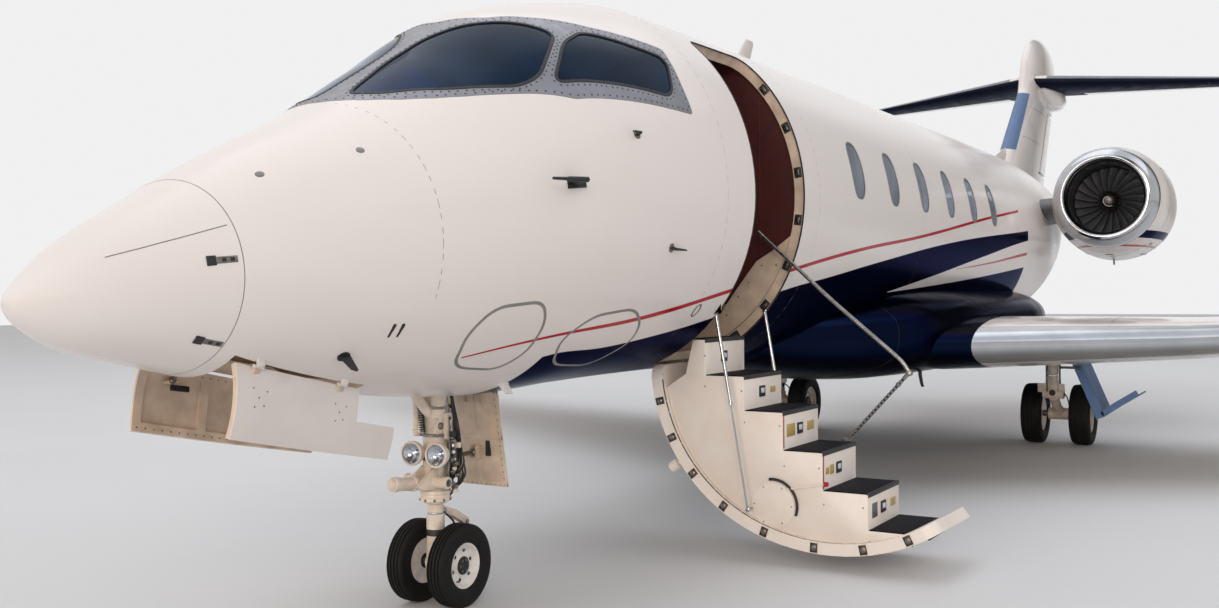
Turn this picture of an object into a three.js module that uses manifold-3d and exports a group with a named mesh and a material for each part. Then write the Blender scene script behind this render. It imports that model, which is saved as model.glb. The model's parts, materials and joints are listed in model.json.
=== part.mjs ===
// A twin-engined business jet parked on its gear with its airstair open.
// Millimetres. +Z up, nose toward -Y, port side toward +X, ground at z = 0.
// Stations are millimetres aft of the nose tip; a point is (x, station, z).
import * as THREE from "three";
import { mergeVertices } from "three/addons/utils/BufferGeometryUtils.js";
import Module from "manifold-3d";

const wasm = await Module();
wasm.setup();

// Main dimensions.
const LENGTH = 20920;
const WALL = 75;
const GAP = 0.3;
const RADOME_SEAM = 710;
const COCKPIT_END = 3850;
const CABIN_END = 12600;
const FLOOR_TOP = 1630;
const FLOOR_THICKNESS = 30;

// Fuselage sections: station, crown, keel, half width, height of the widest line.
const FUSELAGE = [
  [0, 1677, 1677, 0, 1677],
  [50, 1746, 1594, 107, 1687],
  [220, 1903, 1496, 242, 1706],
  [550, 2102, 1410, 405, 1751],
  [1000, 2346, 1311, 587, 1824],
  [1550, 2611, 1218, 774, 1927],
  [2100, 2944, 1161, 920, 2036],
  [2700, 3302, 1140, 1036, 2149],
  [3300, 3471, 1160, 1100, 2237],
  [3900, 3569, 1169, 1133, 2299],
  [4600, 3580, 1171, 1148, 2345],
  [5300, 3586, 1166, 1151, 2376],
  [8000, 3610, 1166, 1151, 2376],
  [12000, 3640, 1168, 1151, 2378],
  [13000, 3648, 1196, 1138, 2390],
  [14000, 3650, 1270, 1090, 2420],
  [15000, 3640, 1400, 1000, 2480],
  [16000, 3612, 1590, 872, 2580],
  [17000, 3575, 1860, 715, 2720],
  [18000, 3530, 2210, 545, 2880],
  [19000, 3470, 2610, 370, 3050],
  [19600, 3420, 2850, 255, 3140],
  [19900, 3380, 2960, 190, 3175],
];
const RING_COUNT = 28;
const RADOME_STATIONS = [10, 50, 140, 280, 480, 710];
const COCKPIT_STATIONS = [710.3, 1000, 1350, 1700, 2050, 2400, 2750, 3200, 3850];
const CABIN_STATIONS = [3850.3, 4400, 5300, 8500, 12600];
const TAIL_STATIONS = [12600.3, 13600, 14800, 16200, 17600, 19000, 19900];

// Windscreen and surround outlines on the skin: station and angle above the widest line.
const SURROUND = [
  [1598, 90], [1620, 80], [1655, 72], [1750, 62], [1870, 54.5], [2000, 49], [2233, 41.7],
  [2573, 31.6], [3577, 22.2], [3585, 31], [3639, 44.6], [3399, 50], [3114, 55.9],
  [2781, 66.2], [2584, 74.7], [2495, 90],
];
const FRONT_PANE = [
  [1684, 82.6], [1741, 70.3], [1964, 55.3], [2287, 43.3], [2434, 42.8], [2775, 55.1],
  [2688, 62.6], [2436, 78.4], [2268, 85.3], [2029, 86.3],
];
const SIDE_PANE = [
  [2978, 53.5], [3077, 52.1], [3544, 41.6], [3561, 38.7], [3423, 27.9], [2494, 38.8],
  [2766, 50.7],
];

// Cabin windows, six a side.
const WINDOW_FIRST = 6190;
const WINDOW_PITCH = 880;
const WINDOW_COUNT = 6;
const WINDOW_SIDES = 8;
const WINDOW_ANGLE = 13.1;
const WINDOW_HALF_ANGLE = 10.8;
const WINDOW_HALF_WIDTH = 140;

// Airstair: one door that hinges at its sill and carries the steps.
const DOOR_OPENING = { from: 4220, to: 5035, low: -72, high: 55 };
const DOOR = { from: 4256, to: 5000, low: -70.4, high: 54.2 };
const DOOR_HINGE = { x: 375, z: 1241 };
const DOOR_SWING = 108.4;
const DOOR_PIN = 10;
const DOOR_LUGS = [4300, 4600, 4905];
const DOOR_WEBS = [4390, 4690];
const STEP_FROM = 4310;
const STEP_TO = 4930;
const STEP_NOSES = [
  [653, 1403], [739, 1403], [739, 1170], [1014, 1170], [1014, 951], [1278, 951],
  [1278, 713], [1540, 713], [1540, 480], [1829, 480], [1829, 262], [2200, 262],
];
const RAIL_STATION = 4950;
const RAIL_RADIUS = 13;
const RAIL_FOOT = [1472, 718];
const RAIL_BEND = [1890, 1180];
const RAIL_TOP = [830, 2130];
const STRUT_STATIONS = { fwd: 4238, aft: 5017.5 };
const STRUT_JAMB = [855, 1584];
const STRUT_STAIR = [1072, 338];
const STRUT_TUBE_LENGTH = 600;

// Wing: station of the leading edge, height, chord, thickness share, outward lean.
const WING = [
  { x: 1100, le: 7340, z: 1232, chord: 4720, t: 0.105, lean: 0 },
  { x: 3200, le: 8600, z: 1275, chord: 3200, t: 0.118, lean: 0 },
  { x: 9300, le: 12260, z: 1550, chord: 1180, t: 0.11, lean: 0 },
  { x: 9620, le: 12480, z: 1590, chord: 1060, t: 0.105, lean: 20 },
  { x: 9900, le: 12760, z: 1730, chord: 900, t: 0.1, lean: 48 },
  { x: 10110, le: 13080, z: 2000, chord: 740, t: 0.095, lean: 64 },
  { x: 10480, le: 13880, z: 2860, chord: 420, t: 0.09, lean: 66 },
];
const AILERON = { from: 6700, to: 9050, hinge: 0.76, swing: 22 };
const FIN = [
  { z: 3300, le: 15550, chord: 3570, t: 0.11 },
  { z: 5000, le: 17500, chord: 2610, t: 0.11 },
  { z: 5550, le: 17720, chord: 2640, t: 0.105 },
  { z: 5830, le: 17960, chord: 2330, t: 0.1 },
  { z: 6000, le: 18300, chord: 1750, t: 0.09 },
  { z: 6080, le: 18700, chord: 1000, t: 0.07 },
];
const RUDDER = { from: 3760, to: 4850, hinge: 0.7, swing: 30 };
const TAILPLANE = [
  { x: -3750, le: 20190, z: 5270, chord: 700, t: 0.1 },
  { x: 0, le: 17830, z: 5270, chord: 2150, t: 0.1 },
  { x: 3750, le: 20190, z: 5270, chord: 700, t: 0.1 },
];
const ELEVATOR = { from: 640, to: 3560, hinge: 0.7, swing: 22 };
const BULLET = [
  [0, 18300], [120, 18420], [205, 18800], [240, 19400], [225, 20000], [150, 20600], [0, 20920],
];
const DORSAL = [[15050, 3560], [15500, 3720], [16300, 3960], [16800, 3560]];

// Belly fairing: station, half width, keel, top.
const FAIRING = [
  [5600, 300, 1215, 1500],
  [6200, 720, 1090, 1600],
  [6900, 1120, 985, 1690],
  [7600, 1370, 925, 1760],
  [9000, 1440, 905, 1800],
  [11200, 1440, 905, 1800],
  [12300, 1350, 950, 1790],
  [13100, 1060, 1060, 1740],
  [13800, 640, 1200, 1680],
  [14200, 300, 1320, 1600],
];

// Engine, measured from the middle of its intake highlight; radius and distance aft.
const ENGINE = { x: 1906, station: 12990, z: 2884, toe: 1.5, tilt: 1.5 };
const LIP = [
  [494, 0], [520, 8], [560, 55], [592, 130], [620, 230], [430, 230], [440, 120], [462, 40],
];
const NACELLE = [
  [620.3, 230.3], [690, 620], [722, 1250], [690, 1850], [600, 2650], [520, 3200], [500, 3200],
  [560, 2400], [560, 1400], [446, 900], [446, 560], [430.3, 230.3],
];
const CORE = [
  [0, 855 + GAP], [60, 855 + GAP], [60, 868], [150, 868], [250, 1000], [330, 1250], [400, 1650], [400, 2300], [330, 2900],
  [250, 3250], [110, 3520], [0, 3640],
];
const FAN_FRONT = 640;
const FAN_BACK = 855;
const FAN_TIP = 433;
const FAN_BLADES = 22;
const BLADE_TURN = 1.7;
const SPINNER = [[0, 430], [60, 470], [110, 560], [132, 640], [132, 855], [0, 855]];
const PYLON = [
  { x: 500, le: 13650, z: 2780, chord: 2650, t: 0.125 },
  { x: 1800, le: 13450, z: 2860, chord: 2500, t: 0.125 },
];

// Landing gear.
const NOSE_GEAR = { station: 2500, radius: 228.5, half: 140, width: 118, rim: 125, leg: 2470 };
const MAIN_GEAR = { station: 11450, radius: 336.5, x: 1655, half: 255, width: 225, rim: 200 };
const MAIN_DOOR_LINE = [[1878, 1040], [2166, 345], [2295, 452], [2516, 597]];
const TYRE_SIDES = 16;
const ENGINE_SIDES = 20;
const BAY_HALF = 330;
const BAY_HINGE = { x: 322, from: [800, 1427], to: [1550, 1261], knuckles: [90, 600] };
const BAY_SWING = 76;

const half = LENGTH / 2;
const rad = (degrees) => (degrees * Math.PI) / 180;
const at = (x, station, z) => new THREE.Vector3(x, station - half, z);

// A smooth curve through table values that never overshoots between them.
function curve(xs, ys) {
  const n = xs.length;
  const h = [];
  const slope = [];
  for (let i = 0; i < n - 1; i++) {
    h.push(xs[i + 1] - xs[i]);
    slope.push((ys[i + 1] - ys[i]) / h[i]);
  }
  const m = [slope[0]];
  for (let i = 1; i < n - 1; i++) {
    if (slope[i - 1] * slope[i] <= 0) {
      m.push(0);
    } else {
      const a = 2 * h[i] + h[i - 1];
      const b = h[i] + 2 * h[i - 1];
      m.push((a + b) / (a / slope[i - 1] + b / slope[i]));
    }
  }
  m.push(slope[n - 2]);
  return (x) => {
    let i = 0;
    while (i < n - 2 && x > xs[i + 1]) i++;
    const t = (x - xs[i]) / h[i];
    const t2 = t * t;
    const t3 = t2 * t;
    return (
      (2 * t3 - 3 * t2 + 1) * ys[i] +
      (t3 - 2 * t2 + t) * h[i] * m[i] +
      (3 * t2 - 2 * t3) * ys[i + 1] +
      (t3 - t2) * h[i] * m[i + 1]
    );
  };
}

const roots = FUSELAGE.map((row) => Math.sqrt(row[0]));
const fuselageColumn = (column) => {
  const f = curve(roots, FUSELAGE.map((row) => row[column]));
  return (station) => f(Math.sqrt(station));
};
const crownAt = fuselageColumn(1);
const keelAt = fuselageColumn(2);
const halfWidthAt = fuselageColumn(3);
const midAt = fuselageColumn(4);

// A point on the skin, or a given distance inside it.
function skinPoint(station, degrees, inset) {
  const t = rad(degrees);
  const mid = midAt(station);
  const rise = Math.sin(t) >= 0 ? crownAt(station) - mid : mid - keelAt(station);
  const x = (halfWidthAt(station) - inset) * Math.cos(t);
  return at(x, station, mid + (rise - inset) * Math.sin(t));
}

// A closed surface as a solid, turned to face outward.
function closedSolid(positions, triangles) {
  const make = (list) =>
    new wasm.Manifold(
      new wasm.Mesh({
        numProp: 3,
        vertProperties: new Float32Array(positions),
        triVerts: new Uint32Array(list),
      }),
    );
  const made = make(triangles);
  if (made.volume() >= 0) return made;
  const turned = [];
  for (let i = 0; i < triangles.length; i += 3) {
    turned.push(triangles[i], triangles[i + 2], triangles[i + 1]);
  }
  return make(turned);
}

function solidFrom(geometry) {
  const bare = new THREE.BufferGeometry();
  bare.setAttribute("position", geometry.getAttribute("position"));
  if (geometry.index) bare.setIndex(geometry.index);
  const merged = mergeVertices(bare, 1e-3);
  const p = merged.getAttribute("position").array;
  const kept = [];
  const index = merged.index.array;
  for (let i = 0; i < index.length; i += 3) {
    const [a, b, c] = [index[i], index[i + 1], index[i + 2]];
    if (a !== b && b !== c && a !== c) kept.push(a, b, c);
  }
  return closedSolid(p, kept);
}

function geometryFrom(solid) {
  const mesh = solid.getMesh();
  const n = mesh.numProp;
  const positions = new Float32Array(mesh.numVert * 3);
  for (let i = 0; i < mesh.numVert; i++) {
    positions.set(mesh.vertProperties.subarray(i * n, i * n + 3), i * 3);
  }
  const geometry = new THREE.BufferGeometry();
  geometry.setAttribute("position", new THREE.BufferAttribute(positions, 3));
  geometry.setIndex(new THREE.BufferAttribute(new Uint32Array(mesh.triVerts), 1));
  geometry.computeVertexNormals();
  return geometry;
}

function moved(solid, matrix) {
  const geometry = geometryFrom(solid);
  geometry.applyMatrix4(matrix);
  return closedSolid(geometry.getAttribute("position").array, Array.from(geometry.index.array));
}

const mirrored = (solid) => moved(solid, new THREE.Matrix4().makeScale(-1, 1, 1));

// Rings of equal length joined in order, each end closed by a fan about its middle or a tip.
function loft(rings, tip) {
  const n = rings[0].length;
  const positions = [];
  const triangles = [];
  for (const ring of rings) for (const p of ring) positions.push(p.x, p.y, p.z);
  for (let i = 0; i < rings.length - 1; i++) {
    for (let j = 0; j < n; j++) {
      const a = i * n + j;
      const b = i * n + ((j + 1) % n);
      triangles.push(a, b, b + n, a, b + n, a + n);
    }
  }
  for (const end of [0, rings.length - 1]) {
    const middle = new THREE.Vector3();
    for (const p of rings[end]) middle.add(p);
    middle.divideScalar(n);
    if (end === 0 && tip) middle.copy(tip);
    const centre = positions.length / 3;
    positions.push(middle.x, middle.y, middle.z);
    for (let j = 0; j < n; j++) {
      const a = end * n + j;
      const b = end * n + ((j + 1) % n);
      if (end === 0) triangles.push(centre, b, a);
      else triangles.push(centre, a, b);
    }
  }
  return closedSolid(positions, triangles);
}

// A flat outline pushed along x, the station line or z.
function slab(axis, outline, from, to) {
  const shape = new THREE.Shape(outline.map(([a, b]) => new THREE.Vector2(a, b)));
  const geometry = new THREE.ExtrudeGeometry(shape, { depth: to - from, bevelEnabled: false });
  const p = geometry.getAttribute("position");
  for (let i = 0; i < p.count; i++) {
    const a = p.getX(i);
    const b = p.getY(i);
    const c = p.getZ(i) + from;
    if (axis === "x") p.setXYZ(i, c, a - half, b);
    if (axis === "station") p.setXYZ(i, a, c - half, b);
    if (axis === "z") p.setXYZ(i, a, b - half, c);
  }
  return solidFrom(geometry);
}

// A flat strip of even thickness along a line of points, mitred at its corners.
function ribbon(points, thickness) {
  const normal = (i) => {
    const [a0, b0] = points[i];
    const [a1, b1] = points[i + 1];
    const length = Math.hypot(a1 - a0, b1 - b0);
    return [-(b1 - b0) / length, (a1 - a0) / length];
  };
  const last = points.length - 1;
  const sides = [1, -1].map((side) =>
    points.map(([a, b], i) => {
      const n = normal(Math.max(0, i - 1));
      const m = normal(Math.min(last - 1, i));
      const push = (side * thickness) / 2 / (1 + n[0] * m[0] + n[1] * m[1]);
      return [a + (n[0] + m[0]) * push, b + (n[1] + m[1]) * push];
    }),
  );
  return [...sides[0], ...sides[1].reverse()];
}

function block(x0, x1, s0, s1, z0, z1) {
  const geometry = new THREE.BoxGeometry(x1 - x0, s1 - s0, z1 - z0);
  geometry.translate((x0 + x1) / 2, (s0 + s1) / 2 - half, (z0 + z1) / 2);
  return solidFrom(geometry);
}

// A round bar between two points.
function bar(from, to, radius, sides = 12, radiusTo = radius) {
  const length = from.distanceTo(to);
  const geometry = new THREE.CylinderGeometry(radiusTo, radius, length, sides);
  const direction = to.clone().sub(from).normalize();
  const turn = new THREE.Quaternion().setFromUnitVectors(new THREE.Vector3(0, 1, 0), direction);
  geometry.applyQuaternion(turn);
  geometry.translate((from.x + to.x) / 2, (from.y + to.y) / 2, (from.z + to.z) / 2);
  return solidFrom(geometry);
}

// A profile of radius and distance turned about a line through a point along y or x.
function turned(profile, sides, axis = "y", twist = 0) {
  const points = profile.map(([r, d]) => new THREE.Vector2(r, d));
  if (profile[0][0] !== 0) points.push(points[0].clone());
  const geometry = new THREE.LatheGeometry(points, sides, twist);
  if (axis === "x") geometry.rotateZ(-Math.PI / 2);
  return solidFrom(geometry);
}

function shifted(solid, x, y, z) {
  return moved(solid, new THREE.Matrix4().makeTranslation(x, y, z));
}

const joined = (solids) => solids.reduce((sum, solid) => sum.add(solid));

// The fuselage between stations, cut at a given distance inside its skin.
function fuselage(stations, inset, tip) {
  return loft(
    stations.map((station) => {
      const ring = [];
      for (let j = 0; j < RING_COUNT; j++) {
        ring.push(skinPoint(station, (360 * j) / RING_COUNT, inset));
      }
      return ring;
    }),
    tip,
  );
}

// A solid that passes through the skin along an outline of station and angle.
function skinCutter(outline, inner = 0.5, outer = 1.6) {
  const near = [];
  const far = [];
  outline.forEach(([s0, a0], i) => {
    const [s1, a1] = outline[(i + 1) % outline.length];
    const steps = Math.max(1, Math.ceil(Math.max(Math.abs(s1 - s0) / 700, Math.abs(a1 - a0) / 14)));
    for (let k = 0; k < steps; k++) {
      const station = s0 + ((s1 - s0) * k) / steps;
      const p = skinPoint(station, a0 + ((a1 - a0) * k) / steps, 0);
      const middle = at(0, station, midAt(station));
      near.push(middle.clone().lerp(p, inner));
      far.push(middle.clone().lerp(p, outer));
    }
  });
  return loft([near, far]);
}

// An outline of station and angle drawn inward by a distance along the skin.
const MM_PER_DEGREE = 18;
function drawnIn(outline, distance) {
  const flat = outline.map(([s, a]) => [s, a * MM_PER_DEGREE]);
  const count = flat.length;
  const area = flat.reduce((sum, [x, y], i) => {
    const [u, v] = flat[(i + 1) % count];
    return sum + x * v - u * y;
  }, 0);
  const normal = (i) => {
    const [x0, y0] = flat[(i + count) % count];
    const [x1, y1] = flat[(i + 1) % count];
    const length = Math.hypot(x1 - x0, y1 - y0) * Math.sign(area);
    return [-(y1 - y0) / length, (x1 - x0) / length];
  };
  return flat.map(([x, y], i) => {
    const n = normal(i - 1);
    const m = normal(i);
    const push = distance / (1 + n[0] * m[0] + n[1] * m[1]);
    return [x + (n[0] + m[0]) * push, (y + (n[1] + m[1]) * push) / MM_PER_DEGREE];
  });
}

// A wedge of the fuselage's wall between two stations and two angles.
function wallSector(zone, grow) {
  const outline = [];
  const station = (zone.from + zone.to) / 2;
  const steps = 14;
  for (let i = 0; i <= steps; i++) {
    const p = skinPoint(station, zone.low + ((zone.high - zone.low) * i) / steps, -200);
    outline.push([p.x, p.z]);
  }
  for (let i = steps; i >= 0; i--) {
    const p = skinPoint(station, zone.low + ((zone.high - zone.low) * i) / steps, 200);
    outline.push([p.x, p.z]);
  }
  return slab("station", outline, zone.from - grow, zone.to + grow);
}

// Half thickness of a smooth symmetrical section at a share of its chord.
function halfThickness(share, thickness, chord) {
  const root = 0.2969 * Math.sqrt(share);
  const rest = share * (-0.126 + share * (-0.3516 + share * (0.2843 - 0.1036 * share)));
  return 5 * thickness * chord * (root + rest) + 3 * share;
}

const CHORD_SHARES = [0.012, 0.05, 0.13, 0.27, 0.45, 0.62, 0.78, 0.9, 1];

// One row of a lifting surface's table, between two of its rows.
function rowBetween(table, key, value) {
  let i = 0;
  while (i < table.length - 2 && value > table[i + 1][key]) i++;
  const t = (value - table[i][key]) / (table[i + 1][key] - table[i][key]);
  const row = {};
  for (const name of Object.keys(table[i])) {
    row[name] = table[i][name] + (table[i + 1][name] - table[i][name]) * t;
  }
  return row;
}

// A point of a lifting surface at a share of its chord and a distance off its middle plane.
function sectionPoint(row, share, off, upright) {
  const station = row.le + row.chord * share;
  if (upright) return at(off, station, row.z);
  const lean = rad(row.lean ?? 0);
  return at(row.x - off * Math.sin(lean), station, row.z + off * Math.cos(lean));
}

function section(row, upright, grow = 0) {
  const upper = CHORD_SHARES.map((share) => {
    const off = halfThickness(share, row.t, row.chord) + grow;
    return sectionPoint(row, share, off, upright);
  });
  const lower = CHORD_SHARES.map((share) => {
    const off = halfThickness(share, row.t, row.chord) + grow;
    return sectionPoint(row, share, -off, upright);
  });
  const nose = sectionPoint(row, 0, 0, upright);
  nose.y -= grow;
  for (const list of [upper, lower]) list[list.length - 1].y += grow;
  return [nose, ...upper, ...lower.reverse()];
}

const surface = (table, upright, grow = 0) =>
  loft(table.map((row) => section(row, upright, grow)));

// A hinged surface: its solid, its slot in the fixed surface, its hinge line and brackets.
function hinged(table, key, spec, upright) {
  const ends = [spec.from, spec.to].map((value) => rowBetween(table, key, value));
  const pins = ends.map((row) => sectionPoint(row, spec.hinge, 0, upright));
  const span = pins[1].distanceTo(pins[0]);
  const axis = pins[1].clone().sub(pins[0]).normalize();
  const square = Math.hypot(axis.x, axis.z);
  const rowAt = (t) => rowBetween(table, key, spec.from + (spec.to - spec.from) * t);
  const noseRadius = (row) => halfThickness(spec.hinge, row.t, row.chord);
  const rings = [-0.12, 1.12].map((t) => {
    const row = rowAt(t);
    const ring = [];
    for (let i = 0; i <= 6; i++) {
      const a = Math.PI / 2 + (Math.PI * i) / 6;
      const share = spec.hinge + (noseRadius(row) * Math.cos(a)) / (square * row.chord);
      ring.push(sectionPoint(row, share, noseRadius(row) * Math.sin(a), upright));
    }
    const off = (share) => halfThickness(share, row.t, row.chord);
    const aft = [0.84, 0.92, 1];
    const low = aft.map((share) => sectionPoint(row, share, -off(share), upright));
    const high = aft.map((share) => sectionPoint(row, share, off(share), upright));
    return [...ring, ...low, ...high.reverse()];
  });
  const across = upright ? new THREE.Vector3(1, 0, 0) : new THREE.Vector3(0, 0, 1);
  const aftward = new THREE.Vector3(0, 1, 0);
  const piece = (start, end, ahead, behind, tall) => {
    const ring = (p) =>
      [[-ahead, -tall], [-ahead, tall], [behind, tall], [behind, -tall]].map(([a, b]) =>
        p.clone().addScaledVector(aftward, a / square).addScaledVector(across, b),
      );
    return loft([ring(start), ring(end)]);
  };
  const along = (distance) => pins[0].clone().addScaledVector(axis, distance);
  const ahead = Math.max(...ends.map(noseRadius));
  const reach = (1 - spec.hinge) * ends[1].chord * square * Math.abs(axis.y);
  const tailRoom = (1 - Math.cos(rad(spec.swing))) * reach;
  const flankRoom = ahead * Math.abs(axis.y) * Math.sin(rad(spec.swing));
  const slotFrom = -(flankRoom + 8) / square;
  const slotTo = span + (Math.max(flankRoom, tailRoom) + 8) / square;
  const brackets = [0.12, 0.5, 0.88].map((t) => {
    const radius = noseRadius(rowAt(t - 20 / span)) + GAP;
    const at0 = along(span * t - 18);
    return piece(at0, along(span * t + 18), ahead + 25, -radius, radius * 0.45);
  });
  return {
    solid: loft(rings).intersect(piece(along(0), along(span), ahead + 20, 1500, 1500)),
    slot: piece(along(slotFrom), along(slotTo), ahead + 10, 1500, 1500),
    brackets: joined(brackets),
    pin: pins[0],
    axis,
  };
}

const group = new THREE.Group();
group.name = "business_jet";
const solids = new Map();

const PAINTS = {
  white: 0xece8e2,
  navy: 0x14223f,
  grey: 0x77787a,
  steel: 0xb4b6b8,
  glass: 0x24384e,
  rubber: 0x1b1b1c,
  cream: 0xd9cdb8,
  leather: 0x8d3a2a,
  dark: 0x2a2b2d,
};

function add(name, solid, paint) {
  const look = new THREE.MeshStandardMaterial({ color: PAINTS[paint] });
  const mesh = new THREE.Mesh(geometryFrom(solid), look);
  mesh.name = name;
  group.add(mesh);
  solids.set(name, solid);
}

// Fuselage shells.
const inside = (stations, inset) => fuselage(stations, inset);
const bodyOutside = fuselage([...RADOME_STATIONS, ...COCKPIT_STATIONS, ...CABIN_STATIONS,
  ...TAIL_STATIONS], -GAP);
add("nose_radome", fuselage(RADOME_STATIONS, 0, at(0, 0, 1677)), "white");

const surroundAt = (gap) => {
  const pulled = drawnIn(SURROUND, gap);
  const port = skinCutter(pulled.map(([s, a], i) => (SURROUND[i][1] === 90 ? [s, 90.6] : [s, a])));
  return port.add(mirrored(port));
};
const panesAt = (gap) => {
  const port = skinCutter(drawnIn(FRONT_PANE, gap)).add(skinCutter(drawnIn(SIDE_PANE, gap)));
  return port.add(mirrored(port));
};

const bayBox = block(-BAY_HALF, BAY_HALF, 790, 1760, 1000, 1790)
  .add(block(-BAY_HALF, BAY_HALF, 1700, 2750, 1000, 1570));
const bayWalls = block(-BAY_HALF - 25, BAY_HALF + 25, 700, 1785, 1000, 1815)
  .add(block(-BAY_HALF - 25, BAY_HALF + 25, 1690, 2775, 1000, 1595));
const bayMouth = slab("z", [
  [-325, 790], [325, 790], [325, 1560], [178, 1560], [178, 2750], [-178, 2750], [-178, 1560],
  [-325, 1560],
], 900, 1500);
const bayHingeFrom = at(BAY_HINGE.x, ...BAY_HINGE.from);
const bayHingeAxis = at(BAY_HINGE.x, ...BAY_HINGE.to).sub(bayHingeFrom).normalize();
const bayKnuckles = [];
const bayLugs = [];
for (const distance of BAY_HINGE.knuckles) {
  const start = bayHingeFrom.clone().addScaledVector(bayHingeAxis, distance);
  const end = bayHingeFrom.clone().addScaledVector(bayHingeAxis, distance + 60);
  const s = start.y + half;
  const z = (start.z + end.z) / 2;
  const x = BAY_HINGE.x;
  bayKnuckles.push(bar(start, end, 9, 10), block(x - 22, x - 4, s + 6, s + 50, z - 4, z + 36));
  bayLugs.push(block(x + 9 + GAP, x + 26, s + 8, s + 46, z - 5, z + 46));
}
const cockpitInside = [1450, 1700, 2050, 2400, 2750, 3200, 3850, 3900];
const cockpitHollow = inside(cockpitInside, WALL).subtract(bayWalls);
const bayHollow = bayBox.intersect(fuselage(COCKPIT_STATIONS, 26));
const cockpitShell = fuselage(COCKPIT_STATIONS, 0)
  .subtract(cockpitHollow)
  .subtract(bayHollow)
  .subtract(bayMouth)
  .subtract(surroundAt(0))
  .add(joined(bayLugs))
  .add(mirrored(joined(bayLugs)));
add("cockpit_shell", cockpitShell, "white");

const screenBand = [1500, 1700, 2050, 2400, 2750, 3200, 3700];
const screenSkin = (outer, inner) =>
  fuselage(screenBand, outer).subtract(
    fuselage([1499, ...screenBand.slice(1, -1), 3701], inner),
  );
add("windscreen_frame", screenSkin(0, 34).intersect(surroundAt(1)).subtract(panesAt(0)), "grey");
const paneSkin = screenSkin(4, 42).intersect(panesAt(1.5));
const tieAcross = block(-430, 430, 2330, 2420, 2600, 3400);
const tieSide = block(480, 900, 2640, 2760, 2840, 3250);
const paneLiner = screenSkin(34 + GAP, 46).intersect(joined([tieAcross, tieSide, mirrored(tieSide)]));
add("windscreen_glazing", paneSkin.add(paneLiner), "glass");

const onSide = (side, outline) => outline.map(([s, a]) => [s, side > 0 ? a : 180 - a]);
function windowOutline(index, gap) {
  const outline = [];
  for (let i = 0; i < WINDOW_SIDES; i++) {
    const t = (2 * Math.PI * (i + 0.5)) / WINDOW_SIDES;
    const round = (v) => Math.sign(v) * Math.abs(v) ** 0.7;
    outline.push([
      WINDOW_FIRST + WINDOW_PITCH * index + WINDOW_HALF_WIDTH * round(Math.cos(t)),
      WINDOW_ANGLE + WINDOW_HALF_ANGLE * round(Math.sin(t)),
    ]);
  }
  return drawnIn(outline, gap);
}
const windowCuts = (side, gap) => {
  const list = [];
  for (let i = 0; i < WINDOW_COUNT; i++) {
    list.push(skinCutter(onSide(side, windowOutline(i, gap)), 0.7, 1.2));
  }
  return joined(list);
};
const cabinHollow = inside([3800, ...CABIN_STATIONS, 12650], WALL);
const cabinShell = fuselage(CABIN_STATIONS, 0)
  .subtract(cabinHollow)
  .subtract(windowCuts(1, 0))
  .subtract(windowCuts(-1, 0))
  .subtract(wallSector(DOOR_OPENING, 0))
  .add(joined(DOOR_LUGS.map((s) => {
    const { x, z } = DOOR_HINGE;
    return block(x - 35, x - DOOR_PIN - GAP, s, s + 50, z - 8, z + 8);
  })));
add("cabin_shell", cabinShell, "white");

const windowBand = [5300, 8500, 12600];
const windowSkin = (outer, inner) =>
  fuselage(windowBand, outer).subtract(fuselage([5290, ...windowBand, 12610], inner));
const stripOutline = [[5950, 1], [10830, 1], [10830, 26], [5950, 26]];
for (const [name, side] of [["port", 1], ["starboard", -1]]) {
  const strip = windowSkin(WALL + GAP, WALL + 9)
    .intersect(skinCutter(onSide(side, stripOutline), 0.7, 1.2));
  const panes = windowSkin(6, WALL + 5).intersect(windowCuts(side, 1));
  add("cabin_windows_" + name, panes.add(strip), "glass");
}

const tailHollow = inside([12550, ...TAIL_STATIONS.slice(1, -1), 19950], 26);
add("tail_cone", fuselage(TAIL_STATIONS, 0).subtract(tailHollow), "white");

// Inside: floor, bulkhead, panel and seats.
const cabinFit = inside([...cockpitInside.slice(1, -1), ...CABIN_STATIONS], WALL + GAP);
const floorPlate = block(-1100, 1100, 1950, 12500, FLOOR_TOP - FLOOR_THICKNESS, FLOOR_TOP)
  .intersect(cabinFit)
  .subtract(block(50, 1200, 4180, 5060, 1500, 1700));
add("cabin_floor", floorPlate, "cream");

const bulkhead = block(-1200, 1200, 5070, 5110, FLOOR_TOP + GAP, 3700)
  .intersect(cabinFit)
  .subtract(block(-300, 300, 5000, 5200, 1500, 3330));
add("cabin_bulkhead", bulkhead, "leather");

const panelSide = [
  [1990, 2330], [2060, 2440], [2330, 2440], [2360, 2400], [2250, 2060], [2330, 2010],
  [2620, 1960], [2620, 1900], [2560, FLOOR_TOP + GAP], [2180, FLOOR_TOP + GAP], [2120, 2000],
];
const panelWide = slab("x", panelSide.slice(0, 5).concat([[2120, 2060]]), -640, 640);
const pedestal = slab("x", panelSide, -130, 130);
add("instrument_panel", panelWide.add(pedestal).intersect(cabinFit), "dark");

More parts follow.
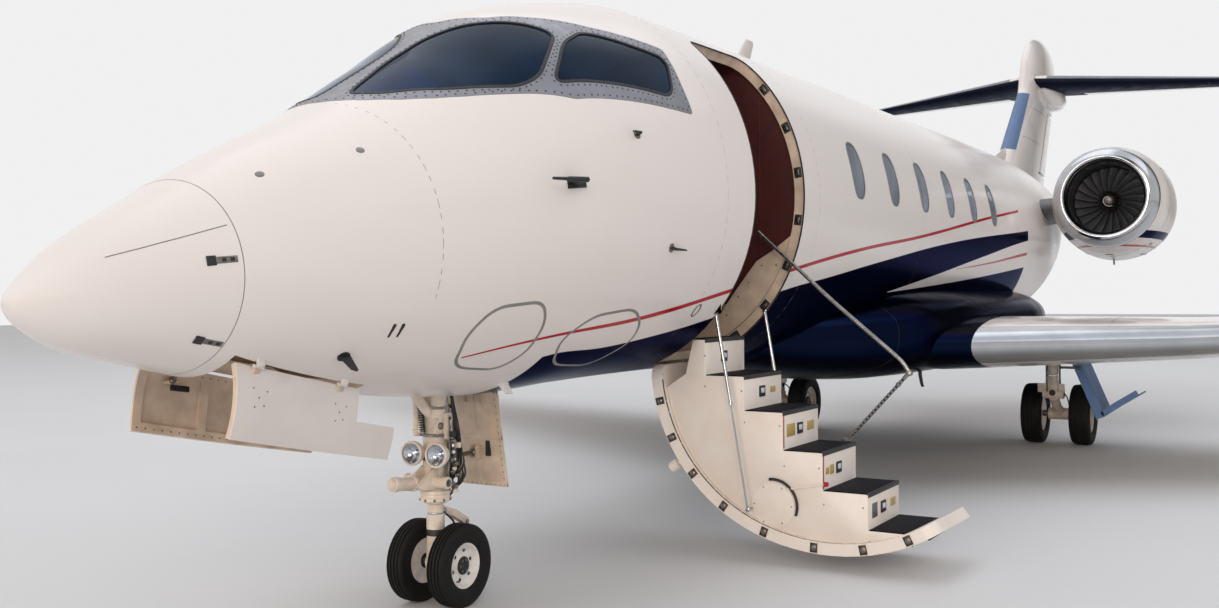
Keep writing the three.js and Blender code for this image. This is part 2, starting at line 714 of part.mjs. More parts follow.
function seat(x, station, width, withArms) {
  const z = FLOOR_TOP + GAP;
  const w = width / 2;
  const foot = block(x - w * 0.5, x + w * 0.5, station - 180, station + 160, z, z + 300);
  const cushion = block(x - w, x + w, station - 250, station + 230, z + 280, z + 430);
  const back = slab("x", [
    [station + 150, z + 340], [station + 260, z + 340], [station + 400, z + 1010],
    [station + 310, z + 1030],
  ], x - w, x + w);
  const head = slab("x", [
    [station + 320, z + 990], [station + 400, z + 980], [station + 420, z + 1170],
    [station + 350, z + 1180],
  ], x - w * 0.5, x + w * 0.5);
  const arms = [-1, 1].map((side) =>
    block(x + side * w - 30, x + side * w + 30, station - 150, station + 230, z + 300, z + 590),
  );
  return joined(withArms ? [foot, cushion, back, head, ...arms] : [foot, cushion, back, head]);
}
const pilotSeats = joined([-1, 1].map((side) => seat(side * 420, 3020, 440, true))
  .concat([block(-440, 440, 3000, 3060, FLOOR_TOP + GAP, FLOOR_TOP + 20)]));
add("pilot_seats", pilotSeats, "leather");

const CABIN_SEAT_STATIONS = [6500, 8300, 10100];
const cabinSeatList = [];
for (const station of CABIN_SEAT_STATIONS) {
  for (const side of [-1, 1]) cabinSeatList.push(seat(side * 520, station, 520, false));
  cabinSeatList.push(block(-540, 540, station - 30, station + 30, FLOOR_TOP + GAP, FLOOR_TOP + 15));
}
cabinSeatList.push(block(-40, 40, 6480, 10120, FLOOR_TOP + GAP, FLOOR_TOP + 15));
add("cabin_seats", joined(cabinSeatList), "cream");

// Wings, fin and tailplane with their hinged surfaces.
const wingPort = surface(WING, false);
const wingGrown = surface(WING, false, GAP);
const aileron = hinged(WING, "x", AILERON, false);
const wingFixed = wingPort.subtract(aileron.slot).add(aileron.brackets);
add("wing_port", wingFixed, "white");
add("wing_starboard", mirrored(wingFixed), "white");
add("aileron_port", aileron.solid, "white");
add("aileron_starboard", mirrored(aileron.solid), "white");

const ringOfFairing = ([station, w, keel, top], grow) => {
  const mid = (keel + top) / 2;
  const ring = [];
  for (let j = 0; j < 20; j++) {
    const t = (2 * Math.PI * j) / 20;
    const soft = (v) => Math.sign(v) * Math.abs(v) ** 0.72;
    const x = (w + grow) * soft(Math.cos(t));
    ring.push(at(x, station, mid + ((top - keel) / 2 + grow) * soft(Math.sin(t))));
  }
  return ring;
};
const fairingForm = (grow) => loft(FAIRING.map((row) => ringOfFairing(row, grow)));
const fairing = fairingForm(0)
  .subtract(bodyOutside)
  .subtract(wingGrown)
  .subtract(mirrored(wingGrown));
add("belly_fairing", fairing, "navy");

const tailplane = surface(TAILPLANE, false);
const tailplaneGrown = surface(TAILPLANE, false, GAP);
const elevator = hinged(TAILPLANE, "x", ELEVATOR, false);
const tailplaneFixed = tailplane
  .subtract(elevator.slot)
  .subtract(mirrored(elevator.slot))
  .add(elevator.brackets)
  .add(mirrored(elevator.brackets));
add("tailplane", tailplaneFixed, "white");
add("elevator_port", elevator.solid, "white");
add("elevator_starboard", mirrored(elevator.solid), "white");

const rudder = hinged(FIN, "z", RUDDER, true);
const bullet = moved(turned(BULLET.map(([r, s]) => [r, s - half]), 14),
  new THREE.Matrix4().makeTranslation(0, 0, 5230));
const dorsal = slab("x", DORSAL, -45, 45);
const fin = surface(FIN, true)
  .add(bullet)
  .add(dorsal)
  .subtract(bodyOutside)
  .subtract(rudder.slot)
  .add(rudder.brackets)
  .subtract(tailplaneGrown);
add("fin", fin, "white");
add("rudder", rudder.solid, "white");

// Engines.
const engineMatrix = new THREE.Matrix4()
  .makeTranslation(ENGINE.x, ENGINE.station - half, ENGINE.z)
  .multiply(new THREE.Matrix4().makeRotationZ(rad(ENGINE.toe)))
  .multiply(new THREE.Matrix4().makeRotationX(rad(-ENGINE.tilt)));
const placed = (solid) => moved(solid, engineMatrix);
const lip = placed(turned(LIP, ENGINE_SIDES));
const nacelle = placed(turned(NACELLE, ENGINE_SIDES));
const nacelleFull = placed(turned([[0, 0], ...LIP.slice(0, 5), ...NACELLE.slice(1, 6),
  [0, 3200]].map(([r, d]) => [r === 0 ? 0 : r + GAP, d]), ENGINE_SIDES));
const coreStruts = [45, 135, 225, 315].map((degrees) => {
  const turn = new THREE.Matrix4().makeRotationY(rad(degrees));
  const strut = new THREE.BoxGeometry(600, 420, 34);
  strut.translate(260, 1900, 0);
  return moved(solidFrom(strut), turn);
});
const ductInside = turned([[0, 230], [446 - GAP, 900], [560 - GAP, 1400],
  [560 - GAP, 2400], [522 - GAP, 2900], [0, 2900]], ENGINE_SIDES);
const core = placed(turned(CORE, 16).add(joined(coreStruts).intersect(ductInside)));

function fanBlade(angle) {
  const rows = [
    { r: 118, pitch: 28, chord: 205, thick: 14 },
    { r: FAN_TIP, pitch: 55, chord: 210, thick: 10 },
  ];
  const middle = (FAN_FRONT + FAN_BACK) / 2;
  const rings = rows.map(({ r, pitch, chord, thick }) => {
    const p = rad(pitch);
    return [[-1, -1], [1, -1], [1, 1], [-1, 1]].map(([a, b]) => {
      const along = (a * chord) / 2;
      const off = (b * thick) / 2;
      const y = middle + along * Math.cos(p) - off * Math.sin(p);
      const side = along * Math.sin(p) + off * Math.cos(p);
      return new THREE.Vector3(side, y, Math.sqrt(r * r - side * side));
    });
  });
  return moved(loft(rings), new THREE.Matrix4().makeRotationY(angle));
}
const blades = [];
for (let i = 0; i < FAN_BLADES; i++) {
  blades.push(fanBlade((2 * Math.PI * (i + BLADE_TURN)) / FAN_BLADES));
}
const fan = placed(joined([turned(SPINNER, 11), ...blades]));
const pylon = surface(PYLON, false).subtract(bodyOutside).subtract(nacelleFull);
const engineNodes = [
  ["intake_lip", lip, "steel"],
  ["nacelle", nacelle, "white"],
  ["engine_core", core, "dark"],
  ["fan", fan, "steel"],
  ["pylon", pylon, "grey"],
];
for (const [name, solid, paint] of engineNodes) {
  add(name + "_port", solid, paint);
  add(name + "_starboard", mirrored(solid), paint);
}

// A tyre and a wheel centre, both about a line along x.
function tyre(gear) {
  const r = gear.radius / Math.cos(Math.PI / TYRE_SIDES);
  const w = gear.width / 2;
  const inner = gear.rim + GAP;
  const profile = [
    [inner, -w * 0.76], [inner, w * 0.76], [(r + inner) / 2, w], [r - 24, w * 0.82],
    [r, w * 0.5], [r, -w * 0.5], [r - 24, -w * 0.82], [(r + inner) / 2, -w],
  ];
  return turned(profile, TYRE_SIDES, "x", Math.PI / TYRE_SIDES);
}
function wheelCentre(gear, outward) {
  const w = gear.width / 2;
  const r = gear.rim;
  const profile = [
    [0, -w * 0.5], [r * 0.8, -w * 0.5], [r, -w * 0.72], [r, w * 0.72], [r * 0.85, w * 0.72],
    [r * 0.7, w * 0.35], [0, w * 0.5],
  ].map(([a, b]) => [a, b * outward]);
  return turned(profile, TYRE_SIDES, "x", Math.PI / TYRE_SIDES);
}
const onAxle = (solid, x, gear) => shifted(solid, x, gear.station - half, gear.radius);

// Nose gear.
const leg = NOSE_GEAR.leg;
const noseLeg = joined([
  bar(at(0, leg, 560), at(0, leg, 1400), 62, 16),
  bar(at(-BAY_HALF + GAP, leg, 1300), at(BAY_HALF - GAP, leg, 1300), 42, 12),
  bar(at(0, leg, 1000), at(0, 1960, 1530), 32, 10),
  block(-90, 90, 1930, 1990, 1490, 1570 - GAP),
  bar(at(-150, leg - 70, 690), at(150, leg - 70, 690), 34, 10),
  bar(at(0, leg, 690), at(0, leg - 120, 690), 40, 10),
  bar(at(0, leg, 575), at(0, leg, 640), 86, 16),
]);
add("nose_leg", noseLeg, "white");

const noseFork = joined([
  bar(at(0, leg, 300), at(0, leg, 560 - GAP), 44, 16),
  block(-58, 58, 2420, 2560, 175, 330),
  block(-30, 30, 2440, 2720, 300, 345),
  slab("x", [[2690, 300], [2740, 380], [2740, 440], [2700, 440], [2660, 345]], -26, 26),
  slab("x", [[2740, 400], [2740, 440], [2520, 540], [2470, 540], [2470, 500]], -26, 26),
]).subtract(bar(at(-200, 2500, 228.5), at(200, 2500, 228.5), 29, 16));
add("nose_fork", noseFork, "steel");

const noseAxle = bar(at(-122, 2500, 228.5), at(122, 2500, 228.5), 28, 16);
const noseHubs = joined([
  noseAxle,
  onAxle(wheelCentre(NOSE_GEAR, 1), NOSE_GEAR.half, NOSE_GEAR),
  onAxle(wheelCentre(NOSE_GEAR, -1), -NOSE_GEAR.half, NOSE_GEAR),
]);
add("nose_wheel_hubs", noseHubs, "white");
add("nose_tyre_port", onAxle(tyre(NOSE_GEAR), NOSE_GEAR.half, NOSE_GEAR), "rubber");
add("nose_tyre_starboard", onAxle(tyre(NOSE_GEAR), -NOSE_GEAR.half, NOSE_GEAR), "rubber");

const legDoor = slab("x", [[2772, 1175], [2800, 1175], [2905, 600], [2880, 600]], -165, 185)
  .add(bar(at(0, 2532.5, 800), at(0, 2860, 800), 16, 8))
  .add(block(-60, 60, 2770, 2830, 1080, 1200))
  .subtract(bodyOutside);
add("nose_leg_door", legDoor, "cream");

// The nose bay doors, made shut in the skin and then swung down.
const bayDoorOutline = [
  [318, 815], [318, 1550], [172, 1550], [172, 1850], [12, 1850], [12, 815],
];
const bayDoorShut = fuselage(COCKPIT_STATIONS, 0)
  .subtract(inside([700, ...COCKPIT_STATIONS.slice(1, -1), 3900], 22))
  .intersect(slab("z", bayDoorOutline, 900, 1600));
const turnedAbout = (solid, point, axis, degrees) =>
  moved(solid, new THREE.Matrix4()
    .makeTranslation(point.x, point.y, point.z)
    .multiply(new THREE.Matrix4().makeRotationAxis(axis, rad(degrees)))
    .multiply(new THREE.Matrix4().makeTranslation(-point.x, -point.y, -point.z)));
const bayDoor = turnedAbout(bayDoorShut.add(joined(bayKnuckles)), bayHingeFrom, bayHingeAxis,
  -BAY_SWING);
add("nose_bay_door_port", bayDoor, "white");
add("nose_bay_door_starboard", mirrored(bayDoor), "white");

// Main gear.
const mx = MAIN_GEAR.x;
const ms = MAIN_GEAR.station;
const mz = MAIN_GEAR.radius;
const mainLeg = joined([
  bar(at(mx, ms - 330, 560), at(mx, ms - 300, 1150), 72, 14),
  bar(at(mx, ms - 330, 560), at(mx, ms, mz), 58, 12),
  bar(at(mx - 110, ms - 330, 590), at(mx + 110, ms - 330, 590), 62, 12),
  bar(at(mx - 112, ms, mz), at(mx + 112, ms, mz), 66, 16),
  bar(at(mx, ms - 20, mz + 20), at(mx, ms - 170, 760), 34, 10),
  bar(at(mx, ms - 120, 640), at(mx, ms - 260, 1120), 52, 12),
  bar(at(mx, ms - 300, 900), at(mx - 330, ms - 300, 1120), 30, 10),
])
  .subtract(bar(at(mx - 300, ms, mz), at(mx + 300, ms, mz), 36, 16))
  .subtract(wingGrown)
  .subtract(fairingForm(GAP));
const mainHubs = joined([
  bar(at(mx - 225, ms, mz), at(mx + 225, ms, mz), 35, 16),
  onAxle(wheelCentre(MAIN_GEAR, 1), mx + MAIN_GEAR.half, MAIN_GEAR),
  onAxle(wheelCentre(MAIN_GEAR, -1), mx - MAIN_GEAR.half, MAIN_GEAR),
]);
const mainDoor = slab("station", ribbon(MAIN_DOOR_LINE, 18), 11180, 11760)
  .add(block(1700, 1952, 11110, 11200, 860, 890))
  .subtract(bar(at(mx, ms - 330, 560), at(mx, ms - 300, 1150), 72 + GAP, 14))
  .subtract(wingGrown);
const outerTyre = onAxle(tyre(MAIN_GEAR), mx + MAIN_GEAR.half, MAIN_GEAR);
const innerTyre = onAxle(tyre(MAIN_GEAR), mx - MAIN_GEAR.half, MAIN_GEAR);
const mainNodes = [
  ["main_leg", mainLeg, "white"],
  ["main_wheel_hubs", mainHubs, "white"],
  ["main_tyre_outer", outerTyre, "rubber"],
  ["main_tyre_inner", innerTyre, "rubber"],
  ["main_gear_door", mainDoor, "navy"],
];
for (const [name, solid, paint] of mainNodes) {
  add(name + "_port", solid, paint);
  add(name + "_starboard", mirrored(solid), paint);
}

// The airstair, made shut in the skin and then swung down onto its rest.
const hinge = at(DOOR_HINGE.x, 4600, DOOR_HINGE.z);
const alongY = new THREE.Vector3(0, 1, 0);
const swungOpen = (solid) => turnedAbout(solid, hinge, alongY, DOOR_SWING);
const swungShut = (solid) => turnedAbout(solid, hinge, alongY, -DOOR_SWING);
const doorShell = fuselage([4000, 4400, 5300], 0)
  .subtract(fuselage([3990, 4400, 5310], WALL))
  .intersect(wallSector(DOOR, 0))
  .add(bar(at(DOOR_HINGE.x, 4262, DOOR_HINGE.z), at(DOOR_HINGE.x, 4994, DOOR_HINGE.z), DOOR_PIN, 12))
  .add(joined(DOOR_WEBS.map((s) => {
    const { x, z } = DOOR_HINGE;
    return block(x - 3, x + 28, s, s + 170, z - 1, z + 22);
  })));
add("airstair_shell", swungOpen(doorShell), "white");

const stepOutline = [...STEP_NOSES, [2200, 0], [300, 0], [420, 1060], [600, 1180]];
const stepsOpen = slab("station", stepOutline, STEP_FROM, STEP_TO);
const stepsShut = swungShut(stepsOpen).intersect(fuselage([4000, 4400, 5300], WALL + GAP));
add("airstair_steps", swungOpen(stepsShut), "cream");

const railFoot = at(RAIL_FOOT[0], RAIL_STATION, RAIL_FOOT[1]);
const railBend = at(RAIL_BEND[0], RAIL_STATION, RAIL_BEND[1]);
const railTop = at(RAIL_TOP[0], RAIL_STATION, RAIL_TOP[1]);
const crossPin = (p, from, to, radius) =>
  bar(at(p.x, from, p.z), at(p.x, to, p.z), radius, 12);
const upperStation = RAIL_STATION + 2 * RAIL_RADIUS + GAP;
const railLower = joined([
  bar(railFoot, railBend, RAIL_RADIUS, 10),
  crossPin(railFoot, STEP_TO + GAP, RAIL_STATION + RAIL_RADIUS, 20),
  crossPin(railBend, RAIL_STATION - RAIL_RADIUS, RAIL_STATION + RAIL_RADIUS, 18),
]);
add("handrail_lower", railLower, "steel");
const railShift = upperStation - RAIL_STATION;
const raised = (p) => p.clone().setY(p.y + railShift);
const railUpper = joined([
  bar(raised(railBend), raised(railTop), RAIL_RADIUS, 10),
  crossPin(railBend, RAIL_STATION + RAIL_RADIUS + GAP, upperStation + RAIL_RADIUS, 18),
]);
add("handrail_upper", railUpper, "steel");

const STRUT_PINS = {
  fwd: { jamb: DOOR_OPENING.from + GAP, stair: STEP_FROM - GAP },
  aft: { jamb: DOOR_OPENING.to - GAP, stair: STEP_TO + GAP },
};
for (const [name, station] of Object.entries(STRUT_STATIONS)) {
  const top = at(STRUT_JAMB[0], station, STRUT_JAMB[1]);
  const foot = at(STRUT_STAIR[0], station, STRUT_STAIR[1]);
  const down = foot.clone().sub(top).normalize();
  const partWay = (distance) => top.clone().addScaledVector(down, distance);
  const tube = bar(top, partWay(STRUT_TUBE_LENGTH), 11, 10)
    .add(crossPin(top, station, STRUT_PINS[name].jamb, 8))
    .subtract(bar(partWay(25), partWay(STRUT_TUBE_LENGTH + 5), 8, 10));
  add("stair_strut_tube_" + name, tube, "steel");
  const rod = bar(partWay(STRUT_TUBE_LENGTH - 10), foot, 7, 10)
    .add(crossPin(foot, station, STRUT_PINS[name].stair, 8));
  add("stair_strut_rod_" + name, rod, "steel");
}

export default group;
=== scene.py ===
# A business jet parked with its airstair down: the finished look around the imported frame.
# Metres. +Z up, nose toward -Y, port side toward +X, ground at z = 0.
# Stations are metres aft of the nose tip; angles on the skin are degrees above the widest line.
import json
import math
import random

import bmesh
import bpy
import numpy as np
from mathutils import Matrix, Vector
from mathutils.geometry import delaunay_2d_cdt

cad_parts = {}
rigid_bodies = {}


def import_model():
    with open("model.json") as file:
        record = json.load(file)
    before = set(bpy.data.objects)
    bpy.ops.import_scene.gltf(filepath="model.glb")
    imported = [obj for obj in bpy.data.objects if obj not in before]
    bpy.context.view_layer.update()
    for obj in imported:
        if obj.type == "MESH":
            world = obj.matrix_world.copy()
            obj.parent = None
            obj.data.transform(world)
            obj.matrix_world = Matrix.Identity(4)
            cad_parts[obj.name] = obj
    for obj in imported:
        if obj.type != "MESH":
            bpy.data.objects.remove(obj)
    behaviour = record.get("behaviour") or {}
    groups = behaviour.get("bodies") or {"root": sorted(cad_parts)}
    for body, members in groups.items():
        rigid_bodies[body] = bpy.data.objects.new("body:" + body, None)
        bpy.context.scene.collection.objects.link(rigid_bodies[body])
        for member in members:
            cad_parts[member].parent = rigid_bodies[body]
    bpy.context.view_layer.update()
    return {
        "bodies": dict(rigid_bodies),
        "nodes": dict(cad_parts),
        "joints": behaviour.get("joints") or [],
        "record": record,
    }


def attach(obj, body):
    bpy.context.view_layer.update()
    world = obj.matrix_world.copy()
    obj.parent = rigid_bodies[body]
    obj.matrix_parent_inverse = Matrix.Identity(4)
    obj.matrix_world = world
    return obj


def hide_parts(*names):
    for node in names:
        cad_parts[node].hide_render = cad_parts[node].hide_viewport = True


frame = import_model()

random.seed(7)

# Half the length: station 0 is at y = -HALF.
HALF = 10.46
UP = Vector((0.0, 0.0, 1.0))
SIDES = (("port", 1), ("starboard", -1))

# Fuselage sections: station, crown, keel, half width, height of the widest line.
FUSELAGE = ((0.0, 1.677, 1.677, 0.0, 1.677), (0.05, 1.746, 1.594, 0.107, 1.687),
    (0.22, 1.903, 1.496, 0.242, 1.706), (0.55, 2.102, 1.41, 0.405, 1.751),
    (1.0, 2.346, 1.311, 0.587, 1.824), (1.55, 2.611, 1.218, 0.774, 1.927),
    (2.1, 2.944, 1.161, 0.92, 2.036), (2.7, 3.302, 1.14, 1.036, 2.149),
    (3.3, 3.471, 1.16, 1.1, 2.237), (3.9, 3.569, 1.169, 1.133, 2.299),
    (4.6, 3.58, 1.171, 1.148, 2.345), (5.3, 3.586, 1.166, 1.151, 2.376),
    (8.0, 3.61, 1.166, 1.151, 2.376), (12.0, 3.64, 1.168, 1.151, 2.378),
    (13.0, 3.648, 1.196, 1.138, 2.39), (14.0, 3.65, 1.27, 1.09, 2.42),
    (15.0, 3.64, 1.4, 1.0, 2.48), (16.0, 3.612, 1.59, 0.872, 2.58),
    (17.0, 3.575, 1.86, 0.715, 2.72), (18.0, 3.53, 2.21, 0.545, 2.88),
    (19.0, 3.47, 2.61, 0.37, 3.05), (19.6, 3.42, 2.85, 0.255, 3.14),
    (19.9, 3.38, 2.96, 0.19, 3.175))
RADOME_SEAM = 0.71
COCKPIT_END = 3.85
CABIN_END = 12.6
TAIL_END = 19.9
WALL = 0.075
# Metres along the skin that stand for one degree round it.
PER_DEGREE = 0.02
FLOOR_TOP = 1.63

# Windscreen surround and panes on the skin: station, angle. The surround meets itself on top.
SURROUND = ((1.598, 90), (1.62, 80), (1.655, 72), (1.75, 62), (1.87, 54.5), (2.0, 49),
    (2.233, 41.7), (2.573, 31.6), (3.577, 22.2), (3.585, 31), (3.639, 44.6), (3.399, 50),
    (3.114, 55.9), (2.781, 66.2), (2.584, 74.7), (2.495, 90))
FRONT_PANE = ((1.684, 82.6), (1.741, 70.3), (1.964, 55.3), (2.287, 43.3), (2.434, 42.8),
    (2.775, 55.1), (2.688, 62.6), (2.436, 78.4), (2.268, 85.3), (2.029, 86.3))
SIDE_PANE = ((2.978, 53.5), (3.077, 52.1), (3.544, 41.6), (3.561, 38.7), (3.423, 27.9),
    (2.494, 38.8), (2.766, 50.7))
WINDOWS = [6.19 + 0.88 * i for i in range(6)]
WINDOW_ANGLE, WINDOW_HALF_ANGLE, WINDOW_HALF_WIDTH, WINDOW_POWER = (13.1, 10.8, 0.14, 0.72)

# Airstair door: opening and door on the skin, hinge line, swing from shut to open.
DOORWAY = (4.22, 5.035, -72.0, 55.0)
DOOR = (4.256, 5.0, -70.4, 54.2)
DOOR_HINGE = (0.375, 1.241)
DOOR_SWING = math.radians(108.4)
STEP_FROM, STEP_LAMP, STEP_TO = 4.31, 4.6, 4.93
STEP_NOSES = ((0.653, 1.403), (0.739, 1.403), (0.739, 1.17), (1.014, 1.17), (1.014, 0.951),
    (1.278, 0.951), (1.278, 0.713), (1.54, 0.713), (1.54, 0.48), (1.829, 0.48), (1.829, 0.262),
    (2.2, 0.262))


def at(x, station, z):
    return Vector((x, station - HALF, z))


def smooth_line(xs, ys):
    """A smooth curve through table values that never overshoots between them."""
    xs, ys = np.array(xs, float), np.array(ys, float)
    gap = np.diff(xs)
    slope = np.diff(ys) / gap
    lean = np.zeros(len(xs))
    lean[0], lean[-1] = slope[0], slope[-1]
    for i in range(1, len(xs) - 1):
        if slope[i - 1] * slope[i] > 0:
            a, b = 2 * gap[i] + gap[i - 1], gap[i] + 2 * gap[i - 1]
            lean[i] = (a + b) / (a / slope[i - 1] + b / slope[i])

    def value(x):
        x = np.asarray(x, float)
        i = np.clip(np.searchsorted(xs, x) - 1, 0, len(xs) - 2)
        t = (x - xs[i]) / gap[i]
        t2, t3 = t * t, t * t * t
        return (2 * t3 - 3 * t2 + 1) * ys[i] + (t3 - 2 * t2 + t) * gap[i] * lean[i] + (
            3 * t2 - 2 * t3) * ys[i + 1] + (t3 - t2) * gap[i] * lean[i + 1]

    return value


ROOTS = [math.sqrt(row[0]) for row in FUSELAGE]
CROWN, KEEL, WIDE, MIDDLE = (smooth_line(ROOTS, [row[column] for row in FUSELAGE])
    for column in (1, 2, 3, 4))


def line_at(line, station):
    """The height or width that a fuselage line has at one station."""
    return float(line(math.sqrt(station)))


def skin(station, angle, inset=0.0):
    """Points on the fuselage skin, or a depth inside it."""
    s = np.maximum(np.asarray(station, float), 0.0)
    t = np.radians(np.asarray(angle, float))
    root = np.sqrt(s)
    middle = MIDDLE(root)
    rise = np.where(np.sin(t) >= 0, CROWN(root) - middle, middle - KEEL(root))
    x = (WIDE(root) - inset) * np.cos(t)
    z = middle + (rise - inset) * np.sin(t)
    return np.stack([x, s - HALF + 0 * t, z], -1)


def skin_normal(station, angle):
    station = np.asarray(station, float)
    along = skin(station + 0.006, angle) - skin(station - 0.006, angle)
    around = skin(station, np.asarray(angle) + 0.3) - skin(station, np.asarray(angle) - 0.3)
    normal = np.cross(along, around)
    size = np.linalg.norm(normal, axis=-1, keepdims=True)
    nose = np.array([0.0, -1.0, 0.0])
    return np.where(size > 1e-9, normal / np.maximum(size, 1e-9), nose)


def angle_at(station, x):
    """The angle of the belly skin at a distance off the centre line."""
    return -math.degrees(math.acos(max(-1.0, min(1.0, x / line_at(WIDE, station)))))


def mirrored_outline(outline):
    return [(s, 180.0 - a) for s, a in outline]


def rounded(outline, radius, steps):
    """An outline of station and angle with its corners rounded to a radius along the skin."""
    flat = [Vector((s, a * PER_DEGREE)) for s, a in outline]
    made = []
    for i, corner in enumerate(flat):
        before = flat[i - 1] - corner
        after = flat[(i + 1) % len(flat)] - corner
        reach = min(radius, before.length * 0.45, after.length * 0.45)
        start, end = corner + before.normalized() * reach, corner + after.normalized() * reach
        for k in range(steps + 1):
            t = k / steps
            made.append(start * (1 - t) ** 2 + corner * (2 * t * (1 - t)) + end * t ** 2)
    return [(p.x, p.y / PER_DEGREE) for p in made]


def filled_in(outline, reach=0.06, scale=PER_DEGREE):
    """More points along an outline, no further apart than a reach along the skin."""
    made = []
    for i, (s, a) in enumerate(outline):
        u, b = outline[(i + 1) % len(outline)]
        count = max(1, math.ceil(math.hypot(u - s, (b - a) * scale) / reach))
        made += [(s + (u - s) * k / count, a + (b - a) * k / count) for k in range(count)]
    return made


def drawn_in(outline, distance):
    """An outline moved inward by a distance along the skin, or outward by a negative one."""
    flat = np.array([(s, a * PER_DEGREE) for s, a in outline])
    area = np.sum(flat[:, 0] * np.roll(flat[:, 1], -1) - np.roll(flat[:, 0], -1) * flat[:, 1])
    edge = np.roll(flat, -1, 0) - flat
    edge /= np.maximum(np.linalg.norm(edge, axis=1, keepdims=True), 1e-9)
    normal = np.stack([-edge[:, 1], edge[:, 0]], 1) * math.copysign(1, area)
    before = np.roll(normal, 1, 0)
    push = distance / np.maximum(1 + (normal * before).sum(1), 0.6)
    flat = flat + (normal + before) * push[:, None]
    return [(s, a / PER_DEGREE) for s, a in flat]


def inside(points, outline):
    """Which points lie inside an outline."""
    hit = np.zeros(len(points), bool)
    x, y = points[:, 0], points[:, 1]
    for (x0, y0), (x1, y1) in zip(outline, list(outline[1:]) + [outline[0]]):
        if y0 != y1:
            crosses = ((y0 > y) != (y1 > y)) & (x < (x1 - x0) * (y - y0) / (y1 - y0) + x0)
            hit ^= crosses
    return hit


def near_outline(points, outline, reach):
    close = np.zeros(len(points), bool)
    ends = np.array(outline)
    for p, q in zip(ends, np.roll(ends, -1, 0)):
        d = q - p
        t = np.clip((points - p) @ d / max(float(d @ d), 1e-12), 0, 1)
        close |= np.linalg.norm(points - p - t[:, None] * d, axis=1) < reach
    return close


def cut_sheet(outer, holes, stations, angles, scale=PER_DEGREE, clear=0.012):
    """Points and triangles over station and angle, inside one outline and outside the holes."""
    loops = [[(s, a * scale) for s, a in loop] for loop in [outer, *holes]]
    grid = np.array([(s, a * scale) for s in stations for a in angles]).reshape(-1, 2)
    keep = inside(grid, loops[0]) if len(grid) else np.zeros(0, bool)
    for loop in loops:
        if len(grid):
            keep &= ~near_outline(grid, loop, clear)
    for loop in loops[1:]:
        keep &= ~inside(grid, loop)
    points, edges = [], []
    for loop in loops:
        first = len(points)
        points += loop
        edges += [(first + i, first + (i + 1) % len(loop)) for i in range(len(loop))]
    points += [tuple(p) for p in grid[keep]]
    made = delaunay_2d_cdt([Vector(p) for p in points], edges, [], 0, 1e-6)
    flat = np.array([tuple(p) for p in made[0]])
    triangles = np.array([f for f in made[2] if len(f) == 3])
    middles = flat[triangles].mean(1)
    good = inside(middles, loops[0])
    for loop in loops[1:]:
        good &= ~inside(middles, loop)
    triangles = triangles[good]
    a, b, c = (flat[triangles[:, i]] for i in range(3))
    turn = (b[:, 0] - a[:, 0]) * (c[:, 1] - a[:, 1]) - (b[:, 1] - a[:, 1]) * (c[:, 0] - a[:, 0])
    triangles[turn < 0] = triangles[turn < 0][:, ::-1]
    triangles = triangles[np.abs(turn) > 1e-10]
    return flat / np.array([1.0, scale]), triangles


def welded(points, faces, extra):
    """Points that coincide become one, and faces that collapse go."""
    keys = np.round(points, 5)
    _, first, back = np.unique(keys, axis=0, return_index=True, return_inverse=True)
    back = back.reshape(-1)
    made = back[faces]
    good = (made[:, 0] != made[:, 1]) & (made[:, 1] != made[:, 2]) & (made[:, 0] != made[:, 2])
    return points[first], made[good], [e[first] for e in extra]


def rim_edges(triangles):
    """The edges that only one triangle uses, in its own direction."""
    seen = set()
    for a, b, c in triangles.tolist():
        seen.update(((a, b), (b, c), (c, a)))
    return [(a, b) for a, b in seen if (b, a) not in seen]


def linked(name, data):
    """A new object in the scene."""
    made = bpy.data.objects.new(name, data)
    bpy.context.scene.collection.objects.link(made)
    return made


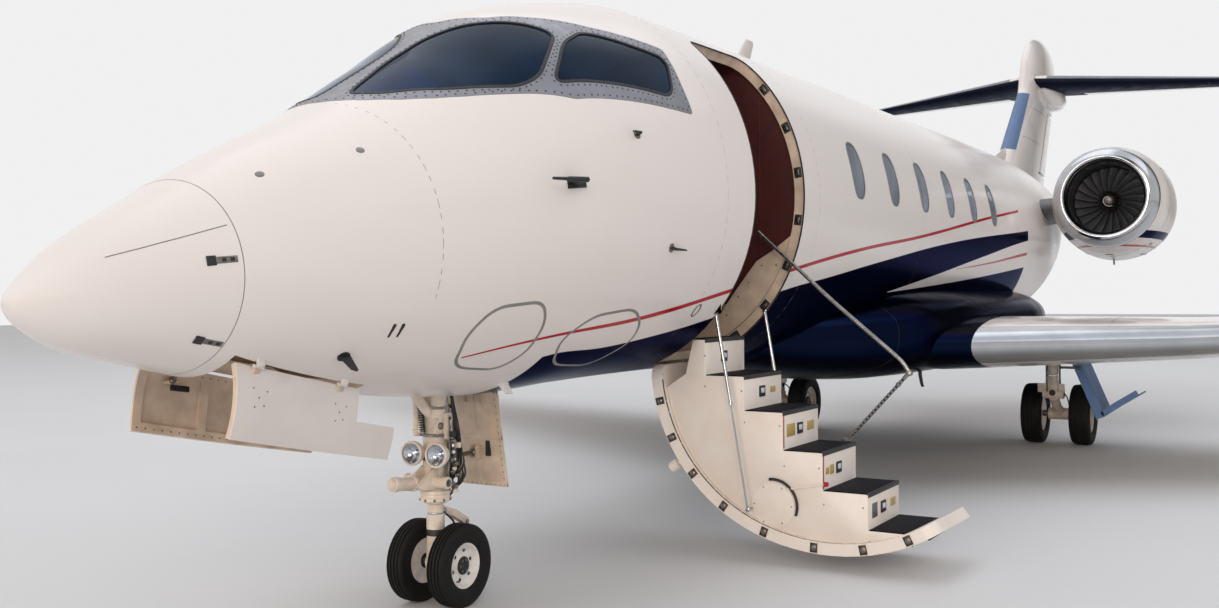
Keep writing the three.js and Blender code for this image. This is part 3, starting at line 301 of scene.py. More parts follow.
class Form:
    """Surfaces gathered for one piece: points, faces, each face's finish, place for the livery."""

    def __init__(self):
        self.points, self.faces, self.finishes = [], [], []
        self.normals, self.places, self.own = {}, [], []

    def take(self, points, faces, finish, normals=None, own=None):
        first = len(self.points)
        points = [tuple(map(float, p)) for p in points]
        self.points += points
        self.places += points
        for k, face in enumerate(faces):
            self.faces.append([first + int(i) for i in face])
            self.finishes.append(finish if isinstance(finish, int) else int(finish[k]))
            self.own.append(normals is not None and (own is None or bool(own[k])))
        if normals is not None:
            for i, normal in enumerate(normals):
                if normal is not None:
                    self.normals[first + i] = tuple(map(float, normal))
        return self

    def moved(self, matrix):
        turn = matrix.to_3x3()
        self.points = [tuple(matrix @ Vector(p)) for p in self.points]
        self.normals = {i: tuple(turn @ Vector(n)) for i, n in self.normals.items()}

    def mirrored(self, first=0, first_face=0, keep_places=False):
        for i in range(first, len(self.points)):
            x, y, z = self.points[i]
            self.points[i] = (-x, y, z)
            if not keep_places:
                x, y, z = self.places[i]
                self.places[i] = (-x, y, z)
            if i in self.normals:
                x, y, z = self.normals[i]
                self.normals[i] = (-x, y, z)
        for k in range(first_face, len(self.faces)):
            self.faces[k] = self.faces[k][::-1]
        return self

    def both_sides(self):
        """Adds a mirrored copy of everything so far."""
        first, first_face = len(self.points), len(self.faces)
        self.points += list(self.points)
        self.places += list(self.places)
        self.normals.update({first + i: n for i, n in list(self.normals.items())})
        self.faces += [[first + i for i in f] for f in self.faces]
        self.finishes += list(self.finishes)
        self.own += list(self.own)
        return self.mirrored(first, first_face)

    def add(self, shape, finish=0, frame=None):
        """A shape of points and faces, set in a frame where one is given."""
        return self.take(*(shape if frame is None else placed(shape, frame)), finish)

    def turn(self, start, end, profile, sides, finish=0, closed=False):
        return self.take(*turned_on(start, end, profile, sides, closed), finish)

    def box(self, low, high, edge, finish=0):
        """A worked block between two corners of place across, station and height."""
        low, high = ((x, s - HALF, z) for x, s, z in (low, high))
        return self.take(*tapered_box(low, high, edge), finish)

    def build(self, name, finishes, body, slot, replaces=(), sharp=32, side=1):
        """The finished piece on its body, mirrored first for the starboard side."""
        if side < 0:
            self.mirrored()
        mesh = bpy.data.meshes.new(name)
        mesh.from_pydata(self.points, [], self.faces)
        for finish in finishes:
            mesh.materials.append(finish)
        mesh.polygons.foreach_set("material_index", self.finishes)
        place = mesh.attributes.new("paint_place", "FLOAT_VECTOR", "POINT")
        place.data.foreach_set("vector", np.array(self.places, np.float32).ravel())
        mesh.update()
        mesh.shade_smooth()
        mesh.set_sharp_from_angle(angle=math.radians(sharp))
        if self.normals:
            loops = np.zeros((len(mesh.loops), 3), np.float32)
            for polygon, own in zip(mesh.polygons, self.own):
                if own:
                    for k in polygon.loop_indices:
                        loops[k] = self.normals[mesh.loops[k].vertex_index]
            mesh.normals_split_custom_set(loops)
        piece = linked(name, mesh)
        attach(piece, body)
        if replaces:
            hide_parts(*replaces)
        return piece


def thick_skin(form, sheet, inset, depth, finishes=(0, 1, 2)):
    """A sheet of the skin with its own thickness: outside, rim and inside each take a finish."""
    flat, triangles = sheet
    outer = skin(flat[:, 0], flat[:, 1], inset)
    inner = skin(flat[:, 0], flat[:, 1], inset + depth)
    normals = skin_normal(flat[:, 0], flat[:, 1])
    outer, triangles, (inner, normals) = welded(outer, triangles, [inner, normals])
    count = len(outer)
    rims = [(b, a, a + count, b + count) for a, b in rim_edges(triangles)]
    faces = triangles.tolist() + rims + (triangles[:, ::-1] + count).tolist()
    kinds = [finishes[0]] * len(triangles) + [finishes[1]] * len(rims) + [finishes[2]] * len(
        triangles)
    own = [True] * len(triangles) + [False] * len(rims) + [True] * len(triangles)
    form.take(np.vstack([outer, inner]), faces, kinds, np.vstack([normals, -normals]), own)


def turns(count, shift=0.0):
    """Evenly spaced angles once round, in radians."""
    return [2 * math.pi * (k + shift) / count for k in range(count)]


def squarish(angle, power):
    """Cosine and sine of an angle, pushed toward a square by a power below one."""
    return [math.copysign(abs(v) ** power, v) for v in (math.cos(angle), math.sin(angle))]


def spoke_x(angle):
    """A spoke of length one round the x axis."""
    return Vector((0, math.cos(angle), math.sin(angle)))


def spoke_y(angle):
    return Vector((math.cos(angle), 0, math.sin(angle)))


def spread(start, end, pitch):
    return np.linspace(start, end, max(2, int(round(abs(end - start) / pitch)) + 1))


def band_outline(start, end, pitch):
    """The whole skin between two stations, opened along the starboard side."""
    stations, angles = spread(start, end, pitch), spread(-180, 180, 3.0)
    low = [(s, -180.0) for s in stations]
    far = [(end, a) for a in angles[1:-1]]
    high = [(s, 180.0) for s in stations[::-1]]
    near = [(start, a) for a in angles[1:-1][::-1]]
    return low + far + high + near, stations[1:-1], angles[1:-1]


def loft(rings, closed=True, capped=True):
    """Rings of equal length joined in order; its ends are filled about their middles."""
    rings = np.asarray(rings, float)
    count, size = rings.shape[:2]
    points = rings.reshape(-1, 3).tolist()
    faces = []
    last = size if closed else size - 1
    for i in range(count - 1):
        for j in range(last):
            a, b = i * size + j, i * size + (j + 1) % size
            faces.append([a, b, b + size, a + size])
    if capped:
        for ring, turn in ((0, True), (count - 1, False)):
            middle = len(points)
            points.append(rings[ring].mean(0).tolist())
            for j in range(size):
                a, b = ring * size + j, ring * size + (j + 1) % size
                faces.append([b, a, middle] if turn else [a, b, middle])
    points = np.array(points)
    volume = 0.0
    for f in faces:
        for k in range(1, len(f) - 1):
            volume += np.dot(points[f[0]], np.cross(points[f[k]], points[f[k + 1]]))
    if volume < 0:
        faces = [f[::-1] for f in faces]
    return points, faces


def turned_on(axis_from, axis_to, profile, sides, closed=False):
    """A profile of distance along an axis and radius, turned about the axis."""
    start, end = Vector(axis_from), Vector(axis_to)
    along = (end - start).normalized()
    across = along.orthogonal().normalized()
    up = along.cross(across)
    spokes = [across * math.cos(a) + up * math.sin(a) for a in turns(sides)]
    rings = [[start + along * distance + spoke * max(radius, 1e-5) for spoke in spokes]
        for distance, radius in profile]
    return loft(rings + rings[:1] if closed else rings, capped=not closed)


def stud(sunk, profile, sides):
    """A form turned about z that starts at a depth below the surface it stands on."""
    return turned_on((0, 0, -sunk), (0, 0, 1), profile, sides)


def tube(path, radius, sides, spans=1):
    """A round tube along a path; corners are eased where spans are given."""
    points = [Vector(p) for p in path]
    if spans > 1:
        points = eased(points, spans)
    radii = radius if isinstance(radius, (list, tuple)) else [radius] * len(points)
    rings = []
    across = None
    for i, p in enumerate(points):
        ahead = points[min(i + 1, len(points) - 1)] - points[max(i - 1, 0)]
        ahead.normalize()
        across = ahead.orthogonal() if across is None else across - ahead * across.dot(ahead)
        across.normalize()
        up = ahead.cross(across)
        r = radii[min(i, len(radii) - 1)]
        rings.append([p + (across * math.cos(a) + up * math.sin(a)) * r for a in turns(sides)])
    return loft(rings)


def eased(points, spans):
    """A path with each inner corner turned into a smooth bend."""
    made = [points[0]]
    for i in range(1, len(points) - 1):
        before, after = points[i - 1] - points[i], points[i + 1] - points[i]
        reach = 0.45 * min(before.length, after.length, 0.3)
        start = points[i] + before.normalized() * reach
        end = points[i] + after.normalized() * reach
        for k in range(spans + 1):
            t = k / spans
            made.append(start * (1 - t) ** 2 + points[i] * (2 * t * (1 - t)) + end * t ** 2)
    return made + [points[-1]]


def tapered_box(low, high, edge):
    """A block between two corners with its edges and corners worked round."""
    mesh = bmesh.new()
    bmesh.ops.create_cube(mesh, size=1.0)
    size = [b - a for a, b in zip(low, high)]
    middle = [(a + b) / 2 for a, b in zip(low, high)]
    for v in mesh.verts:
        v.co = Vector([m + c * s for m, c, s in zip(middle, v.co, size)])
    edge = min(edge, 0.45 * min(size))
    bmesh.ops.bevel(mesh, geom=mesh.edges[:], offset=edge, segments=2, profile=0.5, affect="EDGES")
    return taken_from(mesh)


def taken_from(mesh):
    bmesh.ops.recalc_face_normals(mesh, faces=mesh.faces[:])
    mesh.verts.index_update()
    points = [tuple(v.co) for v in mesh.verts]
    faces = [[v.index for v in f.verts] for f in mesh.faces]
    mesh.free()
    return points, faces


def plate(outline, axis, start, end, edge):
    """A flat outline pushed along x, the stations or z, with softened edges."""
    order = {"x": lambda a, b, c: (c, a - HALF, b), "station": lambda a, b, c: (a, c - HALF, b),
        "z": lambda a, b, c: (a, b - HALF, c)}[axis]
    mesh = bmesh.new()
    lower = [mesh.verts.new(order(a, b, start)) for a, b in outline]
    upper = [mesh.verts.new(order(a, b, end)) for a, b in outline]
    mesh.faces.new(lower)
    mesh.faces.new(upper[::-1])
    for i in range(len(outline)):
        j = (i + 1) % len(outline)
        mesh.faces.new([lower[j], lower[i], upper[i], upper[j]])
    bmesh.ops.recalc_face_normals(mesh, faces=mesh.faces[:])
    if edge:
        bmesh.ops.bevel(mesh, geom=mesh.edges[:], offset=edge, segments=2, profile=0.5,
            affect="EDGES", clamp_overlap=True)
    return taken_from(mesh)


def bead(outline, width, proud, closed=True, sunk=0.004, inset=0.0):
    """A strip that lies on the skin along an outline of station and angle."""
    outline = np.array(outline)
    base = skin(outline[:, 0], outline[:, 1], inset)
    normal = skin_normal(outline[:, 0], outline[:, 1])
    if closed:
        ahead = np.roll(base, -1, 0) - np.roll(base, 1, 0)
    else:
        ahead = np.gradient(base, axis=0)
    side = np.cross(normal, ahead)
    side /= np.maximum(np.linalg.norm(side, axis=1, keepdims=True), 1e-9)
    shape = ((-0.5, -sunk), (-0.5, proud * 0.5), (-0.36, proud), (0.36, proud), (0.5, proud * 0.5),
        (0.5, -sunk))
    rings = np.stack([base + side * (width * a) + normal * b for a, b in shape], 1)
    if closed:
        rings = np.concatenate([rings, rings[:1]])
    return loft(rings, capped=not closed)


def buttons(places, radius, proud, sides=8):
    """Low round heads at places given as point and normal."""
    points, faces = [], []
    for place, normal in places:
        up = Vector(normal).normalized()
        across = up.orthogonal().normalized()
        along = up.cross(across)
        first = len(points)
        for share, rise in ((1.0, -0.3), (0.92, 0.55), (0.5, 0.95)):
            for a in turns(sides):
                spoke = across * math.cos(a) + along * math.sin(a)
                points.append(Vector(place) + spoke * radius * share + up * proud * rise)
        top = len(points)
        points.append(Vector(place) + up * proud)
        base = len(points)
        points.append(Vector(place) - up * proud * 0.3)
        for ring in range(2):
            for k in range(sides):
                a, b = first + ring * sides + k, first + ring * sides + (k + 1) % sides
                faces.append([a, b, b + sides, a + sides])
        for k in range(sides):
            a, b = first + k, first + (k + 1) % sides
            faces.append([a + 2 * sides, b + 2 * sides, top])
            faces.append([b, a, base])
    return points, faces


def heads_along(outline, pitch, inset):
    """Places for rivet or screw heads along an outline on the skin."""
    dense = np.array(filled_in(outline, 0.01))
    base = skin(dense[:, 0], dense[:, 1], inset)
    normal = skin_normal(dense[:, 0], dense[:, 1])
    step = np.linalg.norm(np.diff(np.vstack([base, base[:1]]), axis=0), axis=1)
    run = np.concatenate([[0], np.cumsum(step)])
    count = max(1, int(run[-1] / pitch))
    picks = [int(np.searchsorted(run, run[-1] * k / count)) % len(base) for k in range(count)]
    return [(base[i], normal[i]) for i in picks]


# Finishes.
def linear(colour):
    """A #rrggbb screen colour as linear values."""
    made = []
    for i in (1, 3, 5):
        v = int(colour[i:i + 2], 16) / 255
        made.append(v / 12.92 if v <= 0.04045 else ((v + 0.055) / 1.055) ** 2.4)
    return (*made, 1.0)


def wire(tree, kind, inputs=None, **settings):
    """Adds a shader node with its settings; a socket given as an input is linked."""
    made = tree.nodes.new("ShaderNode" + kind)
    for key, value in settings.items():
        setattr(made, key, value)
    for key, value in (inputs or {}).items():
        if isinstance(value, bpy.types.NodeSocket):
            tree.links.new(value, made.inputs[key])
        else:
            made.inputs[key].default_value = value
    return made


def blank(name, colour, roughness, metallic=0.0, **sockets):
    """A material with its plain shader set; returns it with its tree and its shader node."""
    finish = bpy.data.materials.new(name)
    finish.use_nodes = True
    tree = finish.node_tree
    shader = tree.nodes["Principled BSDF"]
    shader.inputs["Base Color"].default_value = linear(colour)
    shader.inputs["Roughness"].default_value = roughness
    shader.inputs["Metallic"].default_value = metallic
    for key, value in sockets.items():
        shader.inputs[key.replace("_", " ")].default_value = value
    return finish, tree, shader


def maths(tree, operation, *values):
    return wire(tree, "Math", dict(enumerate(values)), operation=operation).outputs["Value"]


def remap(tree, value, from_low, from_high, low, high):
    """A value carried from one range to another."""
    inputs = {"Value": value, "From Min": from_low, "From Max": from_high, "To Min": low,
        "To Max": high}
    return wire(tree, "MapRange", inputs).outputs["Result"]


def place_in(tree):
    return wire(tree, "TexCoord").outputs["Object"]


def speckle(tree, place, size, detail, stretch=None):
    """Cloudy noise whose patches are about a size across, in metres."""
    if stretch:
        place = wire(tree, "Mapping", {"Vector": place,
            "Scale": [1 / s for s in stretch]}).outputs["Vector"]
    return wire(tree, "TexNoise", {"Vector": place, "Scale": 1 / size,
        "Detail": detail}).outputs["Fac"]


def between(tree, share, low, high):
    return remap(tree, share, 0.3, 0.7, low, high)


def mixed(tree, share, first, second):
    """Two colours, or links to colours, blended by a share."""
    made = tree.nodes.new("ShaderNodeMix")
    made.data_type = "RGBA"
    for socket, value in ((made.inputs[0], share), (made.inputs[6], first),
            (made.inputs[7], second)):
        if isinstance(value, bpy.types.NodeSocket):
            tree.links.new(value, socket)
        else:
            socket.default_value = value
    return made.outputs[2]


def bumped(tree, shader, height, depth):
    made = wire(tree, "Bump", {"Height": height, "Distance": depth, "Strength": 1.0})
    tree.links.new(made.outputs["Normal"], shader.inputs["Normal"])


def drifting(tree, shader, share, first, second):
    """Base colour between two screen colours."""
    tree.links.new(mixed(tree, share, linear(first), linear(second)), shader.inputs["Base Color"])


def uneven(tree, shader, cloud, low, high):
    """Roughness that follows a cloud between two values."""
    tree.links.new(between(tree, cloud, low, high), shader.inputs["Roughness"])


def worked(name, colour, roughness, metallic, second, patch, swing, grain, depth, **sockets):
    """A real finish: colour that drifts between two tones, uneven gloss and a fine grain."""
    finish, tree, shader = blank(name, colour, roughness, metallic, **sockets)
    place = place_in(tree)
    cloud = speckle(tree, place, patch, 4.0)
    drifting(tree, shader, between(tree, cloud, 0.0, 1.0), colour, second)
    wear = speckle(tree, place, patch * 0.31, 5.0)
    uneven(tree, shader, wear, max(0.02, roughness - swing), roughness + swing)
    bumped(tree, shader, speckle(tree, place, grain, 2.0), depth)
    return finish


# Livery lines: share of the length and height; the place is the point with the door shut.
RED_LINE = ((1.9, 1.389), (2.47, 1.483), (3.26, 1.565), (4.2, 1.719), (5.1, 1.872), (6.29, 2.039),
    (7.8, 2.199), (10.16, 2.483), (11.43, 2.62), (12.0, 2.68))
NAVY_EDGE = ((2.3, 1.2), (2.61, 1.382), (3.1, 1.4), (3.63, 1.456), (4.08, 1.525), (5.1, 1.727),
    (5.85, 1.825), (6.86, 1.958), (8.81, 2.181), (12.25, 2.448), (14.5, 2.62), (17.0, 2.95),
    (19.9, 3.25))
WEDGE_TOP = ((7.4, 1.712), (8.467, 1.853), (10.07, 2.069), (12.24, 2.327), (14.5, 2.5),
    (17.0, 2.82), (19.9, 3.14))
WEDGE_LOW = ((7.4, 1.708), (8.615, 1.77), (10.35, 1.873), (12.37, 2.017), (14.5, 2.17),
    (17.0, 2.58), (19.9, 3.0))
SLIVER = ((9.2, 1.935), (10.56, 2.027), (12.2, 2.165), (14.5, 2.33), (17.0, 2.7), (19.9, 3.07))
RED_START, NAVY_START, WEDGE_START, SLIVER_START = 1.94, 2.56, 7.42, 9.25
RED_END, LIVERY_END = 11.9, 12.32
# What the ends of a drawn line's table stand for, in metres aft and metres up.
CHART_LENGTH, CHART_HEIGHT = 21.0, 4.0
# Cowl bands as heights over the engine's axis: navy from and to, red from and to.
COWL_NAVY, COWL_RED = (-0.51, -0.42), (-0.612, -0.59)
# Half the width over which a masked edge changes colour.
MASK_EDGE = 0.0015
WHITE, WARM_WHITE, NAVY, RED = "#E9E3DF", "#DCD3CC", "#14234C", "#B01523"
FLAKE_EDGE, FLAKE_SHARE = (0.27, 0.29, 0.36, 1.0), 0.9


def drawn_line(tree, station, line):
    """Height of a livery line at each station, from its table."""
    curve = tree.nodes.new("ShaderNodeFloatCurve")
    points = curve.mapping.curves[0].points
    shares = [(s / CHART_LENGTH, z / CHART_HEIGHT) for s, z in line]
    points[0].location, points[1].location = shares[0], shares[-1]
    for share in shares[1:-1]:
        points.new(*share)
    curve.mapping.update()
    tree.links.new(station, curve.inputs["Value"])
    return maths(tree, "MULTIPLY", curve.outputs["Value"], CHART_HEIGHT)


def step_over(tree, value, edge):
    """1 where a value is above an edge, 0 below, with a hair-wide change between."""
    gap = maths(tree, "SUBTRACT", value, edge)
    return remap(tree, gap, -MASK_EDGE, MASK_EDGE, 0.0, 1.0)


def both(tree, *shares):
    made = shares[0]
    for share in shares[1:]:
        made = maths(tree, "MULTIPLY", made, share)
    return made


def livery_paint():
    """Polyurethane topcoat sprayed on aluminium: deep gloss, faint orange peel, masked stripes."""
    finish, tree, shader = blank("polyurethane_topcoat_livery", WHITE, 0.2, Specular_IOR_Level=0.2,
        Specular_Tint=FLAKE_EDGE)
    place = wire(tree, "Attribute", attribute_name="paint_place").outputs["Vector"]
    parts = wire(tree, "SeparateXYZ", {"Vector": place}).outputs
    metres = maths(tree, "ADD", parts["Y"], HALF)
    share = maths(tree, "DIVIDE", metres, CHART_LENGTH)
    height = parts["Z"]
    lines = {key: drawn_line(tree, share, line) for key, line in (("navy", NAVY_EDGE),
        ("top", WEDGE_TOP), ("low", WEDGE_LOW), ("sliver", SLIVER), ("red", RED_LINE))}
    starts = (RED_START, NAVY_START, WEDGE_START, SLIVER_START)
    aft_of = {s: step_over(tree, metres, s) for s in starts}
    grime = speckle(tree, place, 0.7, 5.0, (1.0, 2.6, 0.6))
    # a cloud of grime turns the white toward the warmer, darker tone, and more so lower down: the
    # darkening towards the bottom is painted shade under the belly
    low = remap(tree, height, 1.2, 2.4, 0.75, 0.1)
    grime_and_painted_low_shade = both(tree, between(tree, grime, 0.0, 1.0), low)
    colour = mixed(tree, grime_and_painted_low_shade, linear(WHITE), linear(WARM_WHITE))
    below_navy = step_over(tree, lines["navy"], height)
    in_wedge = both(tree, step_over(tree, lines["top"], height),
        step_over(tree, height, lines["low"]), aft_of[WEDGE_START])
    outside = maths(tree, "SUBTRACT", 1.0, in_wedge)
    left = maths(tree, "SUBTRACT", LIVERY_END, metres)
    ahead = step_over(tree, left, 0.0)
    navy = both(tree, below_navy, outside, aft_of[NAVY_START], ahead)
    colour = mixed(tree, navy, colour, linear(NAVY))
    # the navy carries metal flake: dark at a glancing angle, where plain gloss would turn pale
    flake = maths(tree, "MULTIPLY", navy, FLAKE_SHARE)
    tree.links.new(flake, shader.inputs["Metallic"])
    width = remap(tree, metres, 1.9, 3.4, 0.004, 0.014)
    off = maths(tree, "ABSOLUTE", maths(tree, "SUBTRACT", height, lines["red"]))
    end = maths(tree, "SUBTRACT", RED_END, metres)
    red = both(tree, step_over(tree, width, off), aft_of[RED_START], step_over(tree, end, 0.0))
    run = remap(tree, metres, 9.2, 12.5, 0.002, 0.02)
    off = maths(tree, "ABSOLUTE", maths(tree, "SUBTRACT", height, lines["sliver"]))
    red_low = both(tree, step_over(tree, run, off), aft_of[SLIVER_START], ahead)
    either = maths(tree, "MAXIMUM", red, red_low)
    tree.links.new(mixed(tree, either, colour, linear(RED)), shader.inputs["Base Color"])
    uneven(tree, shader, grime, 0.12, 0.26)
    # orange peel is about 2 mm across; drawn at 30 mm so that it shows
    bumped(tree, shader, speckle(tree, place, 0.03, 2.0), 0.00012)
    return finish


def nacelle_paint():
    """Topcoat on moulded carbon skin: white, a navy band and a red line, bands masked level."""
    finish, tree, shader = blank("polyurethane_topcoat_on_carbon_cowl", WHITE, 0.17,
        Specular_IOR_Level=0.2, Specular_Tint=FLAKE_EDGE)
    place = wire(tree, "Attribute", attribute_name="paint_place").outputs["Vector"]
    parts = wire(tree, "SeparateXYZ", {"Vector": place}).outputs
    height = parts["Z"]
    taper = maths(tree, "MULTIPLY", parts["Y"], 0.03)
    level = maths(tree, "SUBTRACT", height, taper)
    grime = speckle(tree, place, 0.5, 5.0)
    colour = mixed(tree, between(tree, grime, 0.0, 0.5), linear(WHITE), linear(WARM_WHITE))
    band = both(tree, step_over(tree, level, COWL_NAVY[0]), step_over(tree, COWL_NAVY[1], level))
    colour = mixed(tree, band, colour, linear(NAVY))
    flake = maths(tree, "MULTIPLY", band, FLAKE_SHARE)
    tree.links.new(flake, shader.inputs["Metallic"])
    line = both(tree, step_over(tree, level, COWL_RED[0]), step_over(tree, COWL_RED[1], level))
    tree.links.new(mixed(tree, line, colour, linear(RED)), shader.inputs["Base Color"])
    uneven(tree, shader, grime, 0.12, 0.24)
    bumped(tree, shader, speckle(tree, place, 0.03, 2.0), 0.0001)
    return finish


def ribbed_tread():
    """Black ribbed rubber matting glued to the steps: ribs 12 mm apart run along each tread."""
    finish, tree, shader = blank("ribbed_rubber_matting", "#0D0F15", 0.7, Specular_IOR_Level=0.15)
    place = place_in(tree)
    ribs = wire(tree, "TexWave", {"Vector": place, "Scale": 26.0, "Distortion": 0.0},
        wave_type="BANDS", bands_direction="X").outputs["Fac"]
    dust = speckle(tree, place, 0.05, 5.0)
    drifting(tree, shader, between(tree, dust, 0.0, 0.5), "#0D0F15", "#1B1D24")
    bumped(tree, shader, ribs, 0.002)
    return finish


def tyre_rubber():
    """Cured tyre rubber: near black, dusty on the shoulders, fine moulded grain."""
    finish, tree, shader = blank("cured_tyre_rubber", "#0D0D0E", 0.72, Specular_IOR_Level=0.3)
    place = place_in(tree)
    dust = speckle(tree, place, 0.09, 6.0)
    drifting(tree, shader, between(tree, dust, 0.0, 0.8), "#0B0B0C", "#1D1B1A")
    uneven(tree, shader, dust, 0.55, 0.85)
    bumped(tree, shader, speckle(tree, place, 0.006, 3.0), 0.0006)
    return finish


def seat_leather(name, colour, second):
    """Full-grain hide over foam: pebble grain about 3 mm across, drawn at 8 mm, soft sheen."""
    finish, tree, shader = blank(name, colour, 0.5, Sheen_Weight=0.15)
    place = place_in(tree)
    tone = speckle(tree, place, 0.12, 4.0)
    drifting(tree, shader, between(tree, tone, 0.0, 1.0), colour, second)
    uneven(tree, shader, tone, 0.42, 0.58)
    cells = wire(tree, "TexVoronoi", {"Vector": place, "Scale": 125.0}, feature="DISTANCE_TO_EDGE")
    bumped(tree, shader, cells.outputs["Distance"], 0.0012)
    return finish


def pane_glass(name, colour, weight, bend):
    """Laminated heated pane: smooth, tinted, a little darker where the film is thick."""
    finish, tree, shader = blank(name, colour, 0.0, Transmission_Weight=weight, IOR=bend)
    place = place_in(tree)
    tone = speckle(tree, place, 0.5, 2.0)
    second = "#" + "".join("%02X" % int(int(colour[i:i + 2], 16) * 0.75) for i in (1, 3, 5))
    drifting(tree, shader, between(tree, tone, 0.0, 1.0), colour, second)
    return finish


LIVERY = livery_paint()
COWL = nacelle_paint()
TREAD = ribbed_tread()
TYRE = tyre_rubber()
# Sprayed topcoats.
PLAIN_WHITE = worked("polyurethane_topcoat_white", WHITE, 0.18, 0, WARM_WHITE, 0.8, 0.06, 0.03,
    0.0001, Coat_Weight=0.5, Coat_Roughness=0.05)
NAVY_COAT = worked("polyurethane_topcoat_navy_flake", "#0E1830", 0.2, 0.9, "#0B1327", 0.9, 0.04,
    0.03, 0.0001, Specular_Tint=FLAKE_EDGE, Specular_IOR_Level=0.2)
GREY_COAT = worked("epoxy_primer_grey", "#6B6C70", 0.42, 0, "#5C5D61", 0.3, 0.08, 0.01, 0.0002)
BOOT_GREY = worked("neoprene_deicing_boot", "#5D779F", 0.45, 0, "#546D94", 0.5, 0.08, 0.01, 0.0002)
DOOR_BLUE = worked("polyurethane_topcoat_steel_blue", "#6C90C2", 0.2, 0, "#6084B5", 0.5, 0.06,
    0.02, 0.0002)
# Dark slate under the tailplane: painted shade, standing in for the shadow on its underside.
UNDERSIDE_PAINTED_SHADE = worked("slate_painted_shade_underside", "#30333D", 0.34, 0.95, "#282B33", 0.6,
    0.08, 0.02, 0.0002, Specular_Tint=FLAKE_EDGE)
# Gear and door structure: baked epoxy enamel over forged or machined alloy.
GEAR_WHITE = worked("baked_enamel_on_forging", "#EFE2D3", 0.34, 0, "#D2C0AD", 0.07, 0.1, 0.012,
    0.0006)
WHEEL_WHITE = worked("baked_enamel_on_wheel", "#EEEBE7", 0.34, 0, "#D8D2CB", 0.05, 0.1, 0.012,
    0.0005)
CREAM_COAT = worked("epoxy_enamel_cream", "#E6D0BA", 0.4, 0, "#C4AE99", 0.12, 0.1, 0.012, 0.0004)
STAIR_CREAM = worked("moulded_composite_gelcoat", "#F3EAE1", 0.36, 0, "#EBDFD3", 0.2, 0.08, 0.01,
    0.0003)
LINING = worked("moulded_trim_panel", "#CDBFA6", 0.55, 0, "#BFB095", 0.3, 0.05, 0.006, 0.0003)
CARPET = worked("tufted_wool_carpet", "#A39072", 0.95, 0, "#85745A", 0.04, 0.03, 0.008, 0.003,
    Sheen_Weight=0.3)
HIDE_RED = seat_leather("full_grain_leather_oxblood", "#551C17", "#421411")
HIDE_CREAM = seat_leather("full_grain_leather_cream", "#CFC0A4", "#BFAE90")
PANEL_BLACK = worked("powder_coated_panel_black", "#1C1D1F", 0.5, 0, "#242528", 0.1, 0.08, 0.004,
    0.0003)
DISPLAY = worked("display_glass", "#10161F", 0.08, 0, "#141C28", 0.3, 0.03, 0.05, 0.00005,
    Coat_Weight=0.5)
# Bare and plated metals.
BRIGHT_LIP = worked("spun_aluminium_polished", "#C9CBCE", 0.14, 1.0, "#B8BABD", 0.35, 0.06, 0.05,
    0.0002)
CHROME = worked("hard_chrome_plate", "#C4C6C8", 0.12, 1.0, "#B2B4B6", 0.08, 0.05, 0.02, 0.0001)
STEEL = worked("passivated_steel", "#8E8C88", 0.34, 1.0, "#74716C", 0.06, 0.12, 0.008, 0.0004)
SATIN_RAIL = worked("brushed_stainless_tube", "#A8A6A2", 0.3, 1.0, "#8F8C88", 0.1, 0.1, 0.004,
    0.0002)
SURROUND_METAL = worked("chromated_aluminium_grey", "#8F8F95", 0.4, 0.6, "#828288", 0.2, 0.1, 0.01,
    0.0003)
TITANIUM = worked("forged_titanium_blade", "#8C8E93", 0.38, 0.7, "#77797E", 0.12, 0.08, 0.01,
    0.0002)
DARK_METAL = worked("heat_stained_nickel_alloy", "#4A443F", 0.42, 1.0, "#5B4E44", 0.2, 0.1, 0.01,
    0.0005)
DUCT_GREY = worked("moulded_acoustic_liner", "#3A3B3E", 0.5, 0.2, "#2F3033", 0.15, 0.08, 0.006,
    0.0008)
SEAL = worked("extruded_silicone_seal", "#16171A", 0.55, 0, "#202124", 0.1, 0.08, 0.006, 0.0004)
SEAL_GREY = worked("polysulphide_sealant", "#8A8985", 0.6, 0, "#7B7A76", 0.1, 0.08, 0.01, 0.0004)
HOSE = worked("braided_hose_black", "#1E1F21", 0.5, 0, "#2B2C2E", 0.02, 0.1, 0.003, 0.0006)
LAMP = worked("vapour_silvered_reflector", "#DDE3EA", 0.07, 0.95, "#B4BCC6", 0.012, 0.04, 0.012,
    0.0016, Coat_Weight=1.0)
KNOB_RED = worked("moulded_handle_red", RED, 0.4, 0, "#9A121E", 0.02, 0.08, 0.004, 0.0002)
PLACARD = worked("anodised_placard_ochre", "#C6A860", 0.45, 0, "#B89A55", 0.03, 0.08, 0.004,
    0.0002)
LENS = worked("pressed_glass_lens", "#DDE4EA", 0.06, 0, "#C9D3DC", 0.05, 0.03, 0.012, 0.001,
    Coat_Weight=1.0)
SCREEN_GLASS = pane_glass("laminated_windscreen", "#3F6A98", 0.88, 1.13)
# The cabin panes' pale blue-white base is a painted reflection of the sky.
CABIN_GLASS_PAINTED_SKY = pane_glass("stretched_acrylic_pane_painted_sky", "#D0DBE9", 0.5, 1.3)

# Fuselage.
AIRFRAME = "airframe"
MOUTH = [(0.79, 0.325), (0.79, -0.325), (1.56, -0.325), (1.56, -0.178), (2.75, -0.178),
    (2.75, 0.178), (1.56, 0.178), (1.56, 0.325)]


def surround_loop(distance=0.0):
    loop = list(SURROUND) + mirrored_outline(SURROUND[1:-1])[::-1]
    return drawn_in(filled_in(rounded(loop, 0.03, 3)), distance)


def pane_loops(distance=0.0):
    made = []
    for outline in (FRONT_PANE, SIDE_PANE):
        port = drawn_in(filled_in(rounded(outline, 0.09, 6), 0.05), distance)
        made += [port, mirrored_outline(port)]
    return made


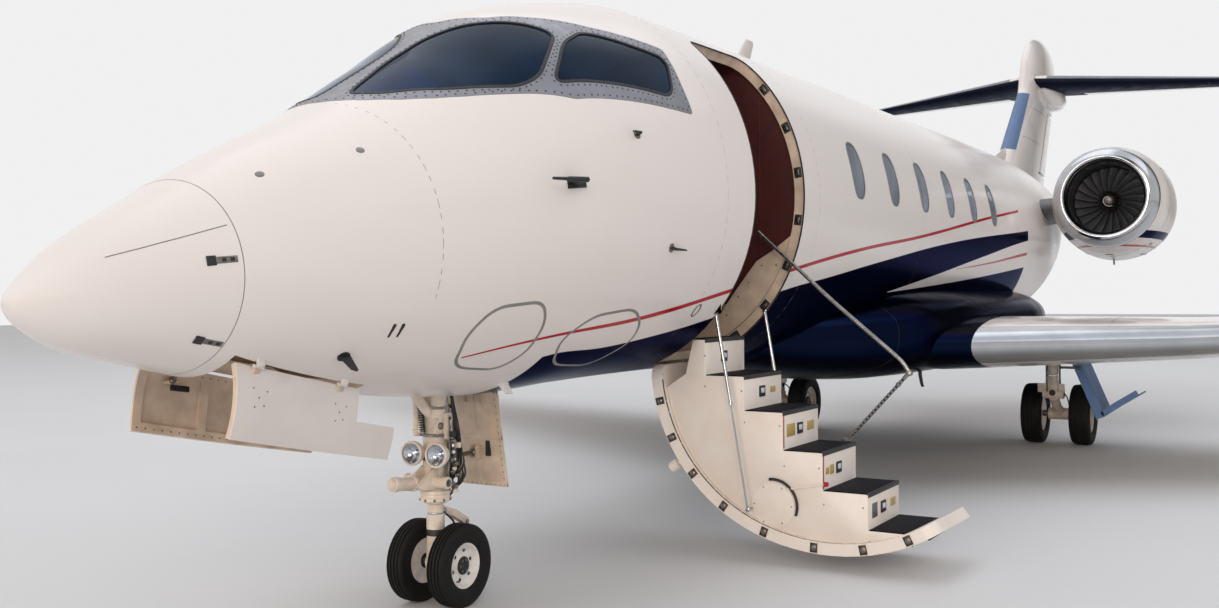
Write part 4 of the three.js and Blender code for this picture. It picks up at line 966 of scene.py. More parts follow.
def window_loop(station, side, distance=0.0):
    made = []
    for t in turns(36):
        u, v = squarish(t, WINDOW_POWER)
        angle = WINDOW_ANGLE + (WINDOW_HALF_ANGLE - distance / PER_DEGREE) * v
        reach = WINDOW_HALF_WIDTH - distance
        made.append((station + reach * u, angle if side > 0 else 180 - angle))
    return made


def zone_loop(zone, radius, distance=0.0):
    start, end, low, high = zone
    corners = [(start, low), (end, low), (end, high), (start, high)]
    return drawn_in(filled_in(rounded(corners, radius, 6), 0.08), distance)


def turned_skin(stations):
    """A closed stretch of skin with flat ends, shaded as the true curve."""
    angles = np.arange(-180, 180, 3.0)
    points, faces = loft([skin(np.full(len(angles), s), angles) for s in stations])
    normals = [skin_normal(np.full(len(angles), max(s, 0.008)), angles) for s in stations]
    ends = [[0.0, -1.0, 0.0], [0.0, 1.0, 0.0]]
    own = [True] * len(faces)
    for k in range(len(angles)):
        own[len(faces) - 1 - k] = False
    return Form().take(points, faces, 0, np.vstack([*normals, ends]), own)


def fuselage_shells():
    radome = turned_skin(0.002 + (RADOME_SEAM - 0.002) * np.linspace(0, 1, 36) ** 1.7)
    radome.build("radome_skin", [LIVERY], AIRFRAME, "composite_white", ["nose_radome"])
    outer, stations, angles = band_outline(RADOME_SEAM + 0.003, COCKPIT_END, 0.08)
    mouth = [(s, angle_at(s, x)) for s, x in filled_in(MOUTH, 0.05, 1.0)]
    cockpit = Form()
    sheet = cut_sheet(outer, [surround_loop(), mouth], stations, angles)
    thick_skin(cockpit, sheet, 0.0, WALL)
    cockpit.build("cockpit_skin", [LIVERY, CREAM_COAT, LINING], AIRFRAME, "paint_white",
        ["cockpit_shell"])
    outer, stations, angles = band_outline(COCKPIT_END + 0.0003, CABIN_END, 0.09)
    holes = [zone_loop(DOORWAY, 0.11)]
    holes += [window_loop(s, side) for s in WINDOWS for side in (1, -1)]
    cabin = Form()
    thick_skin(cabin, cut_sheet(outer, holes, stations, angles), 0.0, WALL)
    cabin.build("cabin_skin", [LIVERY, CREAM_COAT, LINING], AIRFRAME, "paint_white",
        ["cabin_shell"])
    tail = turned_skin(np.linspace(CABIN_END + 0.0003, TAIL_END, 60))
    tail.build("tail_skin", [LIVERY], AIRFRAME, "paint_white", ["tail_cone"])


def pane_sheet(outline, stations, clear):
    """The sheet inside a pane's outline, with points every two degrees."""
    angles = [a for _, a in outline]
    return cut_sheet(outline, [], stations, spread(min(angles), max(angles), 2.0), clear=clear)


def windscreen():
    panes = pane_loops()
    frame_form = Form()
    stations, angles = spread(1.5, 3.7, 0.05), spread(20, 160, 2.0)
    sheet = cut_sheet(surround_loop(0.001), panes, stations, angles, clear=0.008)
    thick_skin(frame_form, sheet, -0.0015, 0.036, (0, 0, 1))
    rows = [(surround_loop(0.022), 0.05)] + [(drawn_in(p, -0.03), 0.042) for p in panes]
    for outline, pitch in rows:
        points, faces = buttons(heads_along(outline, pitch, -0.001), 0.0062, 0.0022)
        frame_form.take(points, faces, 3)
    for outline in panes:
        frame_form.add(bead(drawn_in(outline, -0.004), 0.02, 0.004), 2)
    frame_form.build("windscreen_surround", [SURROUND_METAL, LINING, SEAL, PANEL_BLACK], AIRFRAME,
        "bare_grey", ["windscreen_frame"])
    glass = Form()
    for outline in pane_loops(0.0015):
        thick_skin(glass, pane_sheet(outline, stations, 0.01), 0.004, 0.03, (0, 0, 0))
    glass.build("windscreen_panes", [SCREEN_GLASS], AIRFRAME, "glass_dark", ["windscreen_glazing"])


def cabin_windows():
    for name, side in SIDES:
        form = Form()
        trim = Form()
        for station in WINDOWS:
            loop = window_loop(station, side, 0.012)
            stations = spread(station - 0.14, station + 0.14, 0.03)
            sheet = pane_sheet(loop, stations, 0.006)
            for inset, depth in ((0.006, 0.012), (0.06, 0.004)):
                thick_skin(form, sheet, inset, depth, (0, 0, 0))
            trim.add(bead(window_loop(station, side, 0.006), 0.017, 0.0015, sunk=0.02))
            for depth in (0.03, 0.062):
                trim.add(bead(window_loop(station, side, 0.005), 0.02, 0.0, sunk=0.02,
                    inset=depth), 1)
        form.build("cabin_panes_" + name, [CABIN_GLASS_PAINTED_SKY], AIRFRAME, "glass_dark",
            ["cabin_windows_" + name])
        trim.build("cabin_pane_retainers_" + name, [SURROUND_METAL, LINING], AIRFRAME, "bare_grey")


def sealant_lines():
    """Seams, access panels, strips and marks on the nose skin."""
    form = Form()
    ring = [(RADOME_SEAM + 0.001, a) for a in np.arange(-180, 180, 4.0)]
    form.add(bead(ring, 0.004, 0.0006))
    arc = [(1.584, a) for a in np.arange(-20, 200, 5.0)]
    form.add(bead(arc, 0.003, 0.0004, closed=False))
    for outline in (PANEL_FORWARD, PANEL_AFT):
        loop = filled_in(rounded(outline, 0.13, 6), 0.03)
        for side in (loop, mirrored_outline(loop)):
            form.add(bead(side, 0.018, 0.0012))
    for station in (COCKPIT_END, 5.32, 7.9, 10.5, CABIN_END, 14.9, 17.2):
        ring = [(station, a) for a in np.arange(-180, 180, 4.0)]
        form.add(bead(ring, 0.0022, 0.0003))
    marks = ((0.265, 38.1), (0.32, 36.3), (0.379, 34.8), (0.514, 33.0), (0.69, 31.7))
    aft = np.linspace(0.265, 0.69, 24)
    strip = list(zip(aft, np.interp(aft, *zip(*marks))))
    for way in (strip, mirrored_outline(strip)):
        form.add(bead(way, 0.004, 0.0012, closed=False), 1)
    form.build("skin_sealant_lines", [SEAL_GREY, STEEL], AIRFRAME, "bare_grey")


PANEL_FORWARD = ((1.93, -52), (1.86, -36), (1.95, -26), (2.27, -26), (2.36, -34), (2.38, -47),
    (2.28, -55))
PANEL_AFT = ((2.72, -55), (2.58, -42), (2.74, -34), (3.12, -34), (3.3, -41), (3.37, -49),
    (3.2, -61))


def on_skin(station, angle, side=1):
    """A frame on the skin: its place, and axes aft, around and outward."""
    a = angle if side > 0 else 180 - angle
    place = Vector(skin(station, a))
    out = Vector(skin_normal(station, a)).normalized()
    aft = Vector((0, 1, 0)) - out * out.y
    aft.normalize()
    around = out.cross(aft)
    made = Matrix((aft, around, out)).transposed().to_4x4()
    made.translation = place
    return made


def placed(shape, matrix):
    points, faces = shape
    points = [matrix @ Vector(p) for p in points]
    if matrix.determinant() < 0:
        faces = [f[::-1] for f in faces]
    return points, faces


def raised(section, levels):
    """A flat section carried up through levels of scale, lean and height."""
    return loft([[(x * k + lean, y * k, z) for x, y in section] for k, lean, z in levels])


def air_probes():
    """Pressure probes, vanes, latches and the flush port on the nose and flight deck skin."""
    form = Form()
    for side in (1, -1):
        mast = on_skin(2.4, 9.0, side)
        form.add(plate_flat([(-0.06, -0.03), (0.07, -0.02), (0.07, 0.02), (-0.06, 0.03)], 0.004),
            1, mast)
        form.add(raised(((-0.055, 0), (0, 0.014), (0.045, 0), (0, -0.014)),
            ((1, 0, 0), (0.8, -0.02, 0.05), (0.62, -0.045, 0.085))), 1, mast)
        tip = mast @ Vector((-0.235, 0, 0.082))
        base = mast @ Vector((0.0, 0, 0.085))
        reach = (base - tip).length
        form.turn(tip, base, [(0, 0.0055), (0.004, 0.0075), (0.09, 0.0085), (0.11, 0.0125),
            (reach, 0.014), (reach + 0.01, 0.006)], 18, 1)
        for station, angle in ((2.949, 18.2), (3.251, -14.7)):
            spot = on_skin(station, angle, side)
            form.add(stud(0.002, [(0, 0.026), (0.004, 0.026), (0.006, 0.022)], 24), 0, spot)
            aft = 0.11 if angle < 0 else -0.075
            form.add(tube([(0, 0, 0), (0, 0, 0.028), (aft, 0.0, 0.036)], [0.011, 0.009, 0.0045],
                12), 1, spot)
        spot = on_skin(1.268, -46.2, side)
        form.add(stud(0.002, [(0, 0.03), (0.005, 0.03), (0.007, 0.02)], 24), 1, spot)
        form.add(raised(((-0.035, 0), (0.03, 0.012), (0.03, -0.012)),
            ((1, 0, 0), (0.6, 0.03, 0.075))), 1, spot)
        for station in (1.42, 1.465):
            spot = on_skin(station, -32.7, side)
            form.add(plate_flat([(-0.004, -0.036), (0.004, -0.036), (0.011, 0.03), (0.004, 0.038),
                (-0.006, 0.034)], 0.002), 1, spot)
        for station, angle in ((0.66, 11.5), (0.672, -41.8)):
            spot = on_skin(station, angle, side)
            form.add(tapered_box((-0.09, -0.02, -0.004), (-0.052, 0.02, 0.005), 0.002), 1, spot)
            form.add(tapered_box((-0.052, -0.014, -0.003), (0.034, 0.014, 0.003), 0.002), 0, spot)
            for x in (-0.03, 0.004):
                form.add(tapered_box((x, -0.008, 0), (x + 0.018, 0.008, 0.004), 0.001), 1, spot)
        for station, angle in ((0.927, 54.2), (1.366, 47.0)):
            form.add(stud(0.002, [(0, 0.02), (0.0035, 0.02), (0.005, 0.012)], 20), 0,
                on_skin(station, angle, side))
        ring = [(3.893 + 0.032 * math.cos(t), -38.2 + 2.3 * math.sin(t)) for t in turns(28)]
        ring = ring if side > 0 else mirrored_outline(ring)
        form.add(bead(ring, 0.012, 0.002))
    form.build("air_data_probes", [STEEL, PANEL_BLACK], AIRFRAME, "bare_grey")


def plate_flat(outline, high):
    """A thin plate from a flat outline, sunk 2 mm and rising to a height."""
    count = len(outline)
    points = [(x, y, z) for z in (-0.002, high) for x, y in outline]
    faces = [list(range(count))[::-1], list(range(count, 2 * count))]
    faces += [[i, (i + 1) % count, (i + 1) % count + count, i + count] for i in range(count)]
    return points, faces


# Airstair: made shut in the doorway, then swung down about its hinge at the sill.
def swung_open():
    x, z = DOOR_HINGE
    hinge = Matrix.Translation((x, 0, z))
    return hinge @ Matrix.Rotation(DOOR_SWING, 4, "Y") @ hinge.inverted()


def clipped(subject, window):
    """The part of a flat outline inside a convex one."""
    middle = np.mean(window, 0)
    made = [Vector(p) for p in subject]
    for p, q in zip(window, window[1:] + window[:1]):
        p, q = Vector(p), Vector(q)
        normal = Vector((-(q - p).y, (q - p).x))
        if normal.dot(Vector(middle) - p) < 0:
            normal.negate()
        kept = []
        for i, a in enumerate(made):
            b = made[(i + 1) % len(made)]
            da, db = normal.dot(a - p), normal.dot(b - p)
            if da >= 0:
                kept.append(a)
            if (da >= 0) != (db >= 0):
                kept.append(a + (b - a) * (da / (da - db)))
        made = kept
    slim = []
    for p in made:
        if not slim or (p - slim[-1]).length > 0.0001:
            slim.append(p)
    return [tuple(p) for p in slim]


def step_outline():
    """The stair's side: its treads and risers, closed by the door's inner face."""
    arc = [swung_open() @ Vector(skin(4.6, angle, WALL + 0.0004))
        for angle in np.arange(-180, 180, 5.0)]
    around = [*STEP_NOSES, (2.2, 0.0), (0.3, 0.0), (0.42, 1.06), (0.6, 1.18)]
    return clipped(around, [(p.x, p.z) for p in arc])


def airstair_door():
    form = Form()
    stations, angles = spread(*DOOR[:2], 0.06), spread(*DOOR[2:], 3.0)
    thick_skin(form, cut_sheet(zone_loop(DOOR, 0.1), [], stations, angles), 0.0, WALL)
    for station, out in ((DOOR[0], -1), (DOOR[1], 1)):
        for angle in (-58, -45, -31, -16, 0, 16, 31, 45):
            spot = Vector(skin(station, angle, 0.036))
            to = spot + Vector((0, out * 0.012, 0))
            form.turn(spot, to, [(-0.004, 0.018), (0.005, 0.018), (0.007, 0.013), (0.008, 0.009),
                (0.012, 0.008), (0.013, 0.003)], 20, 4)
            form.add(tapered_box((-0.03, -0.004, -0.024), (0.03, 0.0, 0.024), 0.002), 5,
                Matrix.Translation(spot) @ Matrix.Rotation(math.radians(-angle), 4, "Y"))
    # the outside grip on the door's skin
    grip = on_skin(4.35, -37.5)
    form.add(stud(0.003, [(0, 0.045), (0.006, 0.045), (0.01, 0.024), (0.05, 0.022), (0.055, 0.036),
        (0.118, 0.038), (0.126, 0.03)], 28), 1, grip)
    seal = zone_loop(DOOR, 0.1, 0.012)
    form.add(bead(seal, 0.016, 0.003, inset=WALL - 0.004), 3)
    form.turn(at(DOOR_HINGE[0], 4.262, DOOR_HINGE[1]), at(DOOR_HINGE[0], 4.994, DOOR_HINGE[1]),
        [(0, 0.007), (0.002, 0.0098), (0.73, 0.0098), (0.732, 0.007)], 20, 4)
    for station in (4.39, 4.69):
        form.box((DOOR_HINGE[0] - 0.003, station, DOOR_HINGE[1] - 0.001),
            (DOOR_HINGE[0] + 0.06, station + 0.17, DOOR_HINGE[1] + 0.03), 0.002, 4)
    form.moved(swung_open())
    form.build("airstair_door", [LIVERY, STAIR_CREAM, STAIR_CREAM, PANEL_BLACK, STEEL, DARK_METAL],
        "airstair", "paint_white", ["airstair_shell"])


# Bare placards, hatches and red edge strips on each riser: station, half width, half height,
# finish.
RISER_PLATES = ((), ((4.78, 0.045, 0.02, 7),), ((4.332, 0.008, 0.105, 6), (4.45, 0.07, 0.04, 7),
    (4.79, 0.06, 0.03, 7)), ((4.332, 0.008, 0.105, 6), (4.4, 0.03, 0.02, 7),
    (4.48, 0.035, 0.03, 7)), ((4.44, 0.05, 0.045, 5), (4.8, 0.05, 0.026, 7)))


def airstair_steps():
    form = Form()
    form.add(plate(step_outline(), "station", STEP_FROM, STEP_TO, 0.004))
    for k in range(0, len(STEP_NOSES) - 1, 2):
        (x0, z), (x1, _) = STEP_NOSES[k:k + 2]
        inner = x0 if k else x0 - 0.05
        form.box((inner + 0.004, STEP_FROM + 0.012, z - 0.002),
            (x1 - 0.012, STEP_TO - 0.012, z + 0.007), 0.003, 1)
        form.box((x1 - 0.014, STEP_FROM + 0.004, z - 0.02),
            (x1 + 0.004, STEP_TO - 0.004, z + 0.008), 0.004, 2)
    for k in range(1, len(STEP_NOSES) - 1, 2):
        (x, top), (_, foot) = STEP_NOSES[k:k + 2]
        middle = (top + foot) / 2
        form.box((x - 0.004, STEP_LAMP - 0.045, middle - 0.036),
            (x + 0.008, STEP_LAMP + 0.045, middle + 0.036), 0.004, 2)
        form.box((x, STEP_LAMP - 0.028, middle - 0.012), (x + 0.011, STEP_LAMP + 0.028,
            middle + 0.022), 0.003, 3)
        for centre, wide, tall, finish in RISER_PLATES[k // 2]:
            form.box((x - 0.004, centre - wide, middle - tall), (x + 0.002, centre + wide,
                middle + tall), 0.0015, finish)
    # the folding drive's disc and its guard on the forward side
    hub = at(1.215, STEP_FROM, 0.37)
    ahead = hub + Vector((0, -0.02, 0))
    form.turn(hub, ahead, [(-0.01, 0.145), (0.007, 0.145), (0.01, 0.137)], 48)
    bar, knob = at(1.3, STEP_FROM - 0.004, 0.474), at(1.552, STEP_FROM - 0.004, 0.524)
    rod(form, bar, knob, 0.009, 0, 14)
    rod(form, knob, knob + Vector((0.028, 0, 0.004)), 0.015, 6, 18)
    arc = [hub + spoke_y(a) * 0.162 + Vector((0, -0.006, 0))
        for a in np.radians(np.arange(-20, 106, 7))]
    form.add(tube(arc, 0.009, 10), 2)
    heads = [(hub + spoke_y(a) * 0.126 + Vector((0, -0.009, 0)), (0, -1, 0))
        for a in np.radians(np.arange(0, 360, 60))]
    rows = [(0.74, 1.3), (0.74, 1.1), (1.0, 1.08), (1.02, 0.88), (1.26, 0.87), (1.29, 0.62),
        (1.52, 0.62), (1.55, 0.4), (1.8, 0.4), (1.84, 0.2), (2.1, 0.2)]
    heads += [(at(x, STEP_FROM, z), (0, -1, 0)) for x, z in rows]
    form.add(buttons(heads, 0.006, 0.003, 10), 4)
    form.build("airstair_steps_finished", [STAIR_CREAM, TREAD, PANEL_BLACK, LENS, SATIN_RAIL,
        GREY_COAT, KNOB_RED, PLACARD], "airstair", "stair_cream", ["airstair_steps"], sharp=40)


# Handrail: station and tube radius, and its joints as place across and height.
RAIL_AT, RAIL_R = 4.95, 0.013
RAIL_FOOT, RAIL_BEND, RAIL_TOP = (1.472, 0.718), (1.89, 1.18), (0.83, 2.13)


def handrails():
    foot, bend, top = (at(x, RAIL_AT, z) for x, z in (RAIL_FOOT, RAIL_BEND, RAIL_TOP))
    lower = Form()
    reach = (bend - foot).length
    lower.turn(foot, bend, [(0, RAIL_R), (0.05, RAIL_R), (0.052, 0.0105), (reach - 0.05, 0.0105),
        (reach - 0.048, RAIL_R), (reach, RAIL_R)], 18, [1 if 18 * 2 <= k < 18 * 3 else 0
        for k in range(18 * 7)])
    ahead = (bend - foot).normalized()
    for d in np.arange(0.06, reach - 0.07, 0.03):
        ring = foot + ahead * d
        lower.turn(ring, bend, [(0, 0.0106), (0.003, RAIL_R), (0.014, RAIL_R), (0.017, 0.0106)],
            18)
    lower.turn(at(RAIL_FOOT[0], STEP_TO + 0.0003, RAIL_FOOT[1]),
        at(RAIL_FOOT[0], RAIL_AT + 0.013, RAIL_FOOT[1]), [(0, 0.03), (0.006, 0.03), (0.009, 0.02),
        (0.033, 0.02), (0.035, 0.012)], 24)
    knuckle = [(0, RAIL_R), (0.003, 0.0185), (0.023, 0.0185), (0.026, RAIL_R)]
    half = Vector((0, RAIL_R, 0))
    lower.turn(bend - half, bend + half, knuckle, 24)
    for share in (0.16, 0.84):
        p, q = foot.lerp(bend, share - 0.02), foot.lerp(bend, share + 0.02)
        lower.turn(p, q, [(0, 0.013), (0.002, 0.0165), (0.022, 0.0165), (0.024, 0.013)], 20)
    lower.build("handrail_lower_tube", [SATIN_RAIL, PANEL_BLACK], "rail_lower", "rail_steel",
        ["handrail_lower"])
    upper = Form()
    shift = Vector((0, 0.0263, 0))
    bend, top = bend + shift, top + shift
    way = top.lerp(bend, 0.94) + Vector((0.012, 0, 0.02))
    upper.add(tube([top, top.lerp(bend, 0.5), way, bend], RAIL_R, 18, spans=6))
    upper.turn(bend - half, bend + half, knuckle, 24)
    ahead = (bend - top).normalized()
    upper.turn(top - ahead * 0.012, top + ahead * 0.05, [(0, 0.008), (0.006, 0.0125),
        (0.012, 0.0145), (0.05, 0.0145), (0.06, 0.013)], 20)
    upper.build("handrail_upper_tube", [SATIN_RAIL], "rail_upper", "rail_steel",
        ["handrail_upper"])


# Door struts: name, station, and where the pins end at the jamb and at the stair.
STRUTS = (("fwd", 4.238, 4.2203, 4.3097), ("aft", 5.0175, 5.0347, 4.9303))


def strut_pin(form, end, way, to):
    """The eye at a strut's end and the pin that runs from it into the jamb or the stair."""
    reach = (to - end).length + 0.011
    form.turn(end + Vector((0, 0.011 * way, 0)), to, [(0, 0.008), (0.002, 0.014), (0.02, 0.014),
        (0.021, 0.008), (reach, 0.008)], 18)


def stair_struts():
    for name, station, jamb, stair in STRUTS:
        top, foot = at(0.855, station, 1.584), at(1.072, station, 0.338)
        down = (foot - top).normalized()
        out = 1 if name == "aft" else -1
        cover = Form()
        cover.turn(top, foot, [(0, 0.006), (0.004, 0.011), (0.575, 0.011), (0.58, 0.0125),
            (0.598, 0.0125), (0.6, 0.0075)], 20)
        strut_pin(cover, top, -out, at(0.855, jamb, 1.584))
        cover.build("strut_cylinder_" + name, [CHROME], "strut_tubes", "rail_steel",
            ["stair_strut_tube_" + name])
        inner = Form()
        start = top + down * 0.59
        reach = (foot - start).length
        inner.turn(start, foot, [(0, 0.0065), (reach - 0.03, 0.0065), (reach - 0.028, 0.009),
            (reach - 0.012, 0.009), (reach, 0.005)], 18)
        strut_pin(inner, foot, out, at(1.072, stair, 0.338))
        inner.build("strut_rod_" + name, [CHROME], "strut_rods", "rail_steel",
            ["stair_strut_rod_" + name])


def doorway_trim():
    """Latch keepers and the seal round the doorway."""
    form = Form()
    for station, out in ((DOORWAY[0], 1), (DOORWAY[1], -1)):
        for angle in (-56, -40, -24, -8, 8, 24, 40):
            spot = Vector(skin(station, angle, 0.04))
            turn = Matrix.Translation(spot) @ Matrix.Rotation(math.radians(-angle), 4, "Y")
            lo, hi = sorted((0.0, out * 0.006))
            form.add(tapered_box((-0.026, lo, -0.036), (0.026, hi, 0.036), 0.0025), 1, turn)
            lo, hi = sorted((0.0, out * 0.01))
            form.add(tapered_box((-0.012, lo, -0.02), (0.012, hi, 0.02), 0.002), 2, turn)
            heads = [(turn @ Vector((x, out * 0.006, z)), (0, out, 0)) for x in (-0.018, 0.018)
                for z in (-0.028, 0.028)]
            form.add(buttons(heads, 0.004, 0.0015, 8))
    form.add(bead(zone_loop(DOORWAY, 0.11, 0.006), 0.012, 0.002, sunk=0.006), 3)
    form.build("doorway_fittings", [STEEL, PANEL_BLACK, STEEL, SEAL], AIRFRAME, "bare_grey")


# Lifting surfaces. Tables: place across, or height for the fin; leading edge, height, chord,
# thickness share, lean.
WING = ((1.1, 7.34, 1.232, 4.72, 0.105, 0), (3.2, 8.6, 1.275, 3.2, 0.118, 0),
    (9.3, 12.26, 1.55, 1.18, 0.11, 0), (9.62, 12.48, 1.59, 1.06, 0.105, 20),
    (9.9, 12.76, 1.73, 0.9, 0.1, 48), (10.11, 13.08, 2.0, 0.74, 0.095, 64),
    (10.48, 13.88, 2.86, 0.42, 0.09, 66))
TAILPLANE = ((0.0, 17.83, 5.27, 2.15, 0.1, 0), (3.75, 20.19, 5.27, 0.7, 0.1, 0))
FIN = ((3.3, 15.55, 0, 3.57, 0.11, 0), (5.0, 17.5, 0, 2.61, 0.11, 0),
    (5.55, 17.72, 0, 2.64, 0.105, 0), (5.83, 17.96, 0, 2.33, 0.1, 0),
    (6.0, 18.3, 0, 1.75, 0.09, 0), (6.08, 18.7, 0, 1.0, 0.07, 0))
PYLON = ((0.5, 13.65, 2.78, 2.65, 0.125, 0), (1.8, 13.45, 2.86, 2.5, 0.125, 0))
# Control surfaces: start, end, share of chord at the hinge, swing in degrees.
AILERON = (6.7, 9.05, 0.76, 22)
ELEVATOR = (0.64, 3.56, 0.7, 22)
RUDDER = (3.76, 4.85, 0.7, 30)


class Foil:
    """A symmetrical lifting surface; q is the signed root of the chord share, upper positive."""

    def __init__(self, table, upright=False, smooth_from=1e9):
        self.upright = upright
        self.table = np.array(table, float)
        keys = self.table[:, 0]
        outer = keys >= smooth_from - 1e-9
        self.curves = None
        if outer.sum() > 1:
            self.start = keys[outer][0]
            self.curves = [smooth_line(keys[outer], self.table[outer, k]) for k in range(1, 6)]

    def row(self, value):
        value = np.asarray(value, float)
        made = []
        for k in range(1, 6):
            line = np.interp(value, self.table[:, 0], self.table[:, k])
            low, high = self.table[0], self.table[-1]
            before, after = self.table[1], self.table[-2]
            line = np.where(value < low[0], low[k] + (value - low[0]) * (before[k] - low[k]) / (
                before[0] - low[0]), line)
            line = np.where(value > high[0], high[k] + (value - high[0]) * (high[k] - after[k]) / (
                high[0] - after[0]), line)
            if self.curves:
                line = np.where(value > self.start, self.curves[k - 1](value), line)
            made.append(line)
        return made

    def depth(self, value, share):
        """Half the thickness at a place across and a share of the chord."""
        chord, thick = self.row(value)[2:4]
        rest = share * (-0.126 + share * (-0.3516 + share * (0.2843 - 0.1036 * share)))
        return 5 * thick * chord * (0.2969 * np.sqrt(share) + rest) + 0.003 * share

    def point(self, value, q):
        share = np.asarray(q, float) ** 2
        return self.off_plane(value, share, self.depth(value, share) * np.sign(q))

    def off_plane(self, value, share, off):
        """A point at a share of the chord, an offset above the middle surface."""
        le, z, chord, _, lean = self.row(value)
        y = le + chord * share - HALF
        if self.upright:
            return np.stack([off + 0 * y, y, np.asarray(value) + 0 * y], -1)
        lean = np.radians(lean)
        return np.stack([value - off * np.sin(lean), y, z + off * np.cos(lean) + 0 * y], -1)

    def normal(self, value, q):
        value, q = np.asarray(value, float), np.asarray(q, float)
        span = self.point(value + 0.002, q) - self.point(value - 0.002, q)
        around = self.point(value, q + 0.002) - self.point(value, q - 0.002)
        normal = np.cross(span, around)
        if self.upright:
            normal = -normal
        size = np.linalg.norm(normal, axis=-1, keepdims=True)
        return normal / np.maximum(size, 1e-12)


def foil_sheet(form, foil, outline, values, roots, finish_of):
    """The closed body of a surface inside an outline of place across and root of chord share."""
    flat, triangles = cut_sheet(outline, [], values, roots, scale=1.0)
    value, q = flat[:, 0], np.clip(flat[:, 1], 0, 1.02)
    tiny = q < 1e-6
    count = len(flat)
    upper, lower = foil.point(value, q), foil.point(value, -q)
    normals = np.vstack([foil.normal(value, np.maximum(q, 1e-9)), foil.normal(value, -q)])
    under = np.where(tiny, np.arange(count), np.arange(count) + count)
    faces, kinds, own = [], [], []
    middles = flat[triangles].mean(1)
    for (a, b, c), (v, r) in zip(triangles.tolist(), middles):
        faces.append([a, b, c])
        kinds.append(finish_of(v, r * r, 1))
        own.append(True)
        low = [int(under[c]), int(under[b]), int(under[a])]
        if len(set(low)) == 3:
            faces.append(low)
            kinds.append(finish_of(v, r * r, -1))
            own.append(True)
    for a, b in rim_edges(triangles):
        ring = [b, a, int(under[a]), int(under[b])]
        slim = [p for i, p in enumerate(ring) if p not in ring[:i]]
        if len(slim) > 2:
            faces.append(slim)
            kinds.append(finish_of((value[a] + value[b]) / 2, ((q[a] + q[b]) / 2) ** 2, 0))
            own.append(False)
    points = np.vstack([upper, lower])
    used = sorted({i for f in faces for i in f})
    back = {old: new for new, old in enumerate(used)}
    faces = [[back[i] for i in f] for f in faces]
    points, normals = points[used], normals[used]
    first = faces[0]
    facing = np.cross(points[first[1]] - points[first[0]], points[first[2]] - points[first[0]])
    if np.dot(facing, normals[first[0]]) < 0:
        faces = [f[::-1] for f in faces]
    form.take(points, faces, kinds, normals, own)


class Hinge:
    """A control surface's hinge line, and the slot that it needs in the fixed surface."""

    def __init__(self, foil, spec):
        self.foil, (self.start, self.end, self.share, self.swing) = foil, spec
        first, last = (foil.off_plane(v, self.share, 0.0) for v in (self.start, self.end))
        self.pin = first
        self.span = float(np.linalg.norm(last - first))
        self.axis = (last - first) / self.span
        self.square = math.hypot(self.axis[0], self.axis[2])
        self.radii = [float(foil.depth(v, self.share)) for v in (self.start, self.end)]
        reach = (1 - self.share) * float(foil.row(self.end)[2]) * self.square
        turn = math.radians(self.swing)
        self.flank = max(self.radii) * abs(self.axis[1]) * math.sin(turn)
        self.tail = (1 - math.cos(turn)) * reach * abs(self.axis[1])

    def front(self, value):
        """Share of chord where the slot starts."""
        le, _, chord = self.foil.row(value)[:3]
        key = 2 if self.foil.upright else 0
        along = (value - self.pin[key]) / self.axis[key]
        y = self.pin[1] + self.axis[1] * along - (max(self.radii) + 0.01) / self.square
        return (y + HALF - le) / chord

    def slot(self):
        """The slot's outline, from the trailing edge in, along and out again."""
        low = self.start - self.flank - 0.008
        high = self.end + max(self.flank, self.tail) + 0.008
        first = [(low, math.sqrt(s)) for s in np.linspace(1.0, float(self.front(low)), 9)]
        last = [(high, math.sqrt(s)) for s in np.linspace(float(self.front(high)), 1.0, 9)]
        along = [(v, math.sqrt(float(self.front(v)))) for v in np.linspace(low, high, 26)[1:-1]]
        return first + along + last

    def surface(self):
        """Points, faces and normals of the control surface."""
        foil = self.foil
        rings = []
        for t in (-0.12, 1.12):
            value = self.start + (self.end - self.start) * t
            chord, nose = float(foil.row(value)[2]), float(foil.depth(value, self.share))
            ring = []
            for i in range(17):
                a = math.pi / 2 + math.pi * i / 16
                share = self.share + nose * math.cos(a) / (self.square * chord)
                ring.append(foil.off_plane(value, share, nose * math.sin(a)))
            aft = self.share + (1 - self.share) * np.array([0.15, 0.3, 0.47, 0.65, 0.82, 1.0])
            ring += [foil.off_plane(value, s, -foil.depth(value, s)) for s in aft]
            ring += [foil.off_plane(value, s, foil.depth(value, s)) for s in aft[::-1]]
            rings.append(np.array(ring))
        low, high = rings
        shares = (np.linspace(0, 1, 26) + 0.12) / 1.24
        return loft([low + (high - low) * share for share in shares])


def control_surface(kind, hinge, where="", side=1):
    form = Form()
    form.add(hinge.surface())
    form.build(kind + "_skin" + where, [PLAIN_WHITE, STEEL, SEAL], kind + "_body" + where,
        "paint_white", [kind + where], sharp=28, side=side)


def foil_line(foil, path, side, width=0.006):
    """A dark seam along a path of place across and share of chord."""
    proud = 0.0006
    value = np.array([p[0] for p in path])
    q = np.sqrt(np.array([p[1] for p in path])) * side
    base, normal = foil.point(value, q), foil.normal(value, q)
    ahead = np.gradient(base, axis=0)
    across = np.cross(normal, ahead)
    across /= np.maximum(np.linalg.norm(across, axis=1, keepdims=True), 1e-9)
    shape = ((-0.5, -0.003), (-0.5, proud * 0.6), (-0.2, proud), (0.2, proud), (0.5, proud * 0.6),
        (0.5, -0.003))
    return loft(np.stack([base + across * (width * a) + normal * b for a, b in shape], 1))


def straight(first, last, count):
    return [tuple(np.array(first) + (np.array(last) - np.array(first)) * t)
        for t in np.linspace(0, 1, count)]


# Where the wing's navy root ends, and where its tip starts to bend up.
NAVY_ROOT, TIP_FROM = 1.62, 9.3
